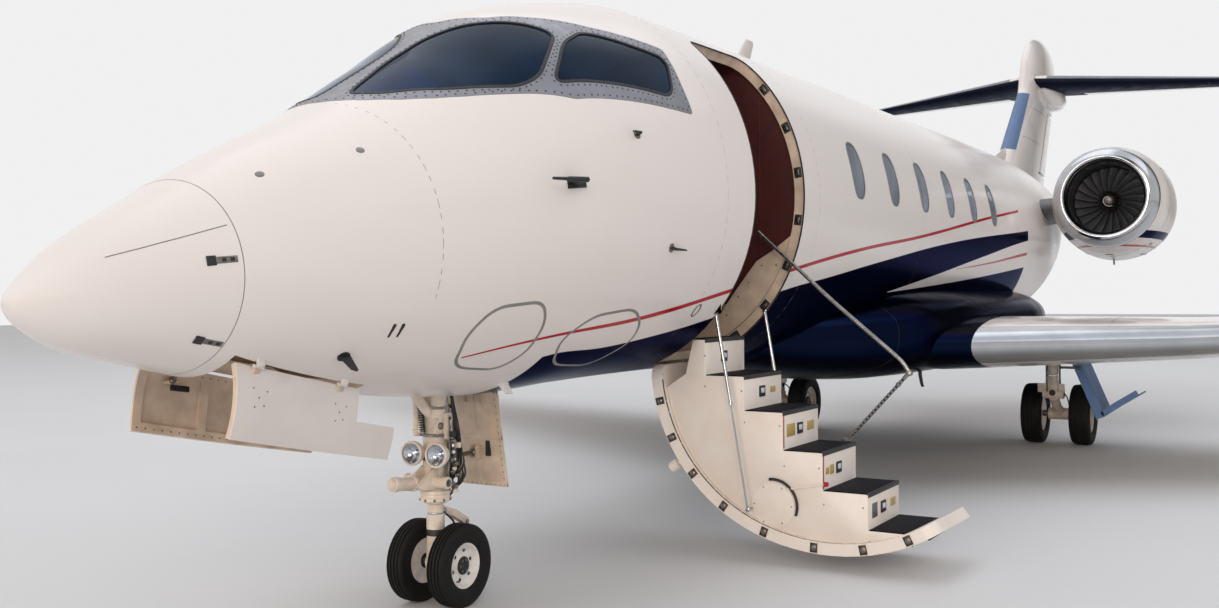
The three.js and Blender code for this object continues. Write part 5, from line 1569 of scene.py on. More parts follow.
# Shares of the chord: bright leading edges, the fin's boot, the spoilers' and the flaps' seams.
BRIGHT_SHARE, BOOT_SHARE, SPOILER_SEAM, FLAP_SEAM = 0.07, 0.075, 0.58, 0.72
# Shares of a control surface's span at which brackets hold it.
BRACKETS = (0.12, 0.5, 0.88)
WING_FOIL = Foil(WING, smooth_from=TIP_FROM)
TAIL_FOIL = Foil(TAILPLANE)
FIN_FOIL = Foil(FIN, upright=True, smooth_from=5.0)
AILERON_HINGE = Hinge(WING_FOIL, AILERON)
ELEVATOR_HINGE = Hinge(TAIL_FOIL, ELEVATOR)
RUDDER_HINGE = Hinge(FIN_FOIL, RUDDER)


def outline_round(values, slot=None, first_edge=None, shares=17):
    """Leading edge outward, tip, trailing edge with its slot, and root, as place and root."""
    roots = np.linspace(0, 1, shares)[1:-1]
    outline = [(v, 0.0) for v in values]
    outline += [(values[-1], r) for r in [*roots, 1.0]]
    back = [(v, 1.0) for v in values[1:-1][::-1]]
    if slot:
        low, high = slot[0][0], slot[-1][0]
        outline += [p for p in back if p[0] > high + 0.03] + slot[::-1]
        outline += [p for p in back if p[0] < low - 0.03]
    else:
        outline += back
    outline += [(values[0], 1.0)]
    outline += [(values[0], r) for r in roots[::-1]] if first_edge is None else first_edge
    return outline


def wings():
    inner = [NAVY_ROOT + (TIP_FROM - NAVY_ROOT) * k / 52 for k in range(53)]
    outer = TIP_FROM + 1.1795 * (1 - (1 - np.linspace(0, 1, 30)[1:]) ** 1.15)
    values = np.array([1.2, 1.34, 1.48, *inner, *outer])
    roots = np.array(sorted([*np.linspace(0, 1, 25)[1:-1], math.sqrt(BRIGHT_SHARE)]))
    slot = AILERON_HINGE.slot()

    def finish(value, share, face):
        if value < NAVY_ROOT:
            return 1
        if share < BRIGHT_SHARE and value < 9.42:
            return 2
        return 3 if face == 0 and AILERON[0] - 0.1 < value < 9.2 and share < 0.98 else 0

    gap = [straight((1.75, FLAP_SEAM), (6.6, FLAP_SEAM), 30)]
    gap += [straight((v, FLAP_SEAM), (v, 0.995), 10) for v in (6.6, 3.9)]
    over = [straight((2.1, SPOILER_SEAM), (6.3, SPOILER_SEAM), 30)]
    over += [straight((v, SPOILER_SEAM), (v, FLAP_SEAM), 6) for v in (2.1, 3.3, 4.8, 6.3)]
    fences = [straight((v, 0.072), (v, 0.7), 16) for v in (2.6, 4.2, 5.8, 7.4, 8.9)]
    for name, side in SIDES:
        form = Form()
        foil_sheet(form, WING_FOIL, outline_round(values, slot), values, roots, finish)
        for path in gap + fences:
            for face in (1, -1):
                form.add(foil_line(WING_FOIL, path, face), 3)
        for path in over:
            form.add(foil_line(WING_FOIL, path, 1), 3)
        form.add(foil_line(WING_FOIL, straight((NAVY_ROOT, BRIGHT_SHARE), (TIP_FROM, BRIGHT_SHARE),
            40), 1, 0.004), 3)
        for share in BRACKETS:
            knuckle(form, AILERON_HINGE, share, 4)
        for value in (3.1, 5.0, 6.72):
            track_fairing(form, value)
        form.build("wing_skin_" + name, [PLAIN_WHITE, NAVY_COAT, BRIGHT_LIP, SEAL, STEEL],
            AIRFRAME, "paint_white", ["wing_" + name], side=side)
        tips = Form()
        for value, size in ((9.5, 0.1), (9.56, 0.06)):
            tips.add(loft([[WING_FOIL.point(value + w * size, q * 0.23) + np.array([0, -0.002, 0])
                for q in np.linspace(-1, 1, 12)] for w in (-0.5, -0.2, 0.2, 0.5)], closed=True))
        tips.build("position_light_" + name, [LENS], AIRFRAME, "bare_grey", side=side)


def knuckle(form, hinge, share, finish):
    """A hinge bracket behind the fixed surface, holding the control surface's nose."""
    middle = hinge.pin + hinge.axis * hinge.span * share
    value = hinge.start + (hinge.end - hinge.start) * (share - 0.02 / hinge.span)
    radius = float(hinge.foil.depth(value, hinge.share)) + 0.0005
    back = np.array([0, 1, 0]) - hinge.axis * hinge.axis[1]
    back /= np.linalg.norm(back)
    across = np.cross(hinge.axis, back)
    rings = []
    for d in (-0.018, -0.016, 0.016, 0.018):
        slim = 0.9 if abs(d) > 0.017 else 1.0
        tall = radius * 0.45 * slim
        start = -(max(hinge.radii) + 0.03)
        arc = [(-math.sqrt(max(radius ** 2 - y * y, 0)), y) for y in np.linspace(-tall, tall, 7)]
        ring = [(start, tall), (start, -tall)] + arc
        rings.append([middle + hinge.axis * d + back * a + across * b for a, b in ring])
    form.add(loft(rings), finish)


def track_fairing(form, value):
    """A slim pod under the wing over a flap track."""
    start, end = 0.56, 1.1
    le, z, chord = (float(v) for v in WING_FOIL.row(value)[:3])
    rings = []
    for t in np.linspace(0, 1, 15):
        share = start + (end - start) * t
        swell = math.sin(math.pi * min(1.0, 0.03 + t * 0.97) ** 0.85) ** 0.7
        swell = max(swell, 0.03) * 0.078 * (chord / 3.2) ** 0.5
        top = z - float(WING_FOIL.depth(value, min(share, 1.0))) + 0.012
        if share > 1.0:
            top = z - 0.012
        middle = top - swell * 0.62
        rings.append([at(value + swell * 0.72 * math.cos(a), le + chord * share,
            min(top, middle + swell * math.sin(a))) for a in turns(20)])
    form.add(loft(rings))


def ailerons():
    for name, side in SIDES:
        control_surface("aileron", AILERON_HINGE, "_" + name, side)


def tail_surfaces():
    values = np.array([*np.linspace(0.13, 3.66, 44), 3.7, 3.73, 3.75])
    roots = np.array([0.05, 0.1, 0.15, 0.21, math.sqrt(BRIGHT_SHARE), 0.33,
        *np.linspace(0.4, 0.95, 12)])

    def finish(value, share, face):
        if share < BRIGHT_SHARE and value > 0.3 and face > 0:
            return 1
        # the underside and the trailing edge's rim take the dark slate, which is painted shade
        if face < 0 or face == 0 and share > 0.98:
            return 4
        return 2 if face == 0 and ELEVATOR[0] - 0.1 < value < 3.7 else 0

    form = Form()
    foil_sheet(form, TAIL_FOIL, outline_round(values, ELEVATOR_HINGE.slot()), values, roots,
        finish)
    for value in (1.5, 2.6):
        for face in (1, -1):
            form.add(foil_line(TAIL_FOIL, straight((value, 0.11), (value, 0.66), 12), face), 2)
    for share in BRACKETS:
        knuckle(form, ELEVATOR_HINGE, share, 3)
    form.both_sides()
    form.build("tailplane_skin", [PLAIN_WHITE, SURROUND_METAL, SEAL, STEEL, UNDERSIDE_PAINTED_SHADE], AIRFRAME,
        "paint_white", ["tailplane"])
    for name, side in SIDES:
        control_surface("elevator", ELEVATOR_HINGE, "_" + name, side)


def fin_and_rudder():
    top = [5.0, 5.12, 5.25, 5.38, 5.5, 5.6, 5.7, 5.78, 5.85, 5.9, 5.95, 5.99, 6.03, 6.06, 6.08]
    values = np.array([3.6, *np.linspace(3.7, 4.9, 16), 4.98, *top[1:]])
    roots = np.array([0.05, 0.1, 0.15, 0.21, math.sqrt(BOOT_SHARE), 0.33,
        *np.linspace(0.4, 0.95, 12)])

    def foot(share):
        z = 3.5
        for _ in range(8):
            le, _, chord = FIN_FOIL.row(z)[:3]
            z = line_at(CROWN, min(float(le + chord * share), TAIL_END)) - 0.05
        return z

    base = [(foot(r * r), r) for r in np.linspace(0, 1, 21)]
    values[0] = base[0][0]
    outline = outline_round(values, RUDDER_HINGE.slot(), base[1:-1][::-1])
    outline[-len(base[1:-1]) - 1] = base[-1]

    def finish(value, share, face):
        if share < BOOT_SHARE and 3.95 < value < 4.98:
            return 1
        return 2 if face == 0 and share < 0.98 and 3.7 < value < 4.9 else 0

    form = Form()
    foil_sheet(form, FIN_FOIL, outline, values, roots, finish)
    for value in (4.2, 4.75, 5.35):
        for face in (1, -1):
            form.add(foil_line(FIN_FOIL, straight((value, 0.076), (value, 0.62), 10), face), 2)
    for share in BRACKETS:
        knuckle(form, RUDDER_HINGE, share, 3)
    bullet = [(18.3, 0), (18.325, 0.05), (18.42, 0.12), (18.58, 0.17), (18.8, 0.205),
        (19.1, 0.228), (19.4, 0.24), (19.7, 0.238), (20.0, 0.225), (20.3, 0.195), (20.6, 0.15),
        (20.8, 0.09), (20.92, 0.0)]
    form.turn(at(0, 0, 5.23), at(0, HALF, 5.23), bullet, 40)
    for side in (1, -1):
        rings = []
        for share in np.linspace(0, 1, 16):
            swell = math.sin(math.pi * (0.02 + 0.96 * share)) ** 0.6
            s = 18.35 + 1.9 * share
            rings.append([at(side * (0.17 + 0.17 * swell * math.cos(b)), s,
                5.16 + 0.15 * swell * math.sin(b)) for b in turns(24)])
        form.add(loft(rings))
    rings = []
    for station in np.linspace(15.05, 17.1, 24):
        z = float(np.interp(station, (15.05, 15.5, 16.3, 17.1), (3.6, 3.72, 3.96, 4.18)))
        low = line_at(CROWN, station) - 0.05
        wide = float(np.interp(station, (15.05, 15.6, 17.1), (0.012, 0.04, 0.1)))
        rings.append([at(x * wide, station, low + (z - low) * h)
            for x, h in ((1.35, 0), (1.0, 0.4), (0.7, 0.8), (0.3, 0.96), (0, 1.0), (-0.3, 0.96),
            (-0.7, 0.8), (-1.0, 0.4), (-1.35, 0))])
    form.add(loft(rings))
    form.build("fin_skin", [PLAIN_WHITE, BOOT_GREY, SEAL, STEEL], AIRFRAME, "paint_white", ["fin"],
        sharp=38)
    control_surface("rudder", RUDDER_HINGE)


FAIRING = ((5.6, 0.3, 1.215, 1.5), (6.2, 0.72, 1.09, 1.6), (6.9, 1.12, 0.985, 1.69),
    (7.6, 1.37, 0.925, 1.76), (9.0, 1.44, 0.905, 1.8), (11.2, 1.44, 0.905, 1.8),
    (12.3, 1.35, 0.95, 1.79), (13.1, 1.06, 1.06, 1.74), (13.8, 0.64, 1.2, 1.68),
    (14.2, 0.3, 1.32, 1.6))


def belly_fairing():
    """Wing-to-body fairing: what bulges outside the skin, closed by the skin behind it."""
    columns = [smooth_line([r[0] for r in FAIRING], [r[k] for r in FAIRING]) for k in (1, 2, 3)]

    def ring_point(station, t):
        wide, keel, top = (float(c(station)) for c in columns)
        u, v = squarish(t, 0.72)
        return wide * u, (keel + top) / 2 + (top - keel) / 2 * v


    def outside(station, t):
        x, z = ring_point(station, t)
        middle = line_at(MIDDLE, station)
        rise = line_at(CROWN if z > middle else KEEL, station) - middle
        return (x / line_at(WIDE, station)) ** 2 + ((z - middle) / rise) ** 2 > 1

    rings = []
    for station in np.linspace(5.86, 14.02, 84):
        low, high = -math.pi / 2, math.pi / 2
        if not outside(station, low + 0.001):
            continue
        for _ in range(40):
            half = (low + high) / 2
            low, high = (half, high) if outside(station, half) else (low, half)
        around = [ring_point(station, t) for t in np.linspace(low, -math.pi - low, 49)]
        x, z = around[0]
        angle = angle_at(station, x) if z < line_at(MIDDLE, station) else 0.0
        back = [skin(station, a, 0.006) for a in np.linspace(-180 - angle, angle, 26)[1:-1]]
        rings.append([at(px, station, pz) for px, pz in around] + [Vector(p) for p in back])
    form = Form()
    points, faces = loft(rings)
    kinds = [2 if min(points[i][1] for i in f) + HALF > LIVERY_END else 0 for f in faces]
    form.take(points, faces, kinds)
    for station in (7.0, 9.0, 11.9, 13.0):
        for ring in rings:
            if abs(ring[0].y + HALF - station) < 0.05:
                form.add(tube(ring[2:47], 0.0022, 6), 1)
                break
    form.build("belly_fairing_skin", [NAVY_COAT, SEAL, PLAIN_WHITE], AIRFRAME, "composite_navy",
        ["belly_fairing"], sharp=50)


# Engines, each in its own frame: y aft from the middle of its intake.
ENGINE_FRAME = Matrix.Translation((1.906, 12.99 - HALF, 2.884)) @ Matrix.Rotation(
    math.radians(1.5), 4, "Z") @ Matrix.Rotation(math.radians(-1.5), 4, "X")
FRONT, AFT = Vector((0, 0, 0)), Vector((0, 1, 0))


def engine_piece(form, name, side, finishes, body, slot, replaces, sharp=35):
    form.moved(ENGINE_FRAME)
    if side < 0:
        form.mirrored(keep_places=True)
    form.build(name, finishes, body, slot, replaces, sharp=sharp)


def engines():
    lip = []
    for k in range(33):
        a = math.pi * k / 32
        reach = 0.126 if a > math.pi / 2 else 0.064
        radius = 0.494 - math.cos(a) * reach
        lip.append((0.23 * (1 - math.sin(a)), radius))
    cowl = smooth_line((0.2303, 0.62, 1.25, 1.85, 2.65, 3.2),
        (0.6203, 0.69, 0.722, 0.69, 0.6, 0.52))
    duct = smooth_line((0.2303, 0.56, 0.9, 1.4, 2.4, 3.2), (0.4303, 0.446, 0.446, 0.56, 0.56, 0.5))
    outer = [(d, float(cowl(d))) for d in np.linspace(0.2303, 3.2, 46)]
    inner = [(d, float(duct(d))) for d in np.linspace(3.2, 0.2303, 46)]
    for name, side in SIDES:
        form = Form()
        form.turn(FRONT, AFT, lip, 96, closed=True)
        form.turn(FRONT, AFT, [(0.2292, 0.6185), (0.2292, 0.6215), (0.2312, 0.6215),
            (0.2312, 0.6185)], 96, 1, closed=True)
        engine_piece(form, "intake_ring_" + name, side, [BRIGHT_LIP, SEAL], AIRFRAME,
            "polished_lip", ["intake_lip_" + name], 60)
        form = Form()
        count = 96
        points, faces = turned_on(FRONT, AFT, outer + inner, count, closed=True)
        form.take(points, faces, [int(k // count >= len(outer)) for k in range(len(faces))])
        for distance in (0.72, 1.55, 2.45):
            r = float(cowl(distance)) + 0.0006
            form.turn(FRONT, AFT, [(distance - 0.003, r - 0.003), (distance - 0.003, r),
                (distance + 0.003, r), (distance + 0.003, r - 0.003)], 96, 2, closed=True)
        for turn in (-90, 35, 145):
            path = [spoke_y(math.radians(turn)) * float(cowl(d)) + Vector((0, d, 0))
                for d in np.linspace(0.73, 2.44, 20)]
            form.add(tube(path, 0.0028, 6), 2)
        for turn, distance in ((-50, 0.9), (-64, 1.3), (-64, 1.8), (-120, 1.3), (-120, 1.8)):
            out = spoke_y(math.radians(turn))
            spot = out * float(cowl(distance)) + Vector((0, distance, 0))
            form.add(tapered_box((-0.06, -0.02, -0.004), (0.06, 0.02, 0.0035), 0.002), 3,
                Matrix.Translation(spot) @ out.to_track_quat("Z", "Y").to_matrix().to_4x4())
        # drain mast under the fan cowl, and the lower intake vent as a closed black disc: painted
        # shade standing for the open vent
        form.add(loft([[Vector((x, d + lean, z)) for x, d in ((-0.012, 0), (0, -0.03), (0.012, 0),
            (0, 0.05))] for lean, z in ((1.05, -0.7), (1.08, -0.765), (1.1, -0.79))]), 3)
        form.add(stud(0.01, [(0, 0.05), (0.016, 0.05), (0.012, 0.042), (0.004, 0.04)], 24), 4,
            Matrix.Translation((0.0, 0.62, -0.685)) @ Matrix.Rotation(math.pi, 4, "X"))
        engine_piece(form, "engine_cowl_" + name, side,
            [COWL, DUCT_GREY, SEAL, STEEL, PANEL_BLACK], AIRFRAME, "composite_white",
            ["nacelle_" + name], 40)
        engine_core(name, side)
        fan(name, side)
        form = Form()
        values = np.linspace(0.97, 1.44, 6)
        foil_sheet(form, Foil(PYLON), outline_round(values, shares=19), values,
            np.linspace(0, 1, 19)[1:-1], lambda v, s, f: 0)
        form.build("pylon_skin_" + name, [GREY_COAT], AIRFRAME, "bare_grey", ["pylon_" + name],
            side=side)


def engine_core(name, side):
    form = Form()
    body = smooth_line((0.868, 1.0, 1.25, 1.65, 2.3, 2.9, 3.25, 3.52, 3.64),
        (0.15, 0.25, 0.33, 0.4, 0.4, 0.33, 0.25, 0.11, 0.004))
    front = [(0.8555, 0.002), (0.8555, 0.06), (0.868, 0.06), (0.868, 0.15)]
    whole = front + [(d, float(body(d))) for d in np.linspace(0.88, 3.64, 44)]
    form.turn(FRONT, AFT, whole, 56)
    for turn in (45, 135, 225, 315):
        a = math.radians(turn)
        spoke, side_way = spoke_y(a), spoke_y(a + math.pi / 2)
        rings = []
        for radius in (0.33, 0.45, 0.556):
            rings.append([spoke * radius + Vector((0, 1.9 + 0.21 * math.cos(b), 0))
                + side_way * (0.02 * math.sin(b) * (1 - 0.4 * math.cos(b))) for b in turns(20)])
        form.add(loft(rings), 1)
    for a in turns(44):
        vane = []
        for radius in (0.24, 0.441):
            ring = []
            for share, off in ((0, 0), (0.5, 0.006), (1, 0), (0.5, -0.006)):
                twist = a + 0.05 * share
                ring.append(Vector((radius * math.cos(twist) - off * math.sin(twist),
                    0.9 + 0.1 * share, radius * math.sin(twist) + off * math.cos(twist))))
            vane.append(ring)
        form.add(loft(vane), 1)
    engine_piece(form, "core_and_struts_" + name, side, [DARK_METAL, DUCT_GREY], AIRFRAME,
        "engine_metal", ["engine_core_" + name])


def fan(name, side):
    """Twenty-two wide twisted blades on a rounded spinner."""
    form = Form()
    front, middle, back = 0.64, 0.7475, 0.855
    spinner = [(0.43 + 0.21 * t ** 1.7, 0.132 * math.sin(math.pi / 2 * t) ** 0.9)
        for t in np.linspace(0.0, 1, 16)]
    form.turn(FRONT, AFT, spinner + [(back, 0.132)], 48, 1)
    depths, widths = zip(*spinner)
    spiral = []
    for k in range(23):
        r, t = 0.012 + 0.075 * k / 22, k * 0.24
        spiral.append(Vector((r * math.cos(t), float(np.interp(r, widths, depths)) - 0.0005,
            r * math.sin(t))))
    form.add(tube(spiral, 0.004, 6), 2)
    root, tip = 0.118, 0.4325
    for i in range(22):
        turn = Matrix.Rotation(2 * math.pi * (i + 1.7) / 22, 4, "Y")
        rings = []
        for r in np.linspace(root, tip, 12):
            t = (r - root) / 0.315
            pitch = math.radians(28 + 27 * t)
            chord = 0.205 + 0.005 * t + 0.03 * math.sin(math.pi * t)
            thick = 0.012 - 0.006 * t
            ring = []
            for b in turns(14):
                along = math.cos(b) * chord / 2
                off = math.sin(b) * thick / 2 + 0.018 * (1 - (2 * along / chord) ** 2) * t
                y = middle + along * math.cos(pitch) - off * math.sin(pitch)
                across = along * math.sin(pitch) + off * math.cos(pitch)
                y = min(max(y, front), back)
                ring.append(turn @ Vector((across, y, math.sqrt(r * r - across * across))))
            rings.append(ring)
        form.add(loft(rings))
    engine_piece(form, "fan_rotor_blades_" + name, side, [TITANIUM, STEEL, PLAIN_WHITE],
        "fan_rotor_" + name, "fan_metal", ["fan_" + name], 45)


# Landing gear: stations of leg and axle, tyre radius; then for each wheel its distance off the
# leg, its tyre's width and its rim's radius.
NOSE_LEG, NOSE_AXLE, NOSE_R = 2.47, 2.5, 0.2285
MAIN_X, MAIN_AXLE, MAIN_R = 1.655, 11.45, 0.3365
NOSE_OFF, NOSE_WIDTH, NOSE_RIM = 0.14, 0.118, 0.125
MAIN_OFF, MAIN_WIDTH, MAIN_RIM = 0.255, 0.225, 0.2
MAIN_DOOR_FROM, MAIN_DOOR_TO = 11.18, 11.76


def rod(form, start, end, radius, finish, sides=20, collars=()):
    """A round bar with softened ends; collars are (distance, length, radius)."""
    start, end = Vector(start), Vector(end)
    reach = (end - start).length
    edge = min(radius * 0.3, reach * 0.2)
    form.turn(start, end, [(0, radius - edge), (edge, radius), (reach - edge, radius),
        (reach, radius - edge)], sides, finish)
    ahead = (end - start).normalized()
    for distance, length, wide in collars:
        rod(form, start + ahead * distance, start + ahead * (distance + length), wide, finish,
            sides)


def bolt(form, place, normal, radius, finish):
    """A hexagon head on a washer."""
    place, normal = Vector(place), Vector(normal).normalized()
    height = radius * 0.9
    form.turn(place - normal * 0.001, place + normal, [(0, radius * 1.5),
        (height * 0.3, radius * 1.5), (height * 0.35, radius * 1.3)], 16, finish)
    form.turn(place, place + normal, [(0, radius), (height, radius), (height * 1.2, radius * 0.8)],
        6, finish)


def web(form, outline, axis, start, end, finish, edge=0.004):
    form.add(plate(outline, axis, start, end, edge), finish)


def clamp(form, x, station, z, radius, sides):
    """A steel band round a leg."""
    edge = radius + 0.004
    form.turn(at(x, station, z), at(x, station, z + 0.02), [(0, radius), (0.002, edge),
        (0.014, edge), (0.016, radius)], sides, 1)


def hose(form, path, radius, finish):
    form.add(tube(path, radius, 10, 6), finish)


def tapered_leg(form, rows):
    """A cast leg lofted through rows of height, half width, half depth and station."""
    corners = [squarish(a, 0.8) for a in turns(28)]
    form.add(loft([[at(wide * u, station + deep * v, z) for u, v in corners]
        for z, wide, deep, station in rows]))


def nose_leg():
    s = NOSE_LEG
    form = Form()
    tapered_leg(form, [(*row, s) for row in ((0.562, 0.056, 0.056), (0.575, 0.062, 0.062),
        (0.7, 0.058, 0.06), (0.86, 0.062, 0.06), (1.0, 0.072, 0.062), (1.12, 0.082, 0.064),
        (1.24, 0.092, 0.064), (1.36, 0.09, 0.06), (1.4, 0.08, 0.055))])
    form.turn(at(0, s, 0.573), at(0, s, 0.66), [(0, 0.078), (0.004, 0.086), (0.022, 0.086),
        (0.026, 0.079), (0.04, 0.079), (0.044, 0.086), (0.062, 0.086), (0.066, 0.078),
        (0.08, 0.066)], 44)
    for a in turns(10, 0.5):
        bolt(form, at(0.0865 * math.cos(a), s + 0.0865 * math.sin(a), 0.585),
            (math.cos(a), math.sin(a), 0), 0.005, 1)
    rod(form, at(-0.326, s, 1.3), at(0.326, s, 1.3), 0.04, 0, 28,
        [(0.03, 0.03, 0.05), (0.592, 0.03, 0.05)])
    # drag brace with its over-centre links
    rod(form, at(0, s, 1.0), at(0, 1.96, 1.53), 0.028, 0, 20,
        [(0.0, 0.06, 0.038), (0.36, 0.05, 0.036)])
    web(form, [(1.93, 1.49), (1.99, 1.49), (1.99, 1.566), (1.93, 1.566)], "x", -0.088, 0.088, 0)
    rod(form, at(-0.075, s - 0.03, 0.99), at(0.075, s - 0.03, 0.99), 0.02, 1)
    for x in (-0.052, 0.052):
        web(form, [(s - 0.075, 0.95), (s + 0.01, 0.93), (s + 0.01, 1.05), (s - 0.06, 1.03)], "x",
            x - 0.011, x + 0.011, 0)
    # steering actuators and their yoke
    rod(form, at(-0.15, s - 0.07, 0.69), at(0.15, s - 0.07, 0.69), 0.03, 0, 24,
        [(0.0, 0.025, 0.034), (0.05, 0.02, 0.0335), (0.275, 0.025, 0.034)])
    for x in (-0.055, 0.03):
        web(form, [(s - 0.06, 0.645), (s - 0.17, 0.655), (s - 0.215, 0.68), (s - 0.17, 0.705),
            (s - 0.05, 0.775), (s - 0.03, 0.7)], "x", x, x + 0.025, 0, 0.005)
    rod(form, at(0.0, s - 0.02, 0.672), at(-0.02, s - 0.33, 0.705), 0.036, 0, 24,
        [(0.15, 0.02, 0.042), (0.27, 0.045, 0.04)])
    rod(form, at(-0.02, s - 0.3, 0.705), at(-0.022, s - 0.345, 0.707), 0.03, 0, 20)
    for x in (-0.17, 0.17):
        rod(form, at(x * 0.75, s - 0.07, 0.69), at(x * 0.55, s + 0.075, 0.655), 0.012, 1, 14)
        bolt(form, at(x * 0.885, s - 0.07, 0.69), (x, 0, 0), 0.012, 1)
    # taxi lamps on brackets
    for x in (-0.055, 0.115):
        axis = Vector((0.1, -1, 0.02)).normalized()
        face = at(x, 2.335, 0.845)
        form.turn(face - axis * 0.075, face, [(0, 0.02), (0.012, 0.045), (0.045, 0.063),
            (0.066, 0.068), (0.078, 0.068), (0.081, 0.064), (0.079, 0.058), (0.03, 0.0575),
            (0.014, 0.04), (0.004, 0.018)], 44, closed=True)
        bowl = [(-0.001 - 0.036 * (1 - (r / 0.0565) ** 2), r) for r in np.linspace(0.0565, 0.012,
            9)]
        form.turn(face, face + axis, [(-0.045, 0.0565), (-0.001, 0.0565)] + bowl
            + [(-0.02, 0.011), (-0.012, 0.009), (-0.01, 0.003)], 40, 2)
        form.turn(face - axis * 0.003, face, [(0, 0.0572), (0.0035, 0.0572), (0.004, 0.0535),
            (0.0, 0.0535)], 40, 3, closed=True)
        for a in turns(8):
            side_way = axis.cross(UP).normalized()
            above = side_way.cross(axis)
            spot = face + side_way * (0.0632 * math.cos(a)) + above * (0.0632 * math.sin(a))
            bolt(form, spot - axis * 0.001, axis, 0.003, 1)
        rod(form, face - axis * 0.06, at(x * 0.35, s - 0.045, 0.845), 0.016, 0, 16)
    # brackets, junction boxes and pipe clips down the leg
    web(form, [(s - 0.02, 1.06), (s + 0.045, 1.06), (s + 0.03, 0.9), (s - 0.02, 0.92)], "x", 0.07,
        0.092, 0)
    for z in (1.03, 0.98, 0.935):
        form.turn(at(0.0915, s + 0.012, z), at(0.2, s + 0.012, z),
            [(0, 0.009), (0.003, 0.009), (0.0035, 0.004)], 16, 4)
    form.box((-0.115, s - 0.04, 1.02), (-0.06, s + 0.02, 1.13), 0.012)
    rod(form, at(-0.085, s - 0.05, 0.93), at(-0.085, s - 0.05, 1.16), 0.022, 0, 20,
        [(0.02, 0.02, 0.027), (0.19, 0.02, 0.026)])
    low, high = at(-0.012, s - 0.088, 0.945), at(-0.03, s - 0.088, 1.12)
    rod(form, low, high, 0.008, 1, 16, [(0.0, 0.02, 0.014), (0.155, 0.02, 0.014)])
    coil = [low.lerp(high, 0.1 + 0.8 * k / 96) + Vector((0.015 * math.cos(k * 0.72),
        0.015 * math.sin(k * 0.72), 0)) for k in range(97)]
    form.add(tube(coil, 0.0038, 8), 4)
    random.seed(11)
    for k in range(9):
        a = math.radians(2 + 22 * k)
        lean = 0.012 * random.random()
        r = 0.078 + lean
        foot = 0.6 + 0.1 * random.random()
        path = [(r * math.cos(a), s - HALF + r * math.sin(a) * 0.9, z)
            for z in (foot, foot + 0.12, 0.95, 1.15, 1.36)]
        path = [Vector((x * (1 + 0.12 * math.sin(9 * z + k)), y + 0.008 * math.cos(7 * z + k), z))
            for x, y, z in path]
        hose(form, path, 0.0055 + 0.004 * random.random(), 4 if k % 3 else 1)
    for z in (0.68, 0.8, 0.93, 1.08, 1.22):
        clamp(form, 0, s + 0.012, z, 0.085, 32)
    for k in range(12):
        x, z = 0.06 + 0.008 * (k % 6), 0.6 + 0.012 * k
        sway = [0.02 * random.random() for _ in range(6)]
        hose(form, [at(x, s + 0.045, z), at(x + 0.045 + sway[0], s + 0.05 + sway[1], z + 0.05),
            at(x + 0.03 + sway[2], s + 0.06 + sway[3], 0.84),
            at(x + 0.01 + sway[4], s + 0.05, 0.98), at(0.09, s + 0.03 + sway[5], 1.12),
            at(0.075, s + 0.03, 1.3)], 0.0034 + 0.0026 * random.random(), (4, 4, 1, 4)[k % 4])
    for k in range(16):
        x, z = 0.085 + 0.045 * random.random(), 0.63 + 0.021 * k
        size = 0.007 + 0.008 * random.random()
        depth = s + 0.01 + 0.05 * random.random()
        if k % 3:
            rod(form, at(x - size, depth, z), at(x + size * 1.4, depth - 0.01, z + 0.006), size, 1,
                14, [(size * 0.4, size * 0.8, size * 1.35)])
        else:
            form.box((x - size, depth - 0.012, z - size), (x + size, depth + 0.012, z + size),
                0.003, (0, 4)[k % 2])
    form.build("nose_leg_casting", [GEAR_WHITE, STEEL, LAMP, CHROME, HOSE], AIRFRAME, "gear_white",
        ["nose_leg"], sharp=40)


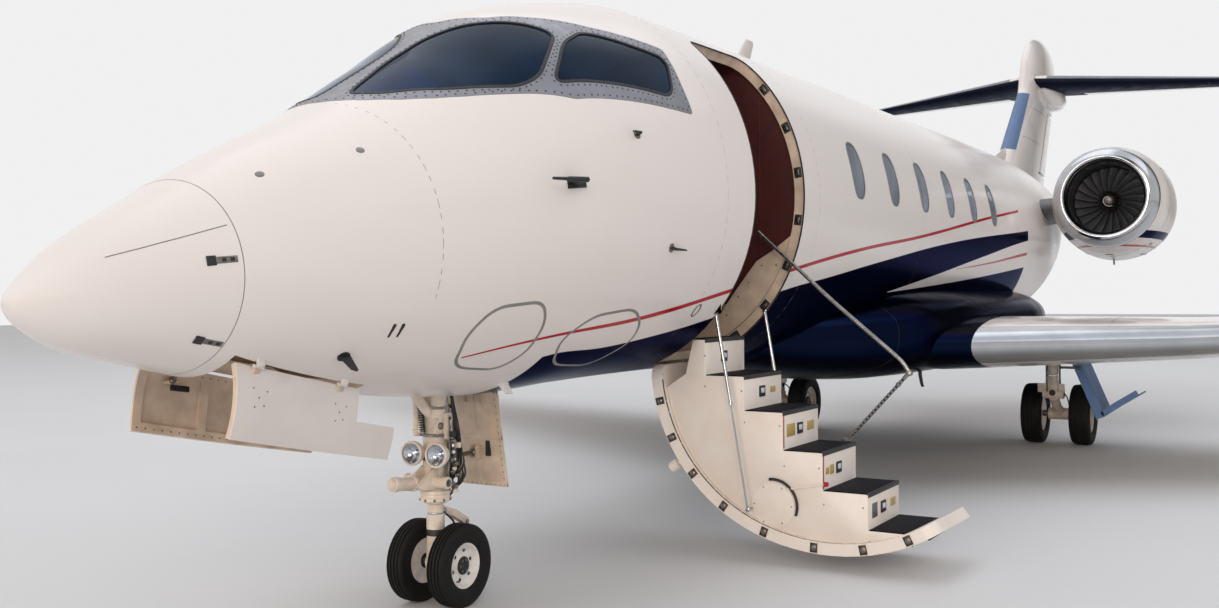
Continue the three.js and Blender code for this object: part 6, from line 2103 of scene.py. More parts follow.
def nose_fork():
    s = NOSE_LEG
    form = Form()
    form.turn(at(0, s, 0.3), at(0, s, 0.559), [(0, 0.038), (0.02, 0.044), (0.05, 0.048),
        (0.12, 0.05), (0.2, 0.05), (0.204, 0.0435), (0.258, 0.0435)], 36)
    form.turn(at(0, s, 0.503), at(0, s, 0.559), [(0, 0.044), (0.002, 0.0455), (0.01, 0.0455),
        (0.012, 0.044)], 36, 1)
    form.turn(at(0, s, 0.385), at(0, s, 0.425), [(0, 0.0492), (0.001, 0.0512), (0.034, 0.0516),
        (0.036, 0.05)], 36, 2)
    tapered_leg(form, [(0.262, 0.056, 0.066, 2.49), (0.3, 0.054, 0.064, 2.485),
        (0.34, 0.048, 0.052, 2.475), (0.38, 0.046, 0.048, s)])
    form.turn(at(-0.058, NOSE_AXLE, NOSE_R), at(0.058, NOSE_AXLE, NOSE_R),
        [(0, 0.052), (0.004, 0.0565), (0.112, 0.0565), (0.116, 0.052), (0.116, 0.0295),
        (0.0, 0.0295)], 36, closed=True)
    # torque links
    upper = [(2.52, 0.54), (2.5, 0.505), (2.6, 0.468), (2.725, 0.402), (2.74, 0.42), (2.735, 0.44),
        (2.62, 0.505)]
    lower = [(2.74, 0.4), (2.735, 0.43), (2.705, 0.438), (2.665, 0.35), (2.56, 0.332), (2.56, 0.3),
        (2.69, 0.302), (2.72, 0.345)]
    for x0, x1 in ((-0.026, -0.01), (0.01, 0.026)):
        web(form, upper, "x", x0, x1, 0, 0.003)
        web(form, lower, "x", x0, x1, 0, 0.003)
    web(form, [(2.56, 0.49), (2.6, 0.472), (2.66, 0.44), (2.63, 0.468)], "x", -0.01, 0.01, 0,
        0.002)
    rod(form, at(-0.032, 2.718, 0.42), at(0.032, 2.718, 0.42), 0.012, 1, 16)
    rod(form, at(-0.045, 2.505, 0.518), at(0.045, 2.505, 0.518), 0.014, 1, 16)
    rod(form, at(-0.03, 2.575, 0.322), at(0.03, 2.575, 0.322), 0.011, 1, 16)
    hose(form, [at(0.04, 2.51, 0.5), at(0.075, 2.545, 0.45), at(0.07, 2.55, 0.36),
        at(0.045, 2.53, 0.3)], 0.006, 2)
    form.build("nose_fork_casting", [GEAR_WHITE, CHROME, HOSE], "nose_steering", "gear_steel",
        ["nose_fork"], sharp=40)


def tyre_shape(radius, width, rim):
    """A tyre's profile as distance from its middle plane and radius, with tread grooves."""
    w = width / 2
    tread = []
    for groove in (-0.56, -0.2, 0.2, 0.56):
        g, half, deep = groove * w, 0.006, 0.006
        tread += [(g - half, 0), (g - half + 0.0015, -deep), (g + half - 0.0015, -deep),
            (g + half, 0)]

    def crown(x):
        return radius - 0.05 * width * (abs(x) / w) ** 2.2

    outer = [(-w * 0.76, rim), (-w * 0.84, rim + 0.008), (-w * 0.9, rim + 0.016),
        (-w * 0.93, rim + (radius - rim) * 0.16), (-w, rim + (radius - rim) * 0.45),
        (-w * 0.985, rim + (radius - rim) * 0.62), (-w * 0.94, rim + (radius - rim) * 0.78),
        (-w * 0.87, rim + (radius - rim) * 0.89)]
    outer += [(-w * 0.78, crown(w * 0.78) - 0.002), (-w * 0.68, crown(w * 0.68))]
    middle = [(x, crown(x) + d) for x, d in tread]
    dip = [(w * 0.7, rim + 0.001), (-w * 0.7, rim + 0.001)]
    return outer + middle + [(-x, r) for x, r in outer[::-1]] + dip


def tyre(form, x, station, radius, width, rim):
    start = at(x, station, radius)
    ahead = start + Vector((1, 0, 0))
    form.turn(start, ahead, tyre_shape(radius, width, rim), 96, closed=True)
    for side in (-1, 1):
        for share, wide in ((0.3, 0.0022), (0.55, 0.0016)):
            r = rim + (radius - rim) * share
            d = side * width / 2 * (0.965 if share < 0.5 else 0.992)
            form.turn(start, ahead, [(d - 0.003 * side, r - wide),
                (d + 0.001 * side, r - wide * 0.4), (d + 0.001 * side, r + wide * 0.4),
                (d - 0.003 * side, r + wide)], 96, closed=True)


def wheel(form, x, station, radius, width, rim, outward, spokes, dish=0.35):
    """A forged wheel half: flange, dish, tie bolts, hub cap, and black discs as painted shade for
    its holes.
    """
    start = at(x, station, radius)
    ahead = Vector((outward, 0, 0))
    w = width / 2
    profile = [(-w * 0.72, rim * 0.95), (-w * 0.74, rim - 0.001), (-w * 0.7, rim - 0.0005),
        (w * 0.7, rim - 0.0005), (w * 0.74, rim - 0.002), (w * 0.745, rim * 0.965),
        (w * 0.66, rim * 0.9), (w * 0.5, rim * 0.86), (w * dish, rim * 0.8),
        (w * dish * 0.72, rim * 0.7), (w * dish * 0.7, rim * 0.55), (w * dish * 0.85, rim * 0.46),
        (w * 0.42, rim * 0.42), (w * 0.42, rim * 0.3), (w * 0.38, rim * 0.001)]
    form.turn(start, start + ahead, profile, 64)
    cap = [(w * 0.36, rim * 0.4), (w * 0.47, rim * 0.4), (w * 0.53, rim * 0.37),
        (w * 0.56, rim * 0.3), (w * 0.6, rim * 0.16), (w * 0.57, rim * 0.1),
        (w * 0.57, rim * 0.001)]
    form.turn(start, start + ahead, cap, 32, 1)
    # the holes in the dish are black discs: painted shade in place of openings
    for k in range(spokes):
        a = 2 * math.pi * k / spokes + 0.3
        spoke = spoke_x(a)
        spot = start + spoke * rim * 0.63 + ahead * (w * dish * 0.7)
        form.turn(spot, spot + ahead, [(-0.002, rim * 0.085), (0.0015, rim * 0.085),
            (0.0015, rim * 0.07), (0.0005, rim * 0.065)], 20, 1)
        a += math.pi / spokes
        spoke = spoke_x(a)
        bolt(form, start + spoke * rim * 0.66 + ahead * (w * dish * 0.72), ahead, 0.0075, 2)
    for a in turns(6):
        spoke = spoke_x(a)
        bolt(form, start + spoke * rim * 0.24 + ahead * (w * 0.57), ahead, 0.005, 2)
    spot = start + Vector((0, -0.5, -0.85)).normalized() * rim * 0.74 + ahead * (w * dish * 0.74)
    rod(form, spot, spot + ahead * 0.022, 0.005, 2, 10)


def nose_wheels():
    form, rubber = Form(), {1: Form(), -1: Form()}
    rod(form, at(-0.128, NOSE_AXLE, NOSE_R), at(0.128, NOSE_AXLE, NOSE_R), 0.0275, 2, 24)
    for side in (1, -1):
        wheel(form, NOSE_OFF * side, NOSE_AXLE, NOSE_R, NOSE_WIDTH, NOSE_RIM, side, 3)
        start = at(NOSE_OFF * side, NOSE_AXLE, NOSE_R)
        inner = Vector((-side, 0, 0))
        form.turn(start, start + inner, [(0.02, 0.1), (0.042, 0.108), (0.0425, 0.118),
            (0.0415, 0.118), (0.022, 0.102), (0.018, 0.09), (0.022, 0.05), (0.03, 0.034)], 48)
        form.turn(start, start + inner, [(0.019, 0.072), (0.0235, 0.07), (0.026, 0.052),
            (0.036, 0.048), (0.044, 0.04)], 40, 1)
        for a in turns(6):
            spoke = spoke_x(a)
            bolt(form, start + spoke * 0.082 + inner * 0.0195, inner, 0.006, 2)
        tyre(rubber[side], NOSE_OFF * side, NOSE_AXLE, NOSE_R, NOSE_WIDTH, NOSE_RIM + 0.0005)
    form.build("nose_wheels_forged", [WHEEL_WHITE, PANEL_BLACK, STEEL], "nose_wheels",
        "gear_white", ["nose_wheel_hubs"], sharp=40)
    for name, side in SIDES:
        rubber[side].build("nose_tyre_moulded_" + name, [TYRE], "nose_wheels", "tyre_rubber",
            ["nose_tyre_" + name], sharp=40)


def nose_leg_door():
    form = Form()
    outer = [(2.792, 1.175), (2.8, 1.175), (2.905, 0.6), (2.897, 0.6)]
    web(form, outer, "x", -0.165, 0.185, 1, 0.0015)
    liner = [(2.7765, 1.17), (2.79, 1.17), (2.895, 0.605), (2.8845, 0.605)]
    web(form, liner, "x", -0.163, 0.183, 0, 0.001)
    pan = [(2.774, 1.172), (2.791, 1.172), (2.896, 0.603), (2.882, 0.603)]
    for x0, x1 in ((-0.165, -0.14), (0.16, 0.185), (-0.006, 0.026)):
        web(form, pan, "x", x0, x1, 0, 0.003)

    def face(z):
        """Station of the door's forward face."""
        return 2.774 + (1.172 - z) * 0.1898

    for z0, z1 in ((1.172, 1.145), (0.625, 0.603), (0.9, 0.875)):
        s0, s1 = face(z0), face(z1)
        web(form, [(s0, z0), (s0 + 0.017, z0), (s1 + 0.017, z1), (s1, z1)], "x", -0.165, 0.185, 0,
            0.003)
    heads = []
    for z in np.arange(0.615, 1.17, 0.038):
        heads += [(at(x, face(z), z), (0, -1, -0.19)) for x in (-0.152, 0.172)]
    for x in np.arange(-0.13, 0.16, 0.034):
        heads += [(at(x, face(z), z), (0, -1, -0.19)) for z in (1.158, 0.614)]
    form.add(buttons(heads, 0.0045, 0.002), 2)
    rod(form, at(0, 2.533, 0.8), at(0, 2.845, 0.8), 0.014, 2, 18,
        [(0.0, 0.03, 0.018), (0.26, 0.03, 0.02)])
    for x in (-0.03, 0.018):
        web(form, [(2.8, 0.76), (2.86, 0.76), (2.86, 0.84), (2.8, 0.84)], "x", x, x + 0.012, 0)
    for x in (-0.06, 0.035):
        web(form, [(2.772, 1.085), (2.8, 1.085), (2.82, 1.15), (2.8, 1.19), (2.78, 1.19)], "x", x,
            x + 0.025, 0)
    form.box((0.07, 2.832, 0.78), (0.1, 2.852, 0.87), 0.003, 3)
    form.build("nose_leg_door_panel", [CREAM_COAT, PLAIN_WHITE, STEEL, PANEL_BLACK], AIRFRAME,
        "door_cream", ["nose_leg_door"], sharp=40)


# Nose bay: the doors' swing, half the bay's width, the port hinge line, and the port door's
# outline as station and place across.
BAY_SWING = math.radians(-76)
BAY_HALF = 0.33
BAY_HINGE = (at(0.322, 0.8, 1.427), at(0.322, 1.55, 1.261))
BAY_OUTLINE = ((0.815, 0.318), (1.55, 0.318), (1.55, 0.172), (1.85, 0.172), (1.85, 0.012),
    (0.815, 0.012))


def bay_door_turn():
    start, end = BAY_HINGE
    turn = Matrix.Rotation(BAY_SWING, 4, (end - start).normalized())
    return Matrix.Translation(start) @ turn @ Matrix.Translation(-start)


def on_belly(outline):
    return [(s, angle_at(s, x)) for s, x in filled_in(outline, 0.04, 1.0)]


def bay_doors():
    start, end = BAY_HINGE
    ahead = (end - start).normalized()
    stations, angles = spread(0.8, 1.9, 0.05), spread(-92, -40, 2.5)
    outline = on_belly(BAY_OUTLINE)
    frame_in = [(0.86, 0.275), (1.16, 0.275), (1.16, 0.055), (0.86, 0.055)]
    frame_out = [(1.21, 0.275), (1.505, 0.275), (1.505, 0.13), (1.805, 0.13), (1.805, 0.055),
        (1.21, 0.055)]
    for name, side in SIDES:
        form = Form()
        thick_skin(form, cut_sheet(outline, [], stations, angles), 0.0, 0.005, (0, 0, 1))
        ribs = cut_sheet(outline, [on_belly(frame_in), on_belly(frame_out)], stations, angles)
        thick_skin(form, ribs, 0.005, 0.017, (1, 1, 1))
        heads = []
        for s in np.arange(0.84, 1.83, 0.045):
            heads.append((skin(s, angle_at(s, 0.03), 0.0222), -skin_normal(s, -88.0)))
            if s < 1.53:
                a = angle_at(s, 0.3)
                heads.append((skin(s, a, 0.0222), -skin_normal(s, a)))
        form.add(buttons(heads, 0.0045, 0.0018), 2)
        outside = []
        for s0 in (0.93, 1.42):
            for ds, dx in ((0, 0), (0.045, 0.03), (-0.03, 0.035), (0.03, -0.03), (-0.02, -0.04)):
                a = angle_at(s0 + ds, 0.2 + dx)
                outside.append((skin(s0 + ds, a), skin_normal(s0 + ds, a)))
        form.add(buttons(outside, 0.0045, 0.001), 2)
        for distance in (0.09, 0.6):
            a, b = start + ahead * distance, start + ahead * (distance + 0.06)
            rod(form, a, b, 0.0088, 0, 16)
            s = a.y + HALF
            low = (a.z + b.z) / 2
            form.box((0.292, s + 0.006, low - 0.004), (0.314, s + 0.05, low + 0.018), 0.003, 1)
        # the link that pulls the door shut, on its bracket
        foot = Vector(skin(0.98, angle_at(0.98, 0.25), 0.022))
        top = at(0.29, 0.955, 1.56)
        web(form, [(0.955, foot.z - 0.004), (1.02, foot.z - 0.004), (1.0, foot.z + 0.05),
            (0.975, foot.z + 0.05)], "x", 0.235, 0.247, 1)
        rod(form, foot + Vector((0.0, 0.0, 0.03)), top.lerp(foot, 0.25), 0.011, 2, 14,
            [(0.0, 0.02, 0.016)])
        form.box((0.205, 0.985, foot.z - 0.002), (0.232, 1.075, foot.z + 0.012), 0.003, 3)
        form.moved(bay_door_turn())
        form.build("bay_door_skin_" + name, [PLAIN_WHITE, CREAM_COAT, STEEL, PANEL_BLACK],
            "bay_door_" + name, "paint_white", ["nose_bay_door_" + name], side=side)


def nose_bay():
    """The wheel bay's walls, roof and frames."""
    form = Form()

    def low(station):
        return float(skin(station, angle_at(station, BAY_HALF))[2]) + 0.012

    for side in (1, -1):
        x = BAY_HALF * side
        lo, hi = sorted((x, x + 0.006 * side))
        for start, end, top in ((0.79, 1.76, 1.79), (1.7, 2.75, 1.57)):
            outline = [(s, low(s)) for s in spread(start, end, 0.06)] + [(end, top), (start, top)]
            form.add(plate(outline, "x", lo, hi, 0.0))
        lo, hi = sorted((x, x - 0.022 * side))
        frames = [(s, 0.026, 1.78) for s in (1.0, 1.25, 1.5)] + [(s, 0.0, 1.56)
            for s in (1.9, 2.2, 2.62)]
        for s, gap, top in frames:
            form.box((lo, s, low(s) + gap), (hi, s + 0.012, top), 0.003)
    sheets = [(BAY_HALF, s, low(s) - 0.002, s + 0.006, top) for s, top in ((0.784, 1.79),
        (2.75, 1.57))]
    sheets += [(BAY_HALF, 1.76, 1.57, 1.766, 1.796), (0.336, 0.79, 1.79, 1.766, 1.796),
        (0.336, 1.7, 1.57, 2.756, 1.576)]
    for wide, start, base, end, top in sheets:
        form.box((-wide, start, base), (wide, end, top), 0.001)
    for x in (-0.2, 0.0, 0.2):
        form.box((x - 0.006, 0.8, 1.765), (x + 0.006, 1.75, 1.79), 0.003)
    for k, x in enumerate((-0.28, -0.255, 0.27, 0.29)):
        hose(form, [at(x, 0.83, 1.62), at(x, 1.2, 1.64 + 0.01 * k), at(x, 1.72, 1.6),
            at(x, 1.9, 1.5), at(x, 2.6, 1.49)], 0.008, 1 if k % 2 else 2)
    for distance in (0.09, 0.6):
        start, end = BAY_HINGE
        a = start + (end - start).normalized() * distance
        s, z = a.y + HALF, a.z
        for side in (1, -1):
            lo, hi = sorted((side * 0.3315, side * 0.348))
            form.box((lo, s + 0.008, z - 0.005), (hi, s + 0.046, z + 0.046), 0.003, 3)
    form.build("nose_bay_lining", [CREAM_COAT, HOSE, STEEL, PLAIN_WHITE], AIRFRAME, "door_cream")


def main_gear():
    s, x, r = MAIN_AXLE, MAIN_X, MAIN_R
    for name, side in SIDES:
        form = Form()
        top, foot = at(x, s - 0.303, 1.13), at(x, s - 0.33, 0.56)
        form.turn(foot, top, [(0, 0.058), (0.008, 0.07), (0.07, 0.072), (0.09, 0.064),
            (0.25, 0.066), (0.38, 0.071), (0.5, 0.072), (0.565, 0.07)], 40)
        rod(form, foot, at(x, s, r), 0.052, 0, 28, [(0.27, 0.06, 0.06)])
        rod(form, at(x - 0.11, s - 0.33, 0.59), at(x + 0.11, s - 0.33, 0.59), 0.058, 0, 32,
            [(0.0, 0.02, 0.062), (0.2, 0.02, 0.062)])
        form.turn(at(x - 0.112, s, r), at(x + 0.112, s, r), [(0, 0.06), (0.006, 0.066),
            (0.218, 0.066), (0.224, 0.06), (0.224, 0.0365), (0, 0.0365)], 36, closed=True)
        rod(form, at(x, s - 0.02, r + 0.02), at(x, s - 0.165, 0.742), 0.024, 1, 24,
            [(0.1, 0.02, 0.03)])
        rod(form, at(x, s - 0.12, 0.64), at(x, s - 0.258, 1.112), 0.045, 0, 32,
            [(0.0, 0.03, 0.05), (0.43, 0.03, 0.05)])
        rod(form, at(x, s - 0.3, 0.9), at(x - 0.24, s - 0.3, 1.06), 0.026, 0, 20)
        for z in (0.78, 0.9):
            clamp(form, x, s - 0.32, z, 0.072, 28)
        rod(form, at(x, s - 0.31, 1.0), at(x, s - 0.395, 1.0), 0.052, 0, 32,
            [(0.06, 0.015, 0.058)])
        rod(form, at(x, s - 0.39, 1.0), at(x, s - 0.4, 1.0), 0.02, 1, 20)
        rod(form, at(x, s - 0.33, 0.6), at(x, s - 0.4, 0.6), 0.05, 0, 32)
        rod(form, at(x, s - 0.395, 0.6), at(x, s - 0.402, 0.6), 0.034, 2, 28)
        web(form, [(s - 0.38, 0.7), (s - 0.36, 0.7), (s - 0.33, 0.62), (s - 0.37, 0.6)], "x",
            x - 0.16, x + 0.12, 0, 0.004)
        for k, turn in enumerate((200, 222, 318, 340)):
            a = math.radians(turn)
            spoke = Vector((math.cos(a), math.sin(a), 0)) * 0.079
            hose(form, [at(x, s - 0.325, 0.6) + spoke, at(x, s - 0.34, 0.75) + spoke,
                at(x, s - 0.32, 0.95) + spoke, at(x, s - 0.31, 1.1) + spoke], 0.006,
                2 if k % 2 else 1)
        for out in (-1, 1):
            hose(form, [at(x + 0.06 * out, s - 0.3, 0.62), at(x + 0.115 * out, s - 0.2, 0.56),
                at(x + 0.118 * out, s - 0.08, 0.46), at(x + 0.112 * out, s - 0.03, 0.4)], 0.007, 2)
        form.build("main_leg_casting_" + name, [GEAR_WHITE, CHROME, HOSE], AIRFRAME, "gear_white",
            ["main_leg_" + name], sharp=40, side=side)
        form = Form()
        rod(form, at(x - 0.225, s, r), at(x + 0.225, s, r), 0.034, 2, 28)
        for out in (1, -1):
            wheel(form, x + MAIN_OFF * out, s, r, MAIN_WIDTH, MAIN_RIM, out, 9, 0.5)
            start = at(x + MAIN_OFF * out, s, r)
            form.turn(start, start - Vector((out, 0, 0)), [(0.02, 0.15), (0.075, 0.165),
                (0.078, 0.19), (0.0765, 0.19), (0.06, 0.16), (0.05, 0.09), (0.055, 0.045)], 48, 2)
        form.build("main_wheels_forged_" + name, [GEAR_WHITE, PANEL_BLACK, STEEL],
            "main_wheels_" + name, "gear_white", ["main_wheel_hubs_" + name], sharp=40, side=side)
        for where, out in (("outer", 1), ("inner", -1)):
            form = Form()
            tyre(form, x + MAIN_OFF * out, s, r, MAIN_WIDTH, MAIN_RIM + 0.0008)
            form.build("main_tyre_moulded_%s_%s" % (where, name), [TYRE], "main_wheels_" + name,
                "tyre_rubber", ["main_tyre_%s_%s" % (where, name)], sharp=40, side=side)
        main_door(name, side)


def main_door(name, side):
    """The blue leg door hanging outboard of the wheels, with its inner ribs."""
    line = [(1.878, 1.04), (2.166, 0.345), (2.295, 0.452), (2.516, 0.597)]
    form = Form()
    for outer, inner, finish in ((0.009, 0.003, 0), (0.003, -0.009, 1)):
        far, near = offset_line(line, outer), offset_line(line, inner)
        for k in range(len(line) - 1):
            outline = [far[k], far[k + 1], near[k + 1], near[k]]
            form.add(plate(outline, "station", MAIN_DOOR_FROM, MAIN_DOOR_TO, 0.0), finish)
    for part, near, far in ((line[:2], -0.009, -0.085), (line[1:], 0.009, 0.06)):
        a, b = offset_line(part, near), offset_line(part, far)
        for k in range(len(part) - 1):
            form.add(plate([a[k], a[k + 1], b[k + 1], b[k]], "station", MAIN_DOOR_FROM,
                MAIN_DOOR_FROM + 0.012, 0.0))
    for station in (11.19, 11.36, 11.56, 11.735):
        rib = offset_line(line[:2], -0.009) + offset_line(line[:2], -0.028)[::-1]
        form.add(plate(rib, "station", station, station + 0.014, 0.002), 1)
    heads = []
    for share in np.linspace(0.05, 0.95, 14):
        p = np.array(line[0]) + (np.array(line[1]) - np.array(line[0])) * share
        for station in (11.2, 11.74):
            heads.append((at(p[0] + 0.009, station, p[1] + 0.004), (0.92, 0, 0.38)))
    form.add(buttons(heads, 0.005, 0.0015), 2)
    rod(form, at(1.7, 11.155, 0.875), at(1.94, 11.155, 0.875), 0.014, 2, 16,
        [(0.0, 0.03, 0.018), (0.2, 0.03, 0.02)])
    web(form, [(1.7, 0.862), (1.952, 0.862), (1.952, 0.888), (1.7, 0.888)], "station", 11.165,
        11.2, 1)
    form.build("main_door_panel_" + name, [DOOR_BLUE, DOOR_BLUE, STEEL], AIRFRAME, "paint_navy",
        ["main_gear_door_" + name], sharp=35, side=side)


def offset_line(line, distance):
    """An open line of flat points moved sideways."""
    made = []
    for i, p in enumerate(line):
        before = Vector(line[max(i - 1, 0)])
        after = Vector(line[min(i + 1, len(line) - 1)])
        ahead = (after - before).normalized()
        made.append((p[0] - ahead.y * distance, p[1] + ahead.x * distance))
    return made


# Inside: carpet, hide-covered bulkhead, panel and seats.
def cushion(size, crown, channels, steps=18, pull=0.012):
    """A stuffed form: crowned faces, sides that pull in between the corners, sewn channels."""
    a, b, c = (v / 2 for v in size)
    rings = []
    for i in range(steps + 1):
        v = math.pi * i / steps - math.pi / 2
        rise = math.copysign(abs(math.sin(v)) ** crown, v)
        round_in = abs(math.cos(v)) ** (crown * 0.7)
        ring = []
        for t in turns(3 * steps):
            x, y = squarish(t, 0.34)
            waist = pull * abs(math.cos(2 * t)) ** 1.5 * round_in
            px, py = x * (a * round_in - waist), y * (b * round_in - waist)
            top = c * rise * (0.86 + 0.14 * (1 - (px / a) ** 2) * (1 - (py / b) ** 2))
            for n in range(channels):
                seam = -a + 2 * a * (n + 1) / (channels + 1)
                top -= math.copysign(0.012 * math.exp(-((px - seam) / 0.012) ** 2), top)
            ring.append(Vector((px, py, top)))
        rings.append(ring)
    return loft(rings)


def soft_piece(name, shape, matrix, finish, slot, node):
    form = Form()
    form.add(shape, 0, matrix)
    piece = form.build(name, [finish], AIRFRAME, slot, [node], sharp=70)
    return piece


def one_seat(label, x, station, width, hide, slot, node, arms):
    z = FLOOR_TOP
    base = Form()
    base.box((x - width * 0.25, station - 0.18, z + 0.001), (x + width * 0.25, station + 0.16,
        z + 0.285), 0.02)
    base.box((x - width * 0.42, station - 0.22, z + 0.25), (x + width * 0.42, station + 0.2,
        z + 0.31), 0.015)
    for side in (-1, 1):
        base.box((x + side * width * 0.2 - 0.015, station - 0.25, z + 0.001),
            (x + side * width * 0.2 + 0.015, station + 0.24, z + 0.02), 0.004, 1)
    # the shell behind the backrest and a lap belt
    shell = [(station + 0.22, z + 0.34), (station + 0.262, z + 0.34), (station + 0.402, z + 1.0),
        (station + 0.37, z + 1.02)]
    base.add(plate(shell, "x", x - width * 0.46, x + width * 0.46, 0.012))
    for side in (-1, 1):
        hang = [at(x + side * width * 0.47, station + 0.12, z + 0.42),
            at(x + side * width * 0.3, station + 0.02, z + 0.452),
            at(x + side * 0.04, station - 0.05, z + 0.448)]
        base.add(tube(hang, [0.012, 0.009, 0.009], 8, 4), 1)
    base.build("seat_frame_" + label, [PANEL_BLACK, STEEL], AIRFRAME, slot, [node])
    seat = Matrix.Translation(at(x, station - 0.01, z + 0.365))
    soft_piece("seat_cushion_" + label, cushion((width * 0.97, 0.46, 0.13), 0.55, 2), seat, hide,
        slot, node)
    lean = math.atan2(0.15, 0.67)
    back = Matrix.Translation(at(x, station + 0.245, z + 0.685)) @ Matrix.Rotation(
        math.pi / 2 - lean, 4, "X")
    soft_piece("seat_back_" + label, cushion((width * 0.96, 0.62, 0.095), 0.55, 3), back, hide,
        slot, node)
    head = Matrix.Translation(at(x, station + 0.368, z + 1.085)) @ Matrix.Rotation(
        math.pi / 2 - lean * 0.5, 4, "X")
    soft_piece("headrest_" + label, cushion((width * 0.5, 0.185, 0.085), 0.6, 0, 14), head, hide,
        slot, node)
    if arms:
        for way, side in (("l", -1), ("r", 1)):
            arm = Matrix.Translation(at(x + side * width / 2, station + 0.04, z + 0.56))
            soft_piece("armrest_%s_%s" % (label, way), cushion((0.055, 0.37, 0.055), 0.6, 0, 12,
                0.003), arm, hide, slot, node)
            post = Form()
            post.box((x + side * width / 2 - 0.014, station - 0.02, z + 0.3),
                (x + side * width / 2 + 0.014, station + 0.2, z + 0.535), 0.006)
            post.build("armrest_post_%s_%s" % (label, way), [PANEL_BLACK], AIRFRAME, slot, [node])


def seats():
    for name, side in SIDES:
        one_seat("pilot_" + name, 0.42 * side, 3.02, 0.44, HIDE_RED, "leather_red", "pilot_seats",
            True)
        for k, station in enumerate((6.5, 8.3, 10.1)):
            one_seat("cabin_%s_%d" % (name, k + 1), 0.52 * side, station, 0.52, HIDE_CREAM,
                "leather_cream", "cabin_seats", False)


def flight_deck():
    form = Form()
    dash = [(1.99, 2.33), (2.06, 2.43), (2.33, 2.43), (2.352, 2.4), (2.25, 2.07), (2.12, 2.06)]
    form.add(plate(dash, "x", -0.63, 0.63, 0.012))
    shade = [(2.0, 2.425), (2.36, 2.425), (2.362, 2.438), (2.0, 2.438)]
    form.add(plate(shade, "x", -0.638, 0.638, 0.006))
    slope = math.atan2(2.4 - 2.07, 2.352 - 2.25)
    face = Matrix.Rotation(slope - math.pi, 4, "X")
    for x in (-0.5, -0.17, 0.17, 0.5):
        wide = 0.115 if abs(x) > 0.3 else 0.135
        spot = Matrix.Translation(at(x, 2.305, 2.24)) @ face
        form.add(tapered_box((-wide - 0.012, -0.105, -0.012), (wide + 0.012, 0.105, 0.004), 0.004),
            1, spot)
        form.add(tapered_box((-wide, -0.092, 0.0), (wide, 0.092, 0.0065), 0.002), 2, spot)
    pedestal = [(2.33, 2.01), (2.62, 1.95), (2.615, 1.9), (2.555, 1.635), (2.19, 1.635),
        (2.14, 2.0)]
    form.add(plate(pedestal, "x", -0.128, 0.128, 0.012))
    for x in (-0.06, -0.02, 0.02, 0.06):
        rod(form, at(x, 2.44, 1.985), at(x, 2.41, 2.075), 0.005, 3, 10)
        form.box((x - 0.014, 2.398, 2.068), (x + 0.014, 2.42, 2.098), 0.006, 1)
    heads = []
    for x in np.linspace(-0.1, 0.1, 6):
        for s in (2.48, 2.515, 2.55, 2.585):
            heads.append((at(x, s, 1.9785 - (s - 2.48) * 0.2), (0, -0.2, 1)))
    form.add(buttons(heads, 0.008, 0.008, 10), 1)
    for side in (-1, 1):
        x = 0.42 * side
        rod(form, at(x, 2.3, 2.02), at(x, 2.52, 2.0), 0.014, 0, 14)
        wheel_path = [at(x - 0.13, 2.5, 2.1), at(x - 0.14, 2.52, 2.02), at(x - 0.07, 2.525, 1.985),
            at(x, 2.525, 2.0), at(x + 0.07, 2.525, 1.985), at(x + 0.14, 2.52, 2.02),
            at(x + 0.13, 2.5, 2.1)]
        form.add(tube(wheel_path, 0.012, 12, 4))
    form.build("flight_deck_panel", [PANEL_BLACK, GREY_COAT, DISPLAY, STEEL], AIRFRAME,
        "panel_dark", ["instrument_panel"])


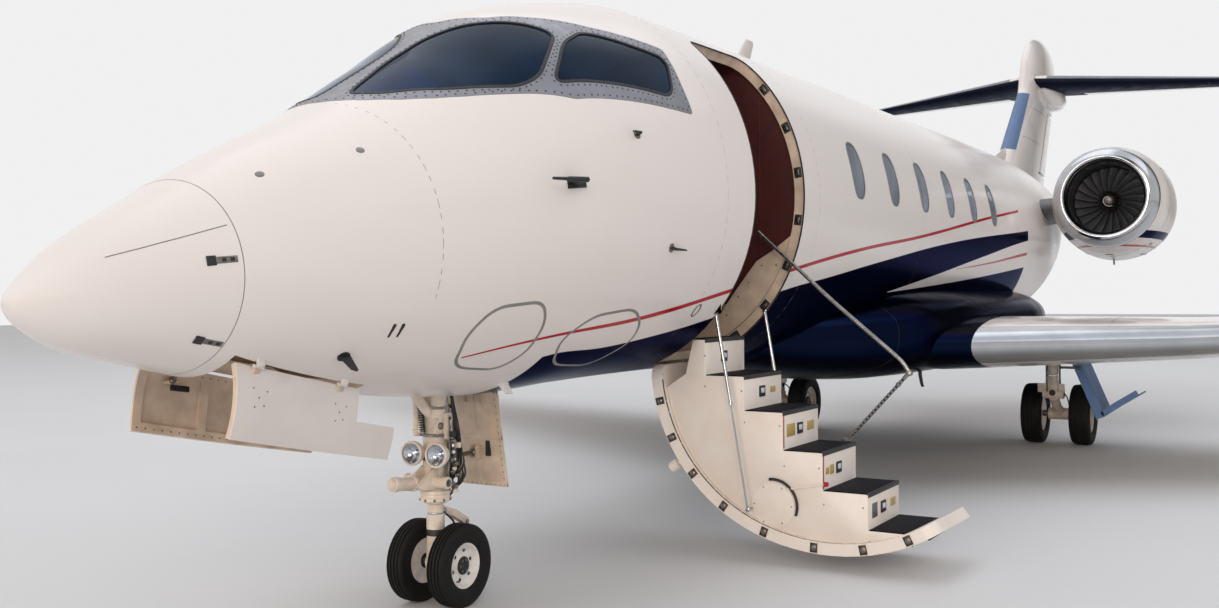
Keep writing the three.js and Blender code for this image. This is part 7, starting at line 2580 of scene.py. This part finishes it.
def cabin_trim():
    """Carpet and hide on the carried-over plates, and trim round the passage and the well."""
    for node, finish in (("cabin_floor", CARPET), ("cabin_bulkhead", HIDE_RED)):
        frame["nodes"][node].data.materials.clear()
        frame["nodes"][node].data.materials.append(finish)
    form = Form()
    edge = [(-0.3, 1.64), (-0.3, 3.33), (0.3, 3.33), (0.3, 1.64)]
    for (x0, z0), (x1, z1) in zip(edge, edge[1:]):
        across, up = 0.018 * (x0 == x1), 0.018 * (z0 == z1)
        form.box((min(x0, x1) - across, 5.062, min(z0, z1) - up),
            (max(x0, x1) + across, 5.118, max(z0, z1) + up), 0.005)
    for x in (0.55, 0.8):
        form.box((x - 0.003, 5.066, 1.7), (x + 0.003, 5.0705, 3.1), 0.001, 1)
    rod(form, at(0.39, 5.035, 2.3), at(0.39, 5.035, 2.75), 0.011, 2, 16)
    for z in (2.33, 2.72):
        rod(form, at(0.39, 5.07, z), at(0.39, 5.035, z), 0.009, 2, 14)
    inner = [skin(5.05, a, 0.082) for a in np.linspace(-80, -14, 23)]
    wall = [(0.052, inner[0][2])] + [(p[0], p[2]) for p in inner if p[0] > 0.06]
    wall += [(0.9, 2.0), (0.78, 1.93), (0.6, 1.7), (0.5, 1.56), (0.052, 1.56)]
    form.add(plate(wall, "station", 5.0475, 5.0545, 0.002), 3)
    heads = [(at(x, 5.0475, z), (0, -1, 0)) for x, z in ((0.64, 1.68), (0.72, 1.78), (0.82, 1.9),
        (0.93, 1.9), (0.9, 1.7), (0.86, 1.5), (0.55, 1.55), (0.4, 1.5), (0.2, 1.5), (0.75, 1.32))]
    form.add(buttons(heads, 0.006, 0.002, 10))
    low = float(skin(4.62, -84, 0.085)[2])
    form.box((0.036, 4.185, low), (0.048, 5.045, 1.598), 0.002, 3)
    wall = [(0.052, inner[0][2])] + [(p[0], p[2]) for p in (skin(4.19, a, 0.082)
        for a in np.linspace(-80, -30, 20)) if p[0] > 0.06]
    wall += [(wall[-1][0], 1.6), (0.052, 1.6)]
    form.add(plate(wall, "station", 4.183, 4.19, 0.002), 3)
    form.build("cabin_edge_trim", [PANEL_BLACK, HIDE_RED, SATIN_RAIL, CREAM_COAT], AIRFRAME,
        "bare_grey")


def tail_exhaust():
    """The small turbine's outlet at the tip of the tail, with its heat shield and inner pipe."""
    form = Form()
    tip = at(0, 19.895, 3.06)
    end = at(0, 20.06, 3.1)
    form.turn(tip, end, [(0.0, 0.1), (0.0, 0.148), (0.01, 0.152), (0.05, 0.148), (0.155, 0.128),
        (0.162, 0.124), (0.158, 0.119), (0.05, 0.112)], 48, closed=True)
    form.turn(tip, end, [(0.002, 0.117), (0.03, 0.117), (0.032, 0.09), (0.06, 0.05),
        (0.075, 0.004)], 40, 1)
    heads = [(tip + spoke_y(a) * 0.151 + Vector((0, 0.02, 0)), spoke_y(a)) for a in turns(16)]
    form.add(buttons(heads, 0.006, 0.002, 10), 2)
    form.build("tail_turbine_outlet", [STEEL, DARK_METAL, PANEL_BLACK], AIRFRAME, "engine_metal")


def crown_aerials():
    """Blade aerial, low bumps and the drain mast on the belly."""
    form = Form()
    rings = []
    for z, start, end, wide in ((3.585, 6.34, 6.66, 0.016), (3.64, 6.38, 6.68, 0.014),
            (3.75, 6.49, 6.73, 0.011), (3.84, 6.58, 6.775, 0.008), (3.868, 6.62, 6.765, 0.004)):
        rings.append([at(wide * math.sin(a) * (1 - 0.3 * math.cos(a)),
            (start + end) / 2 + (end - start) / 2 * math.cos(a), z) for a in turns(20)])
    form.add(loft(rings))
    section = ((-0.03, -0.01), (-0.03, 0.01), (0.03, 0.012), (0.03, -0.012))
    levels = ((1.25, 0, -0.004), (1, 0, 0.01), (0.8, 0.02, 0.055), (0.7, 0.035, 0.06))
    form.add(raised(section, levels), 0, on_skin(2.54, -66.0))
    mast = at(1.0, 8.25, 1.0)
    form.add(loft([[(mast.x + 0.012 * math.sin(a), mast.y + lean + wide * math.cos(a), z)
        for a in np.radians(np.arange(0, 360, 30))] for z, lean, wide in ((1.02, 0, 0.05),
        (0.94, 0.02, 0.045), (0.87, 0.06, 0.035), (0.83, 0.1, 0.03))]), 1)
    for station, height in ((8.6, 0.05), (10.9, 0.035)):
        rings = []
        for share in np.linspace(0, 1, 10):
            swell = math.sin(math.pi * min(0.985, 0.015 + share)) ** 0.6
            ring = []
            for k in range(17):
                a = math.pi * k / 16
                s = station + 0.34 * (share - 0.5)
                base = line_at(CROWN, s) - 0.004
                ring.append(at(0.05 * swell * math.cos(a), s, base + height * swell * math.sin(a)))
            rings.append(ring)
        form.add(loft(rings))
    form.build("crown_and_belly_aerials", [PLAIN_WHITE, PANEL_BLACK], AIRFRAME, "paint_white")


# Camera, light and floor.
def camera():
    lens = bpy.data.cameras.new("camera")
    lens.lens, lens.sensor_width = 34.9, 36.0
    lens.clip_end = 200
    eye = linked("camera", lens)
    yaw, pitch, roll = (math.radians(a) for a in (30.93, -0.38, -0.33))
    forward = Vector((-math.sin(yaw) * math.cos(pitch), math.cos(yaw) * math.cos(pitch),
        math.sin(pitch)))
    level = forward.cross(UP).normalized()
    above = level.cross(forward)
    right = level * math.cos(roll) + above * math.sin(roll)
    up = above * math.cos(roll) - level * math.sin(roll)
    place = Matrix((right, up, -forward)).transposed().to_4x4()
    place.translation = (4.16, -13.06, 1.691)
    eye.matrix_world = place
    bpy.context.scene.camera = eye


def lamp(name, place, target, size, power, colour):
    light = bpy.data.lights.new(name, "AREA")
    light.shape, light.size, light.size_y = ("RECTANGLE", *size)
    light.energy, light.color = power, linear(colour)[:3]
    made = linked(name, light)
    made.location = place
    made.rotation_euler = (Vector(target) - Vector(place)).to_track_quat("-Z", "Y").to_euler()


def studio():
    """A plain pale floor, a soft pale surround, and large soft lamps above and ahead."""
    mesh = bpy.data.meshes.new("floor")
    reach, deep = 70.0, 90.0
    mesh.from_pydata([(-reach, -deep, 0), (reach, -deep, 0), (reach, deep, 0), (-reach, deep, 0)],
        [], [(0, 1, 2, 3)])
    mesh.materials.append(worked("studio_floor_paint", "#DADADA", 0.9, 0, "#D7D7D7", 3.0, 0.05,
        0.5, 0.0002))
    linked("floor", mesh)
    bpy.context.scene.view_settings.view_transform = "Standard"
    world = bpy.data.worlds.new("studio")
    world.use_nodes = True
    tree = world.node_tree
    sky = tree.nodes["Background"]
    sky.inputs["Color"].default_value = linear("#F6F6F7")
    # the port side of the surround is left darker, so that dark paint keeps its depth
    across = wire(tree, "SeparateXYZ", {"Vector": wire(tree,
        "TexCoord").outputs["Generated"]}).outputs["X"]
    fall = remap(tree, across, -0.03, 0.12, 0.95, 0.1)
    rise = remap(tree, across, 0.28, 0.6, 0.0, 0.7)
    tree.links.new(maths(tree, "MAXIMUM", fall, rise), sky.inputs["Strength"])
    bpy.context.scene.world = world
    lamp("key", (24, -46, 19), (0, -4, 2.2), (20, 16), 5000, "#FFEFE0")
    lamp("front", (5, -57, 7), (0, -6, 1.4), (18, 9), 4300, "#FFEFE0")
    lamp("top", (4, 2, 24), (1, 0, 0), (34, 44), 3700, "#F1F5FF")


# Making.
camera()
studio()
fuselage_shells()
windscreen()
cabin_windows()
sealant_lines()
air_probes()
airstair_door()
airstair_steps()
handrails()
stair_struts()
doorway_trim()
wings()
ailerons()
tail_surfaces()
fin_and_rudder()
belly_fairing()
engines()
nose_leg()
nose_fork()
nose_wheels()
nose_leg_door()
bay_doors()
nose_bay()
main_gear()
seats()
flight_deck()
cabin_trim()
tail_exhaust()
crown_aerials()
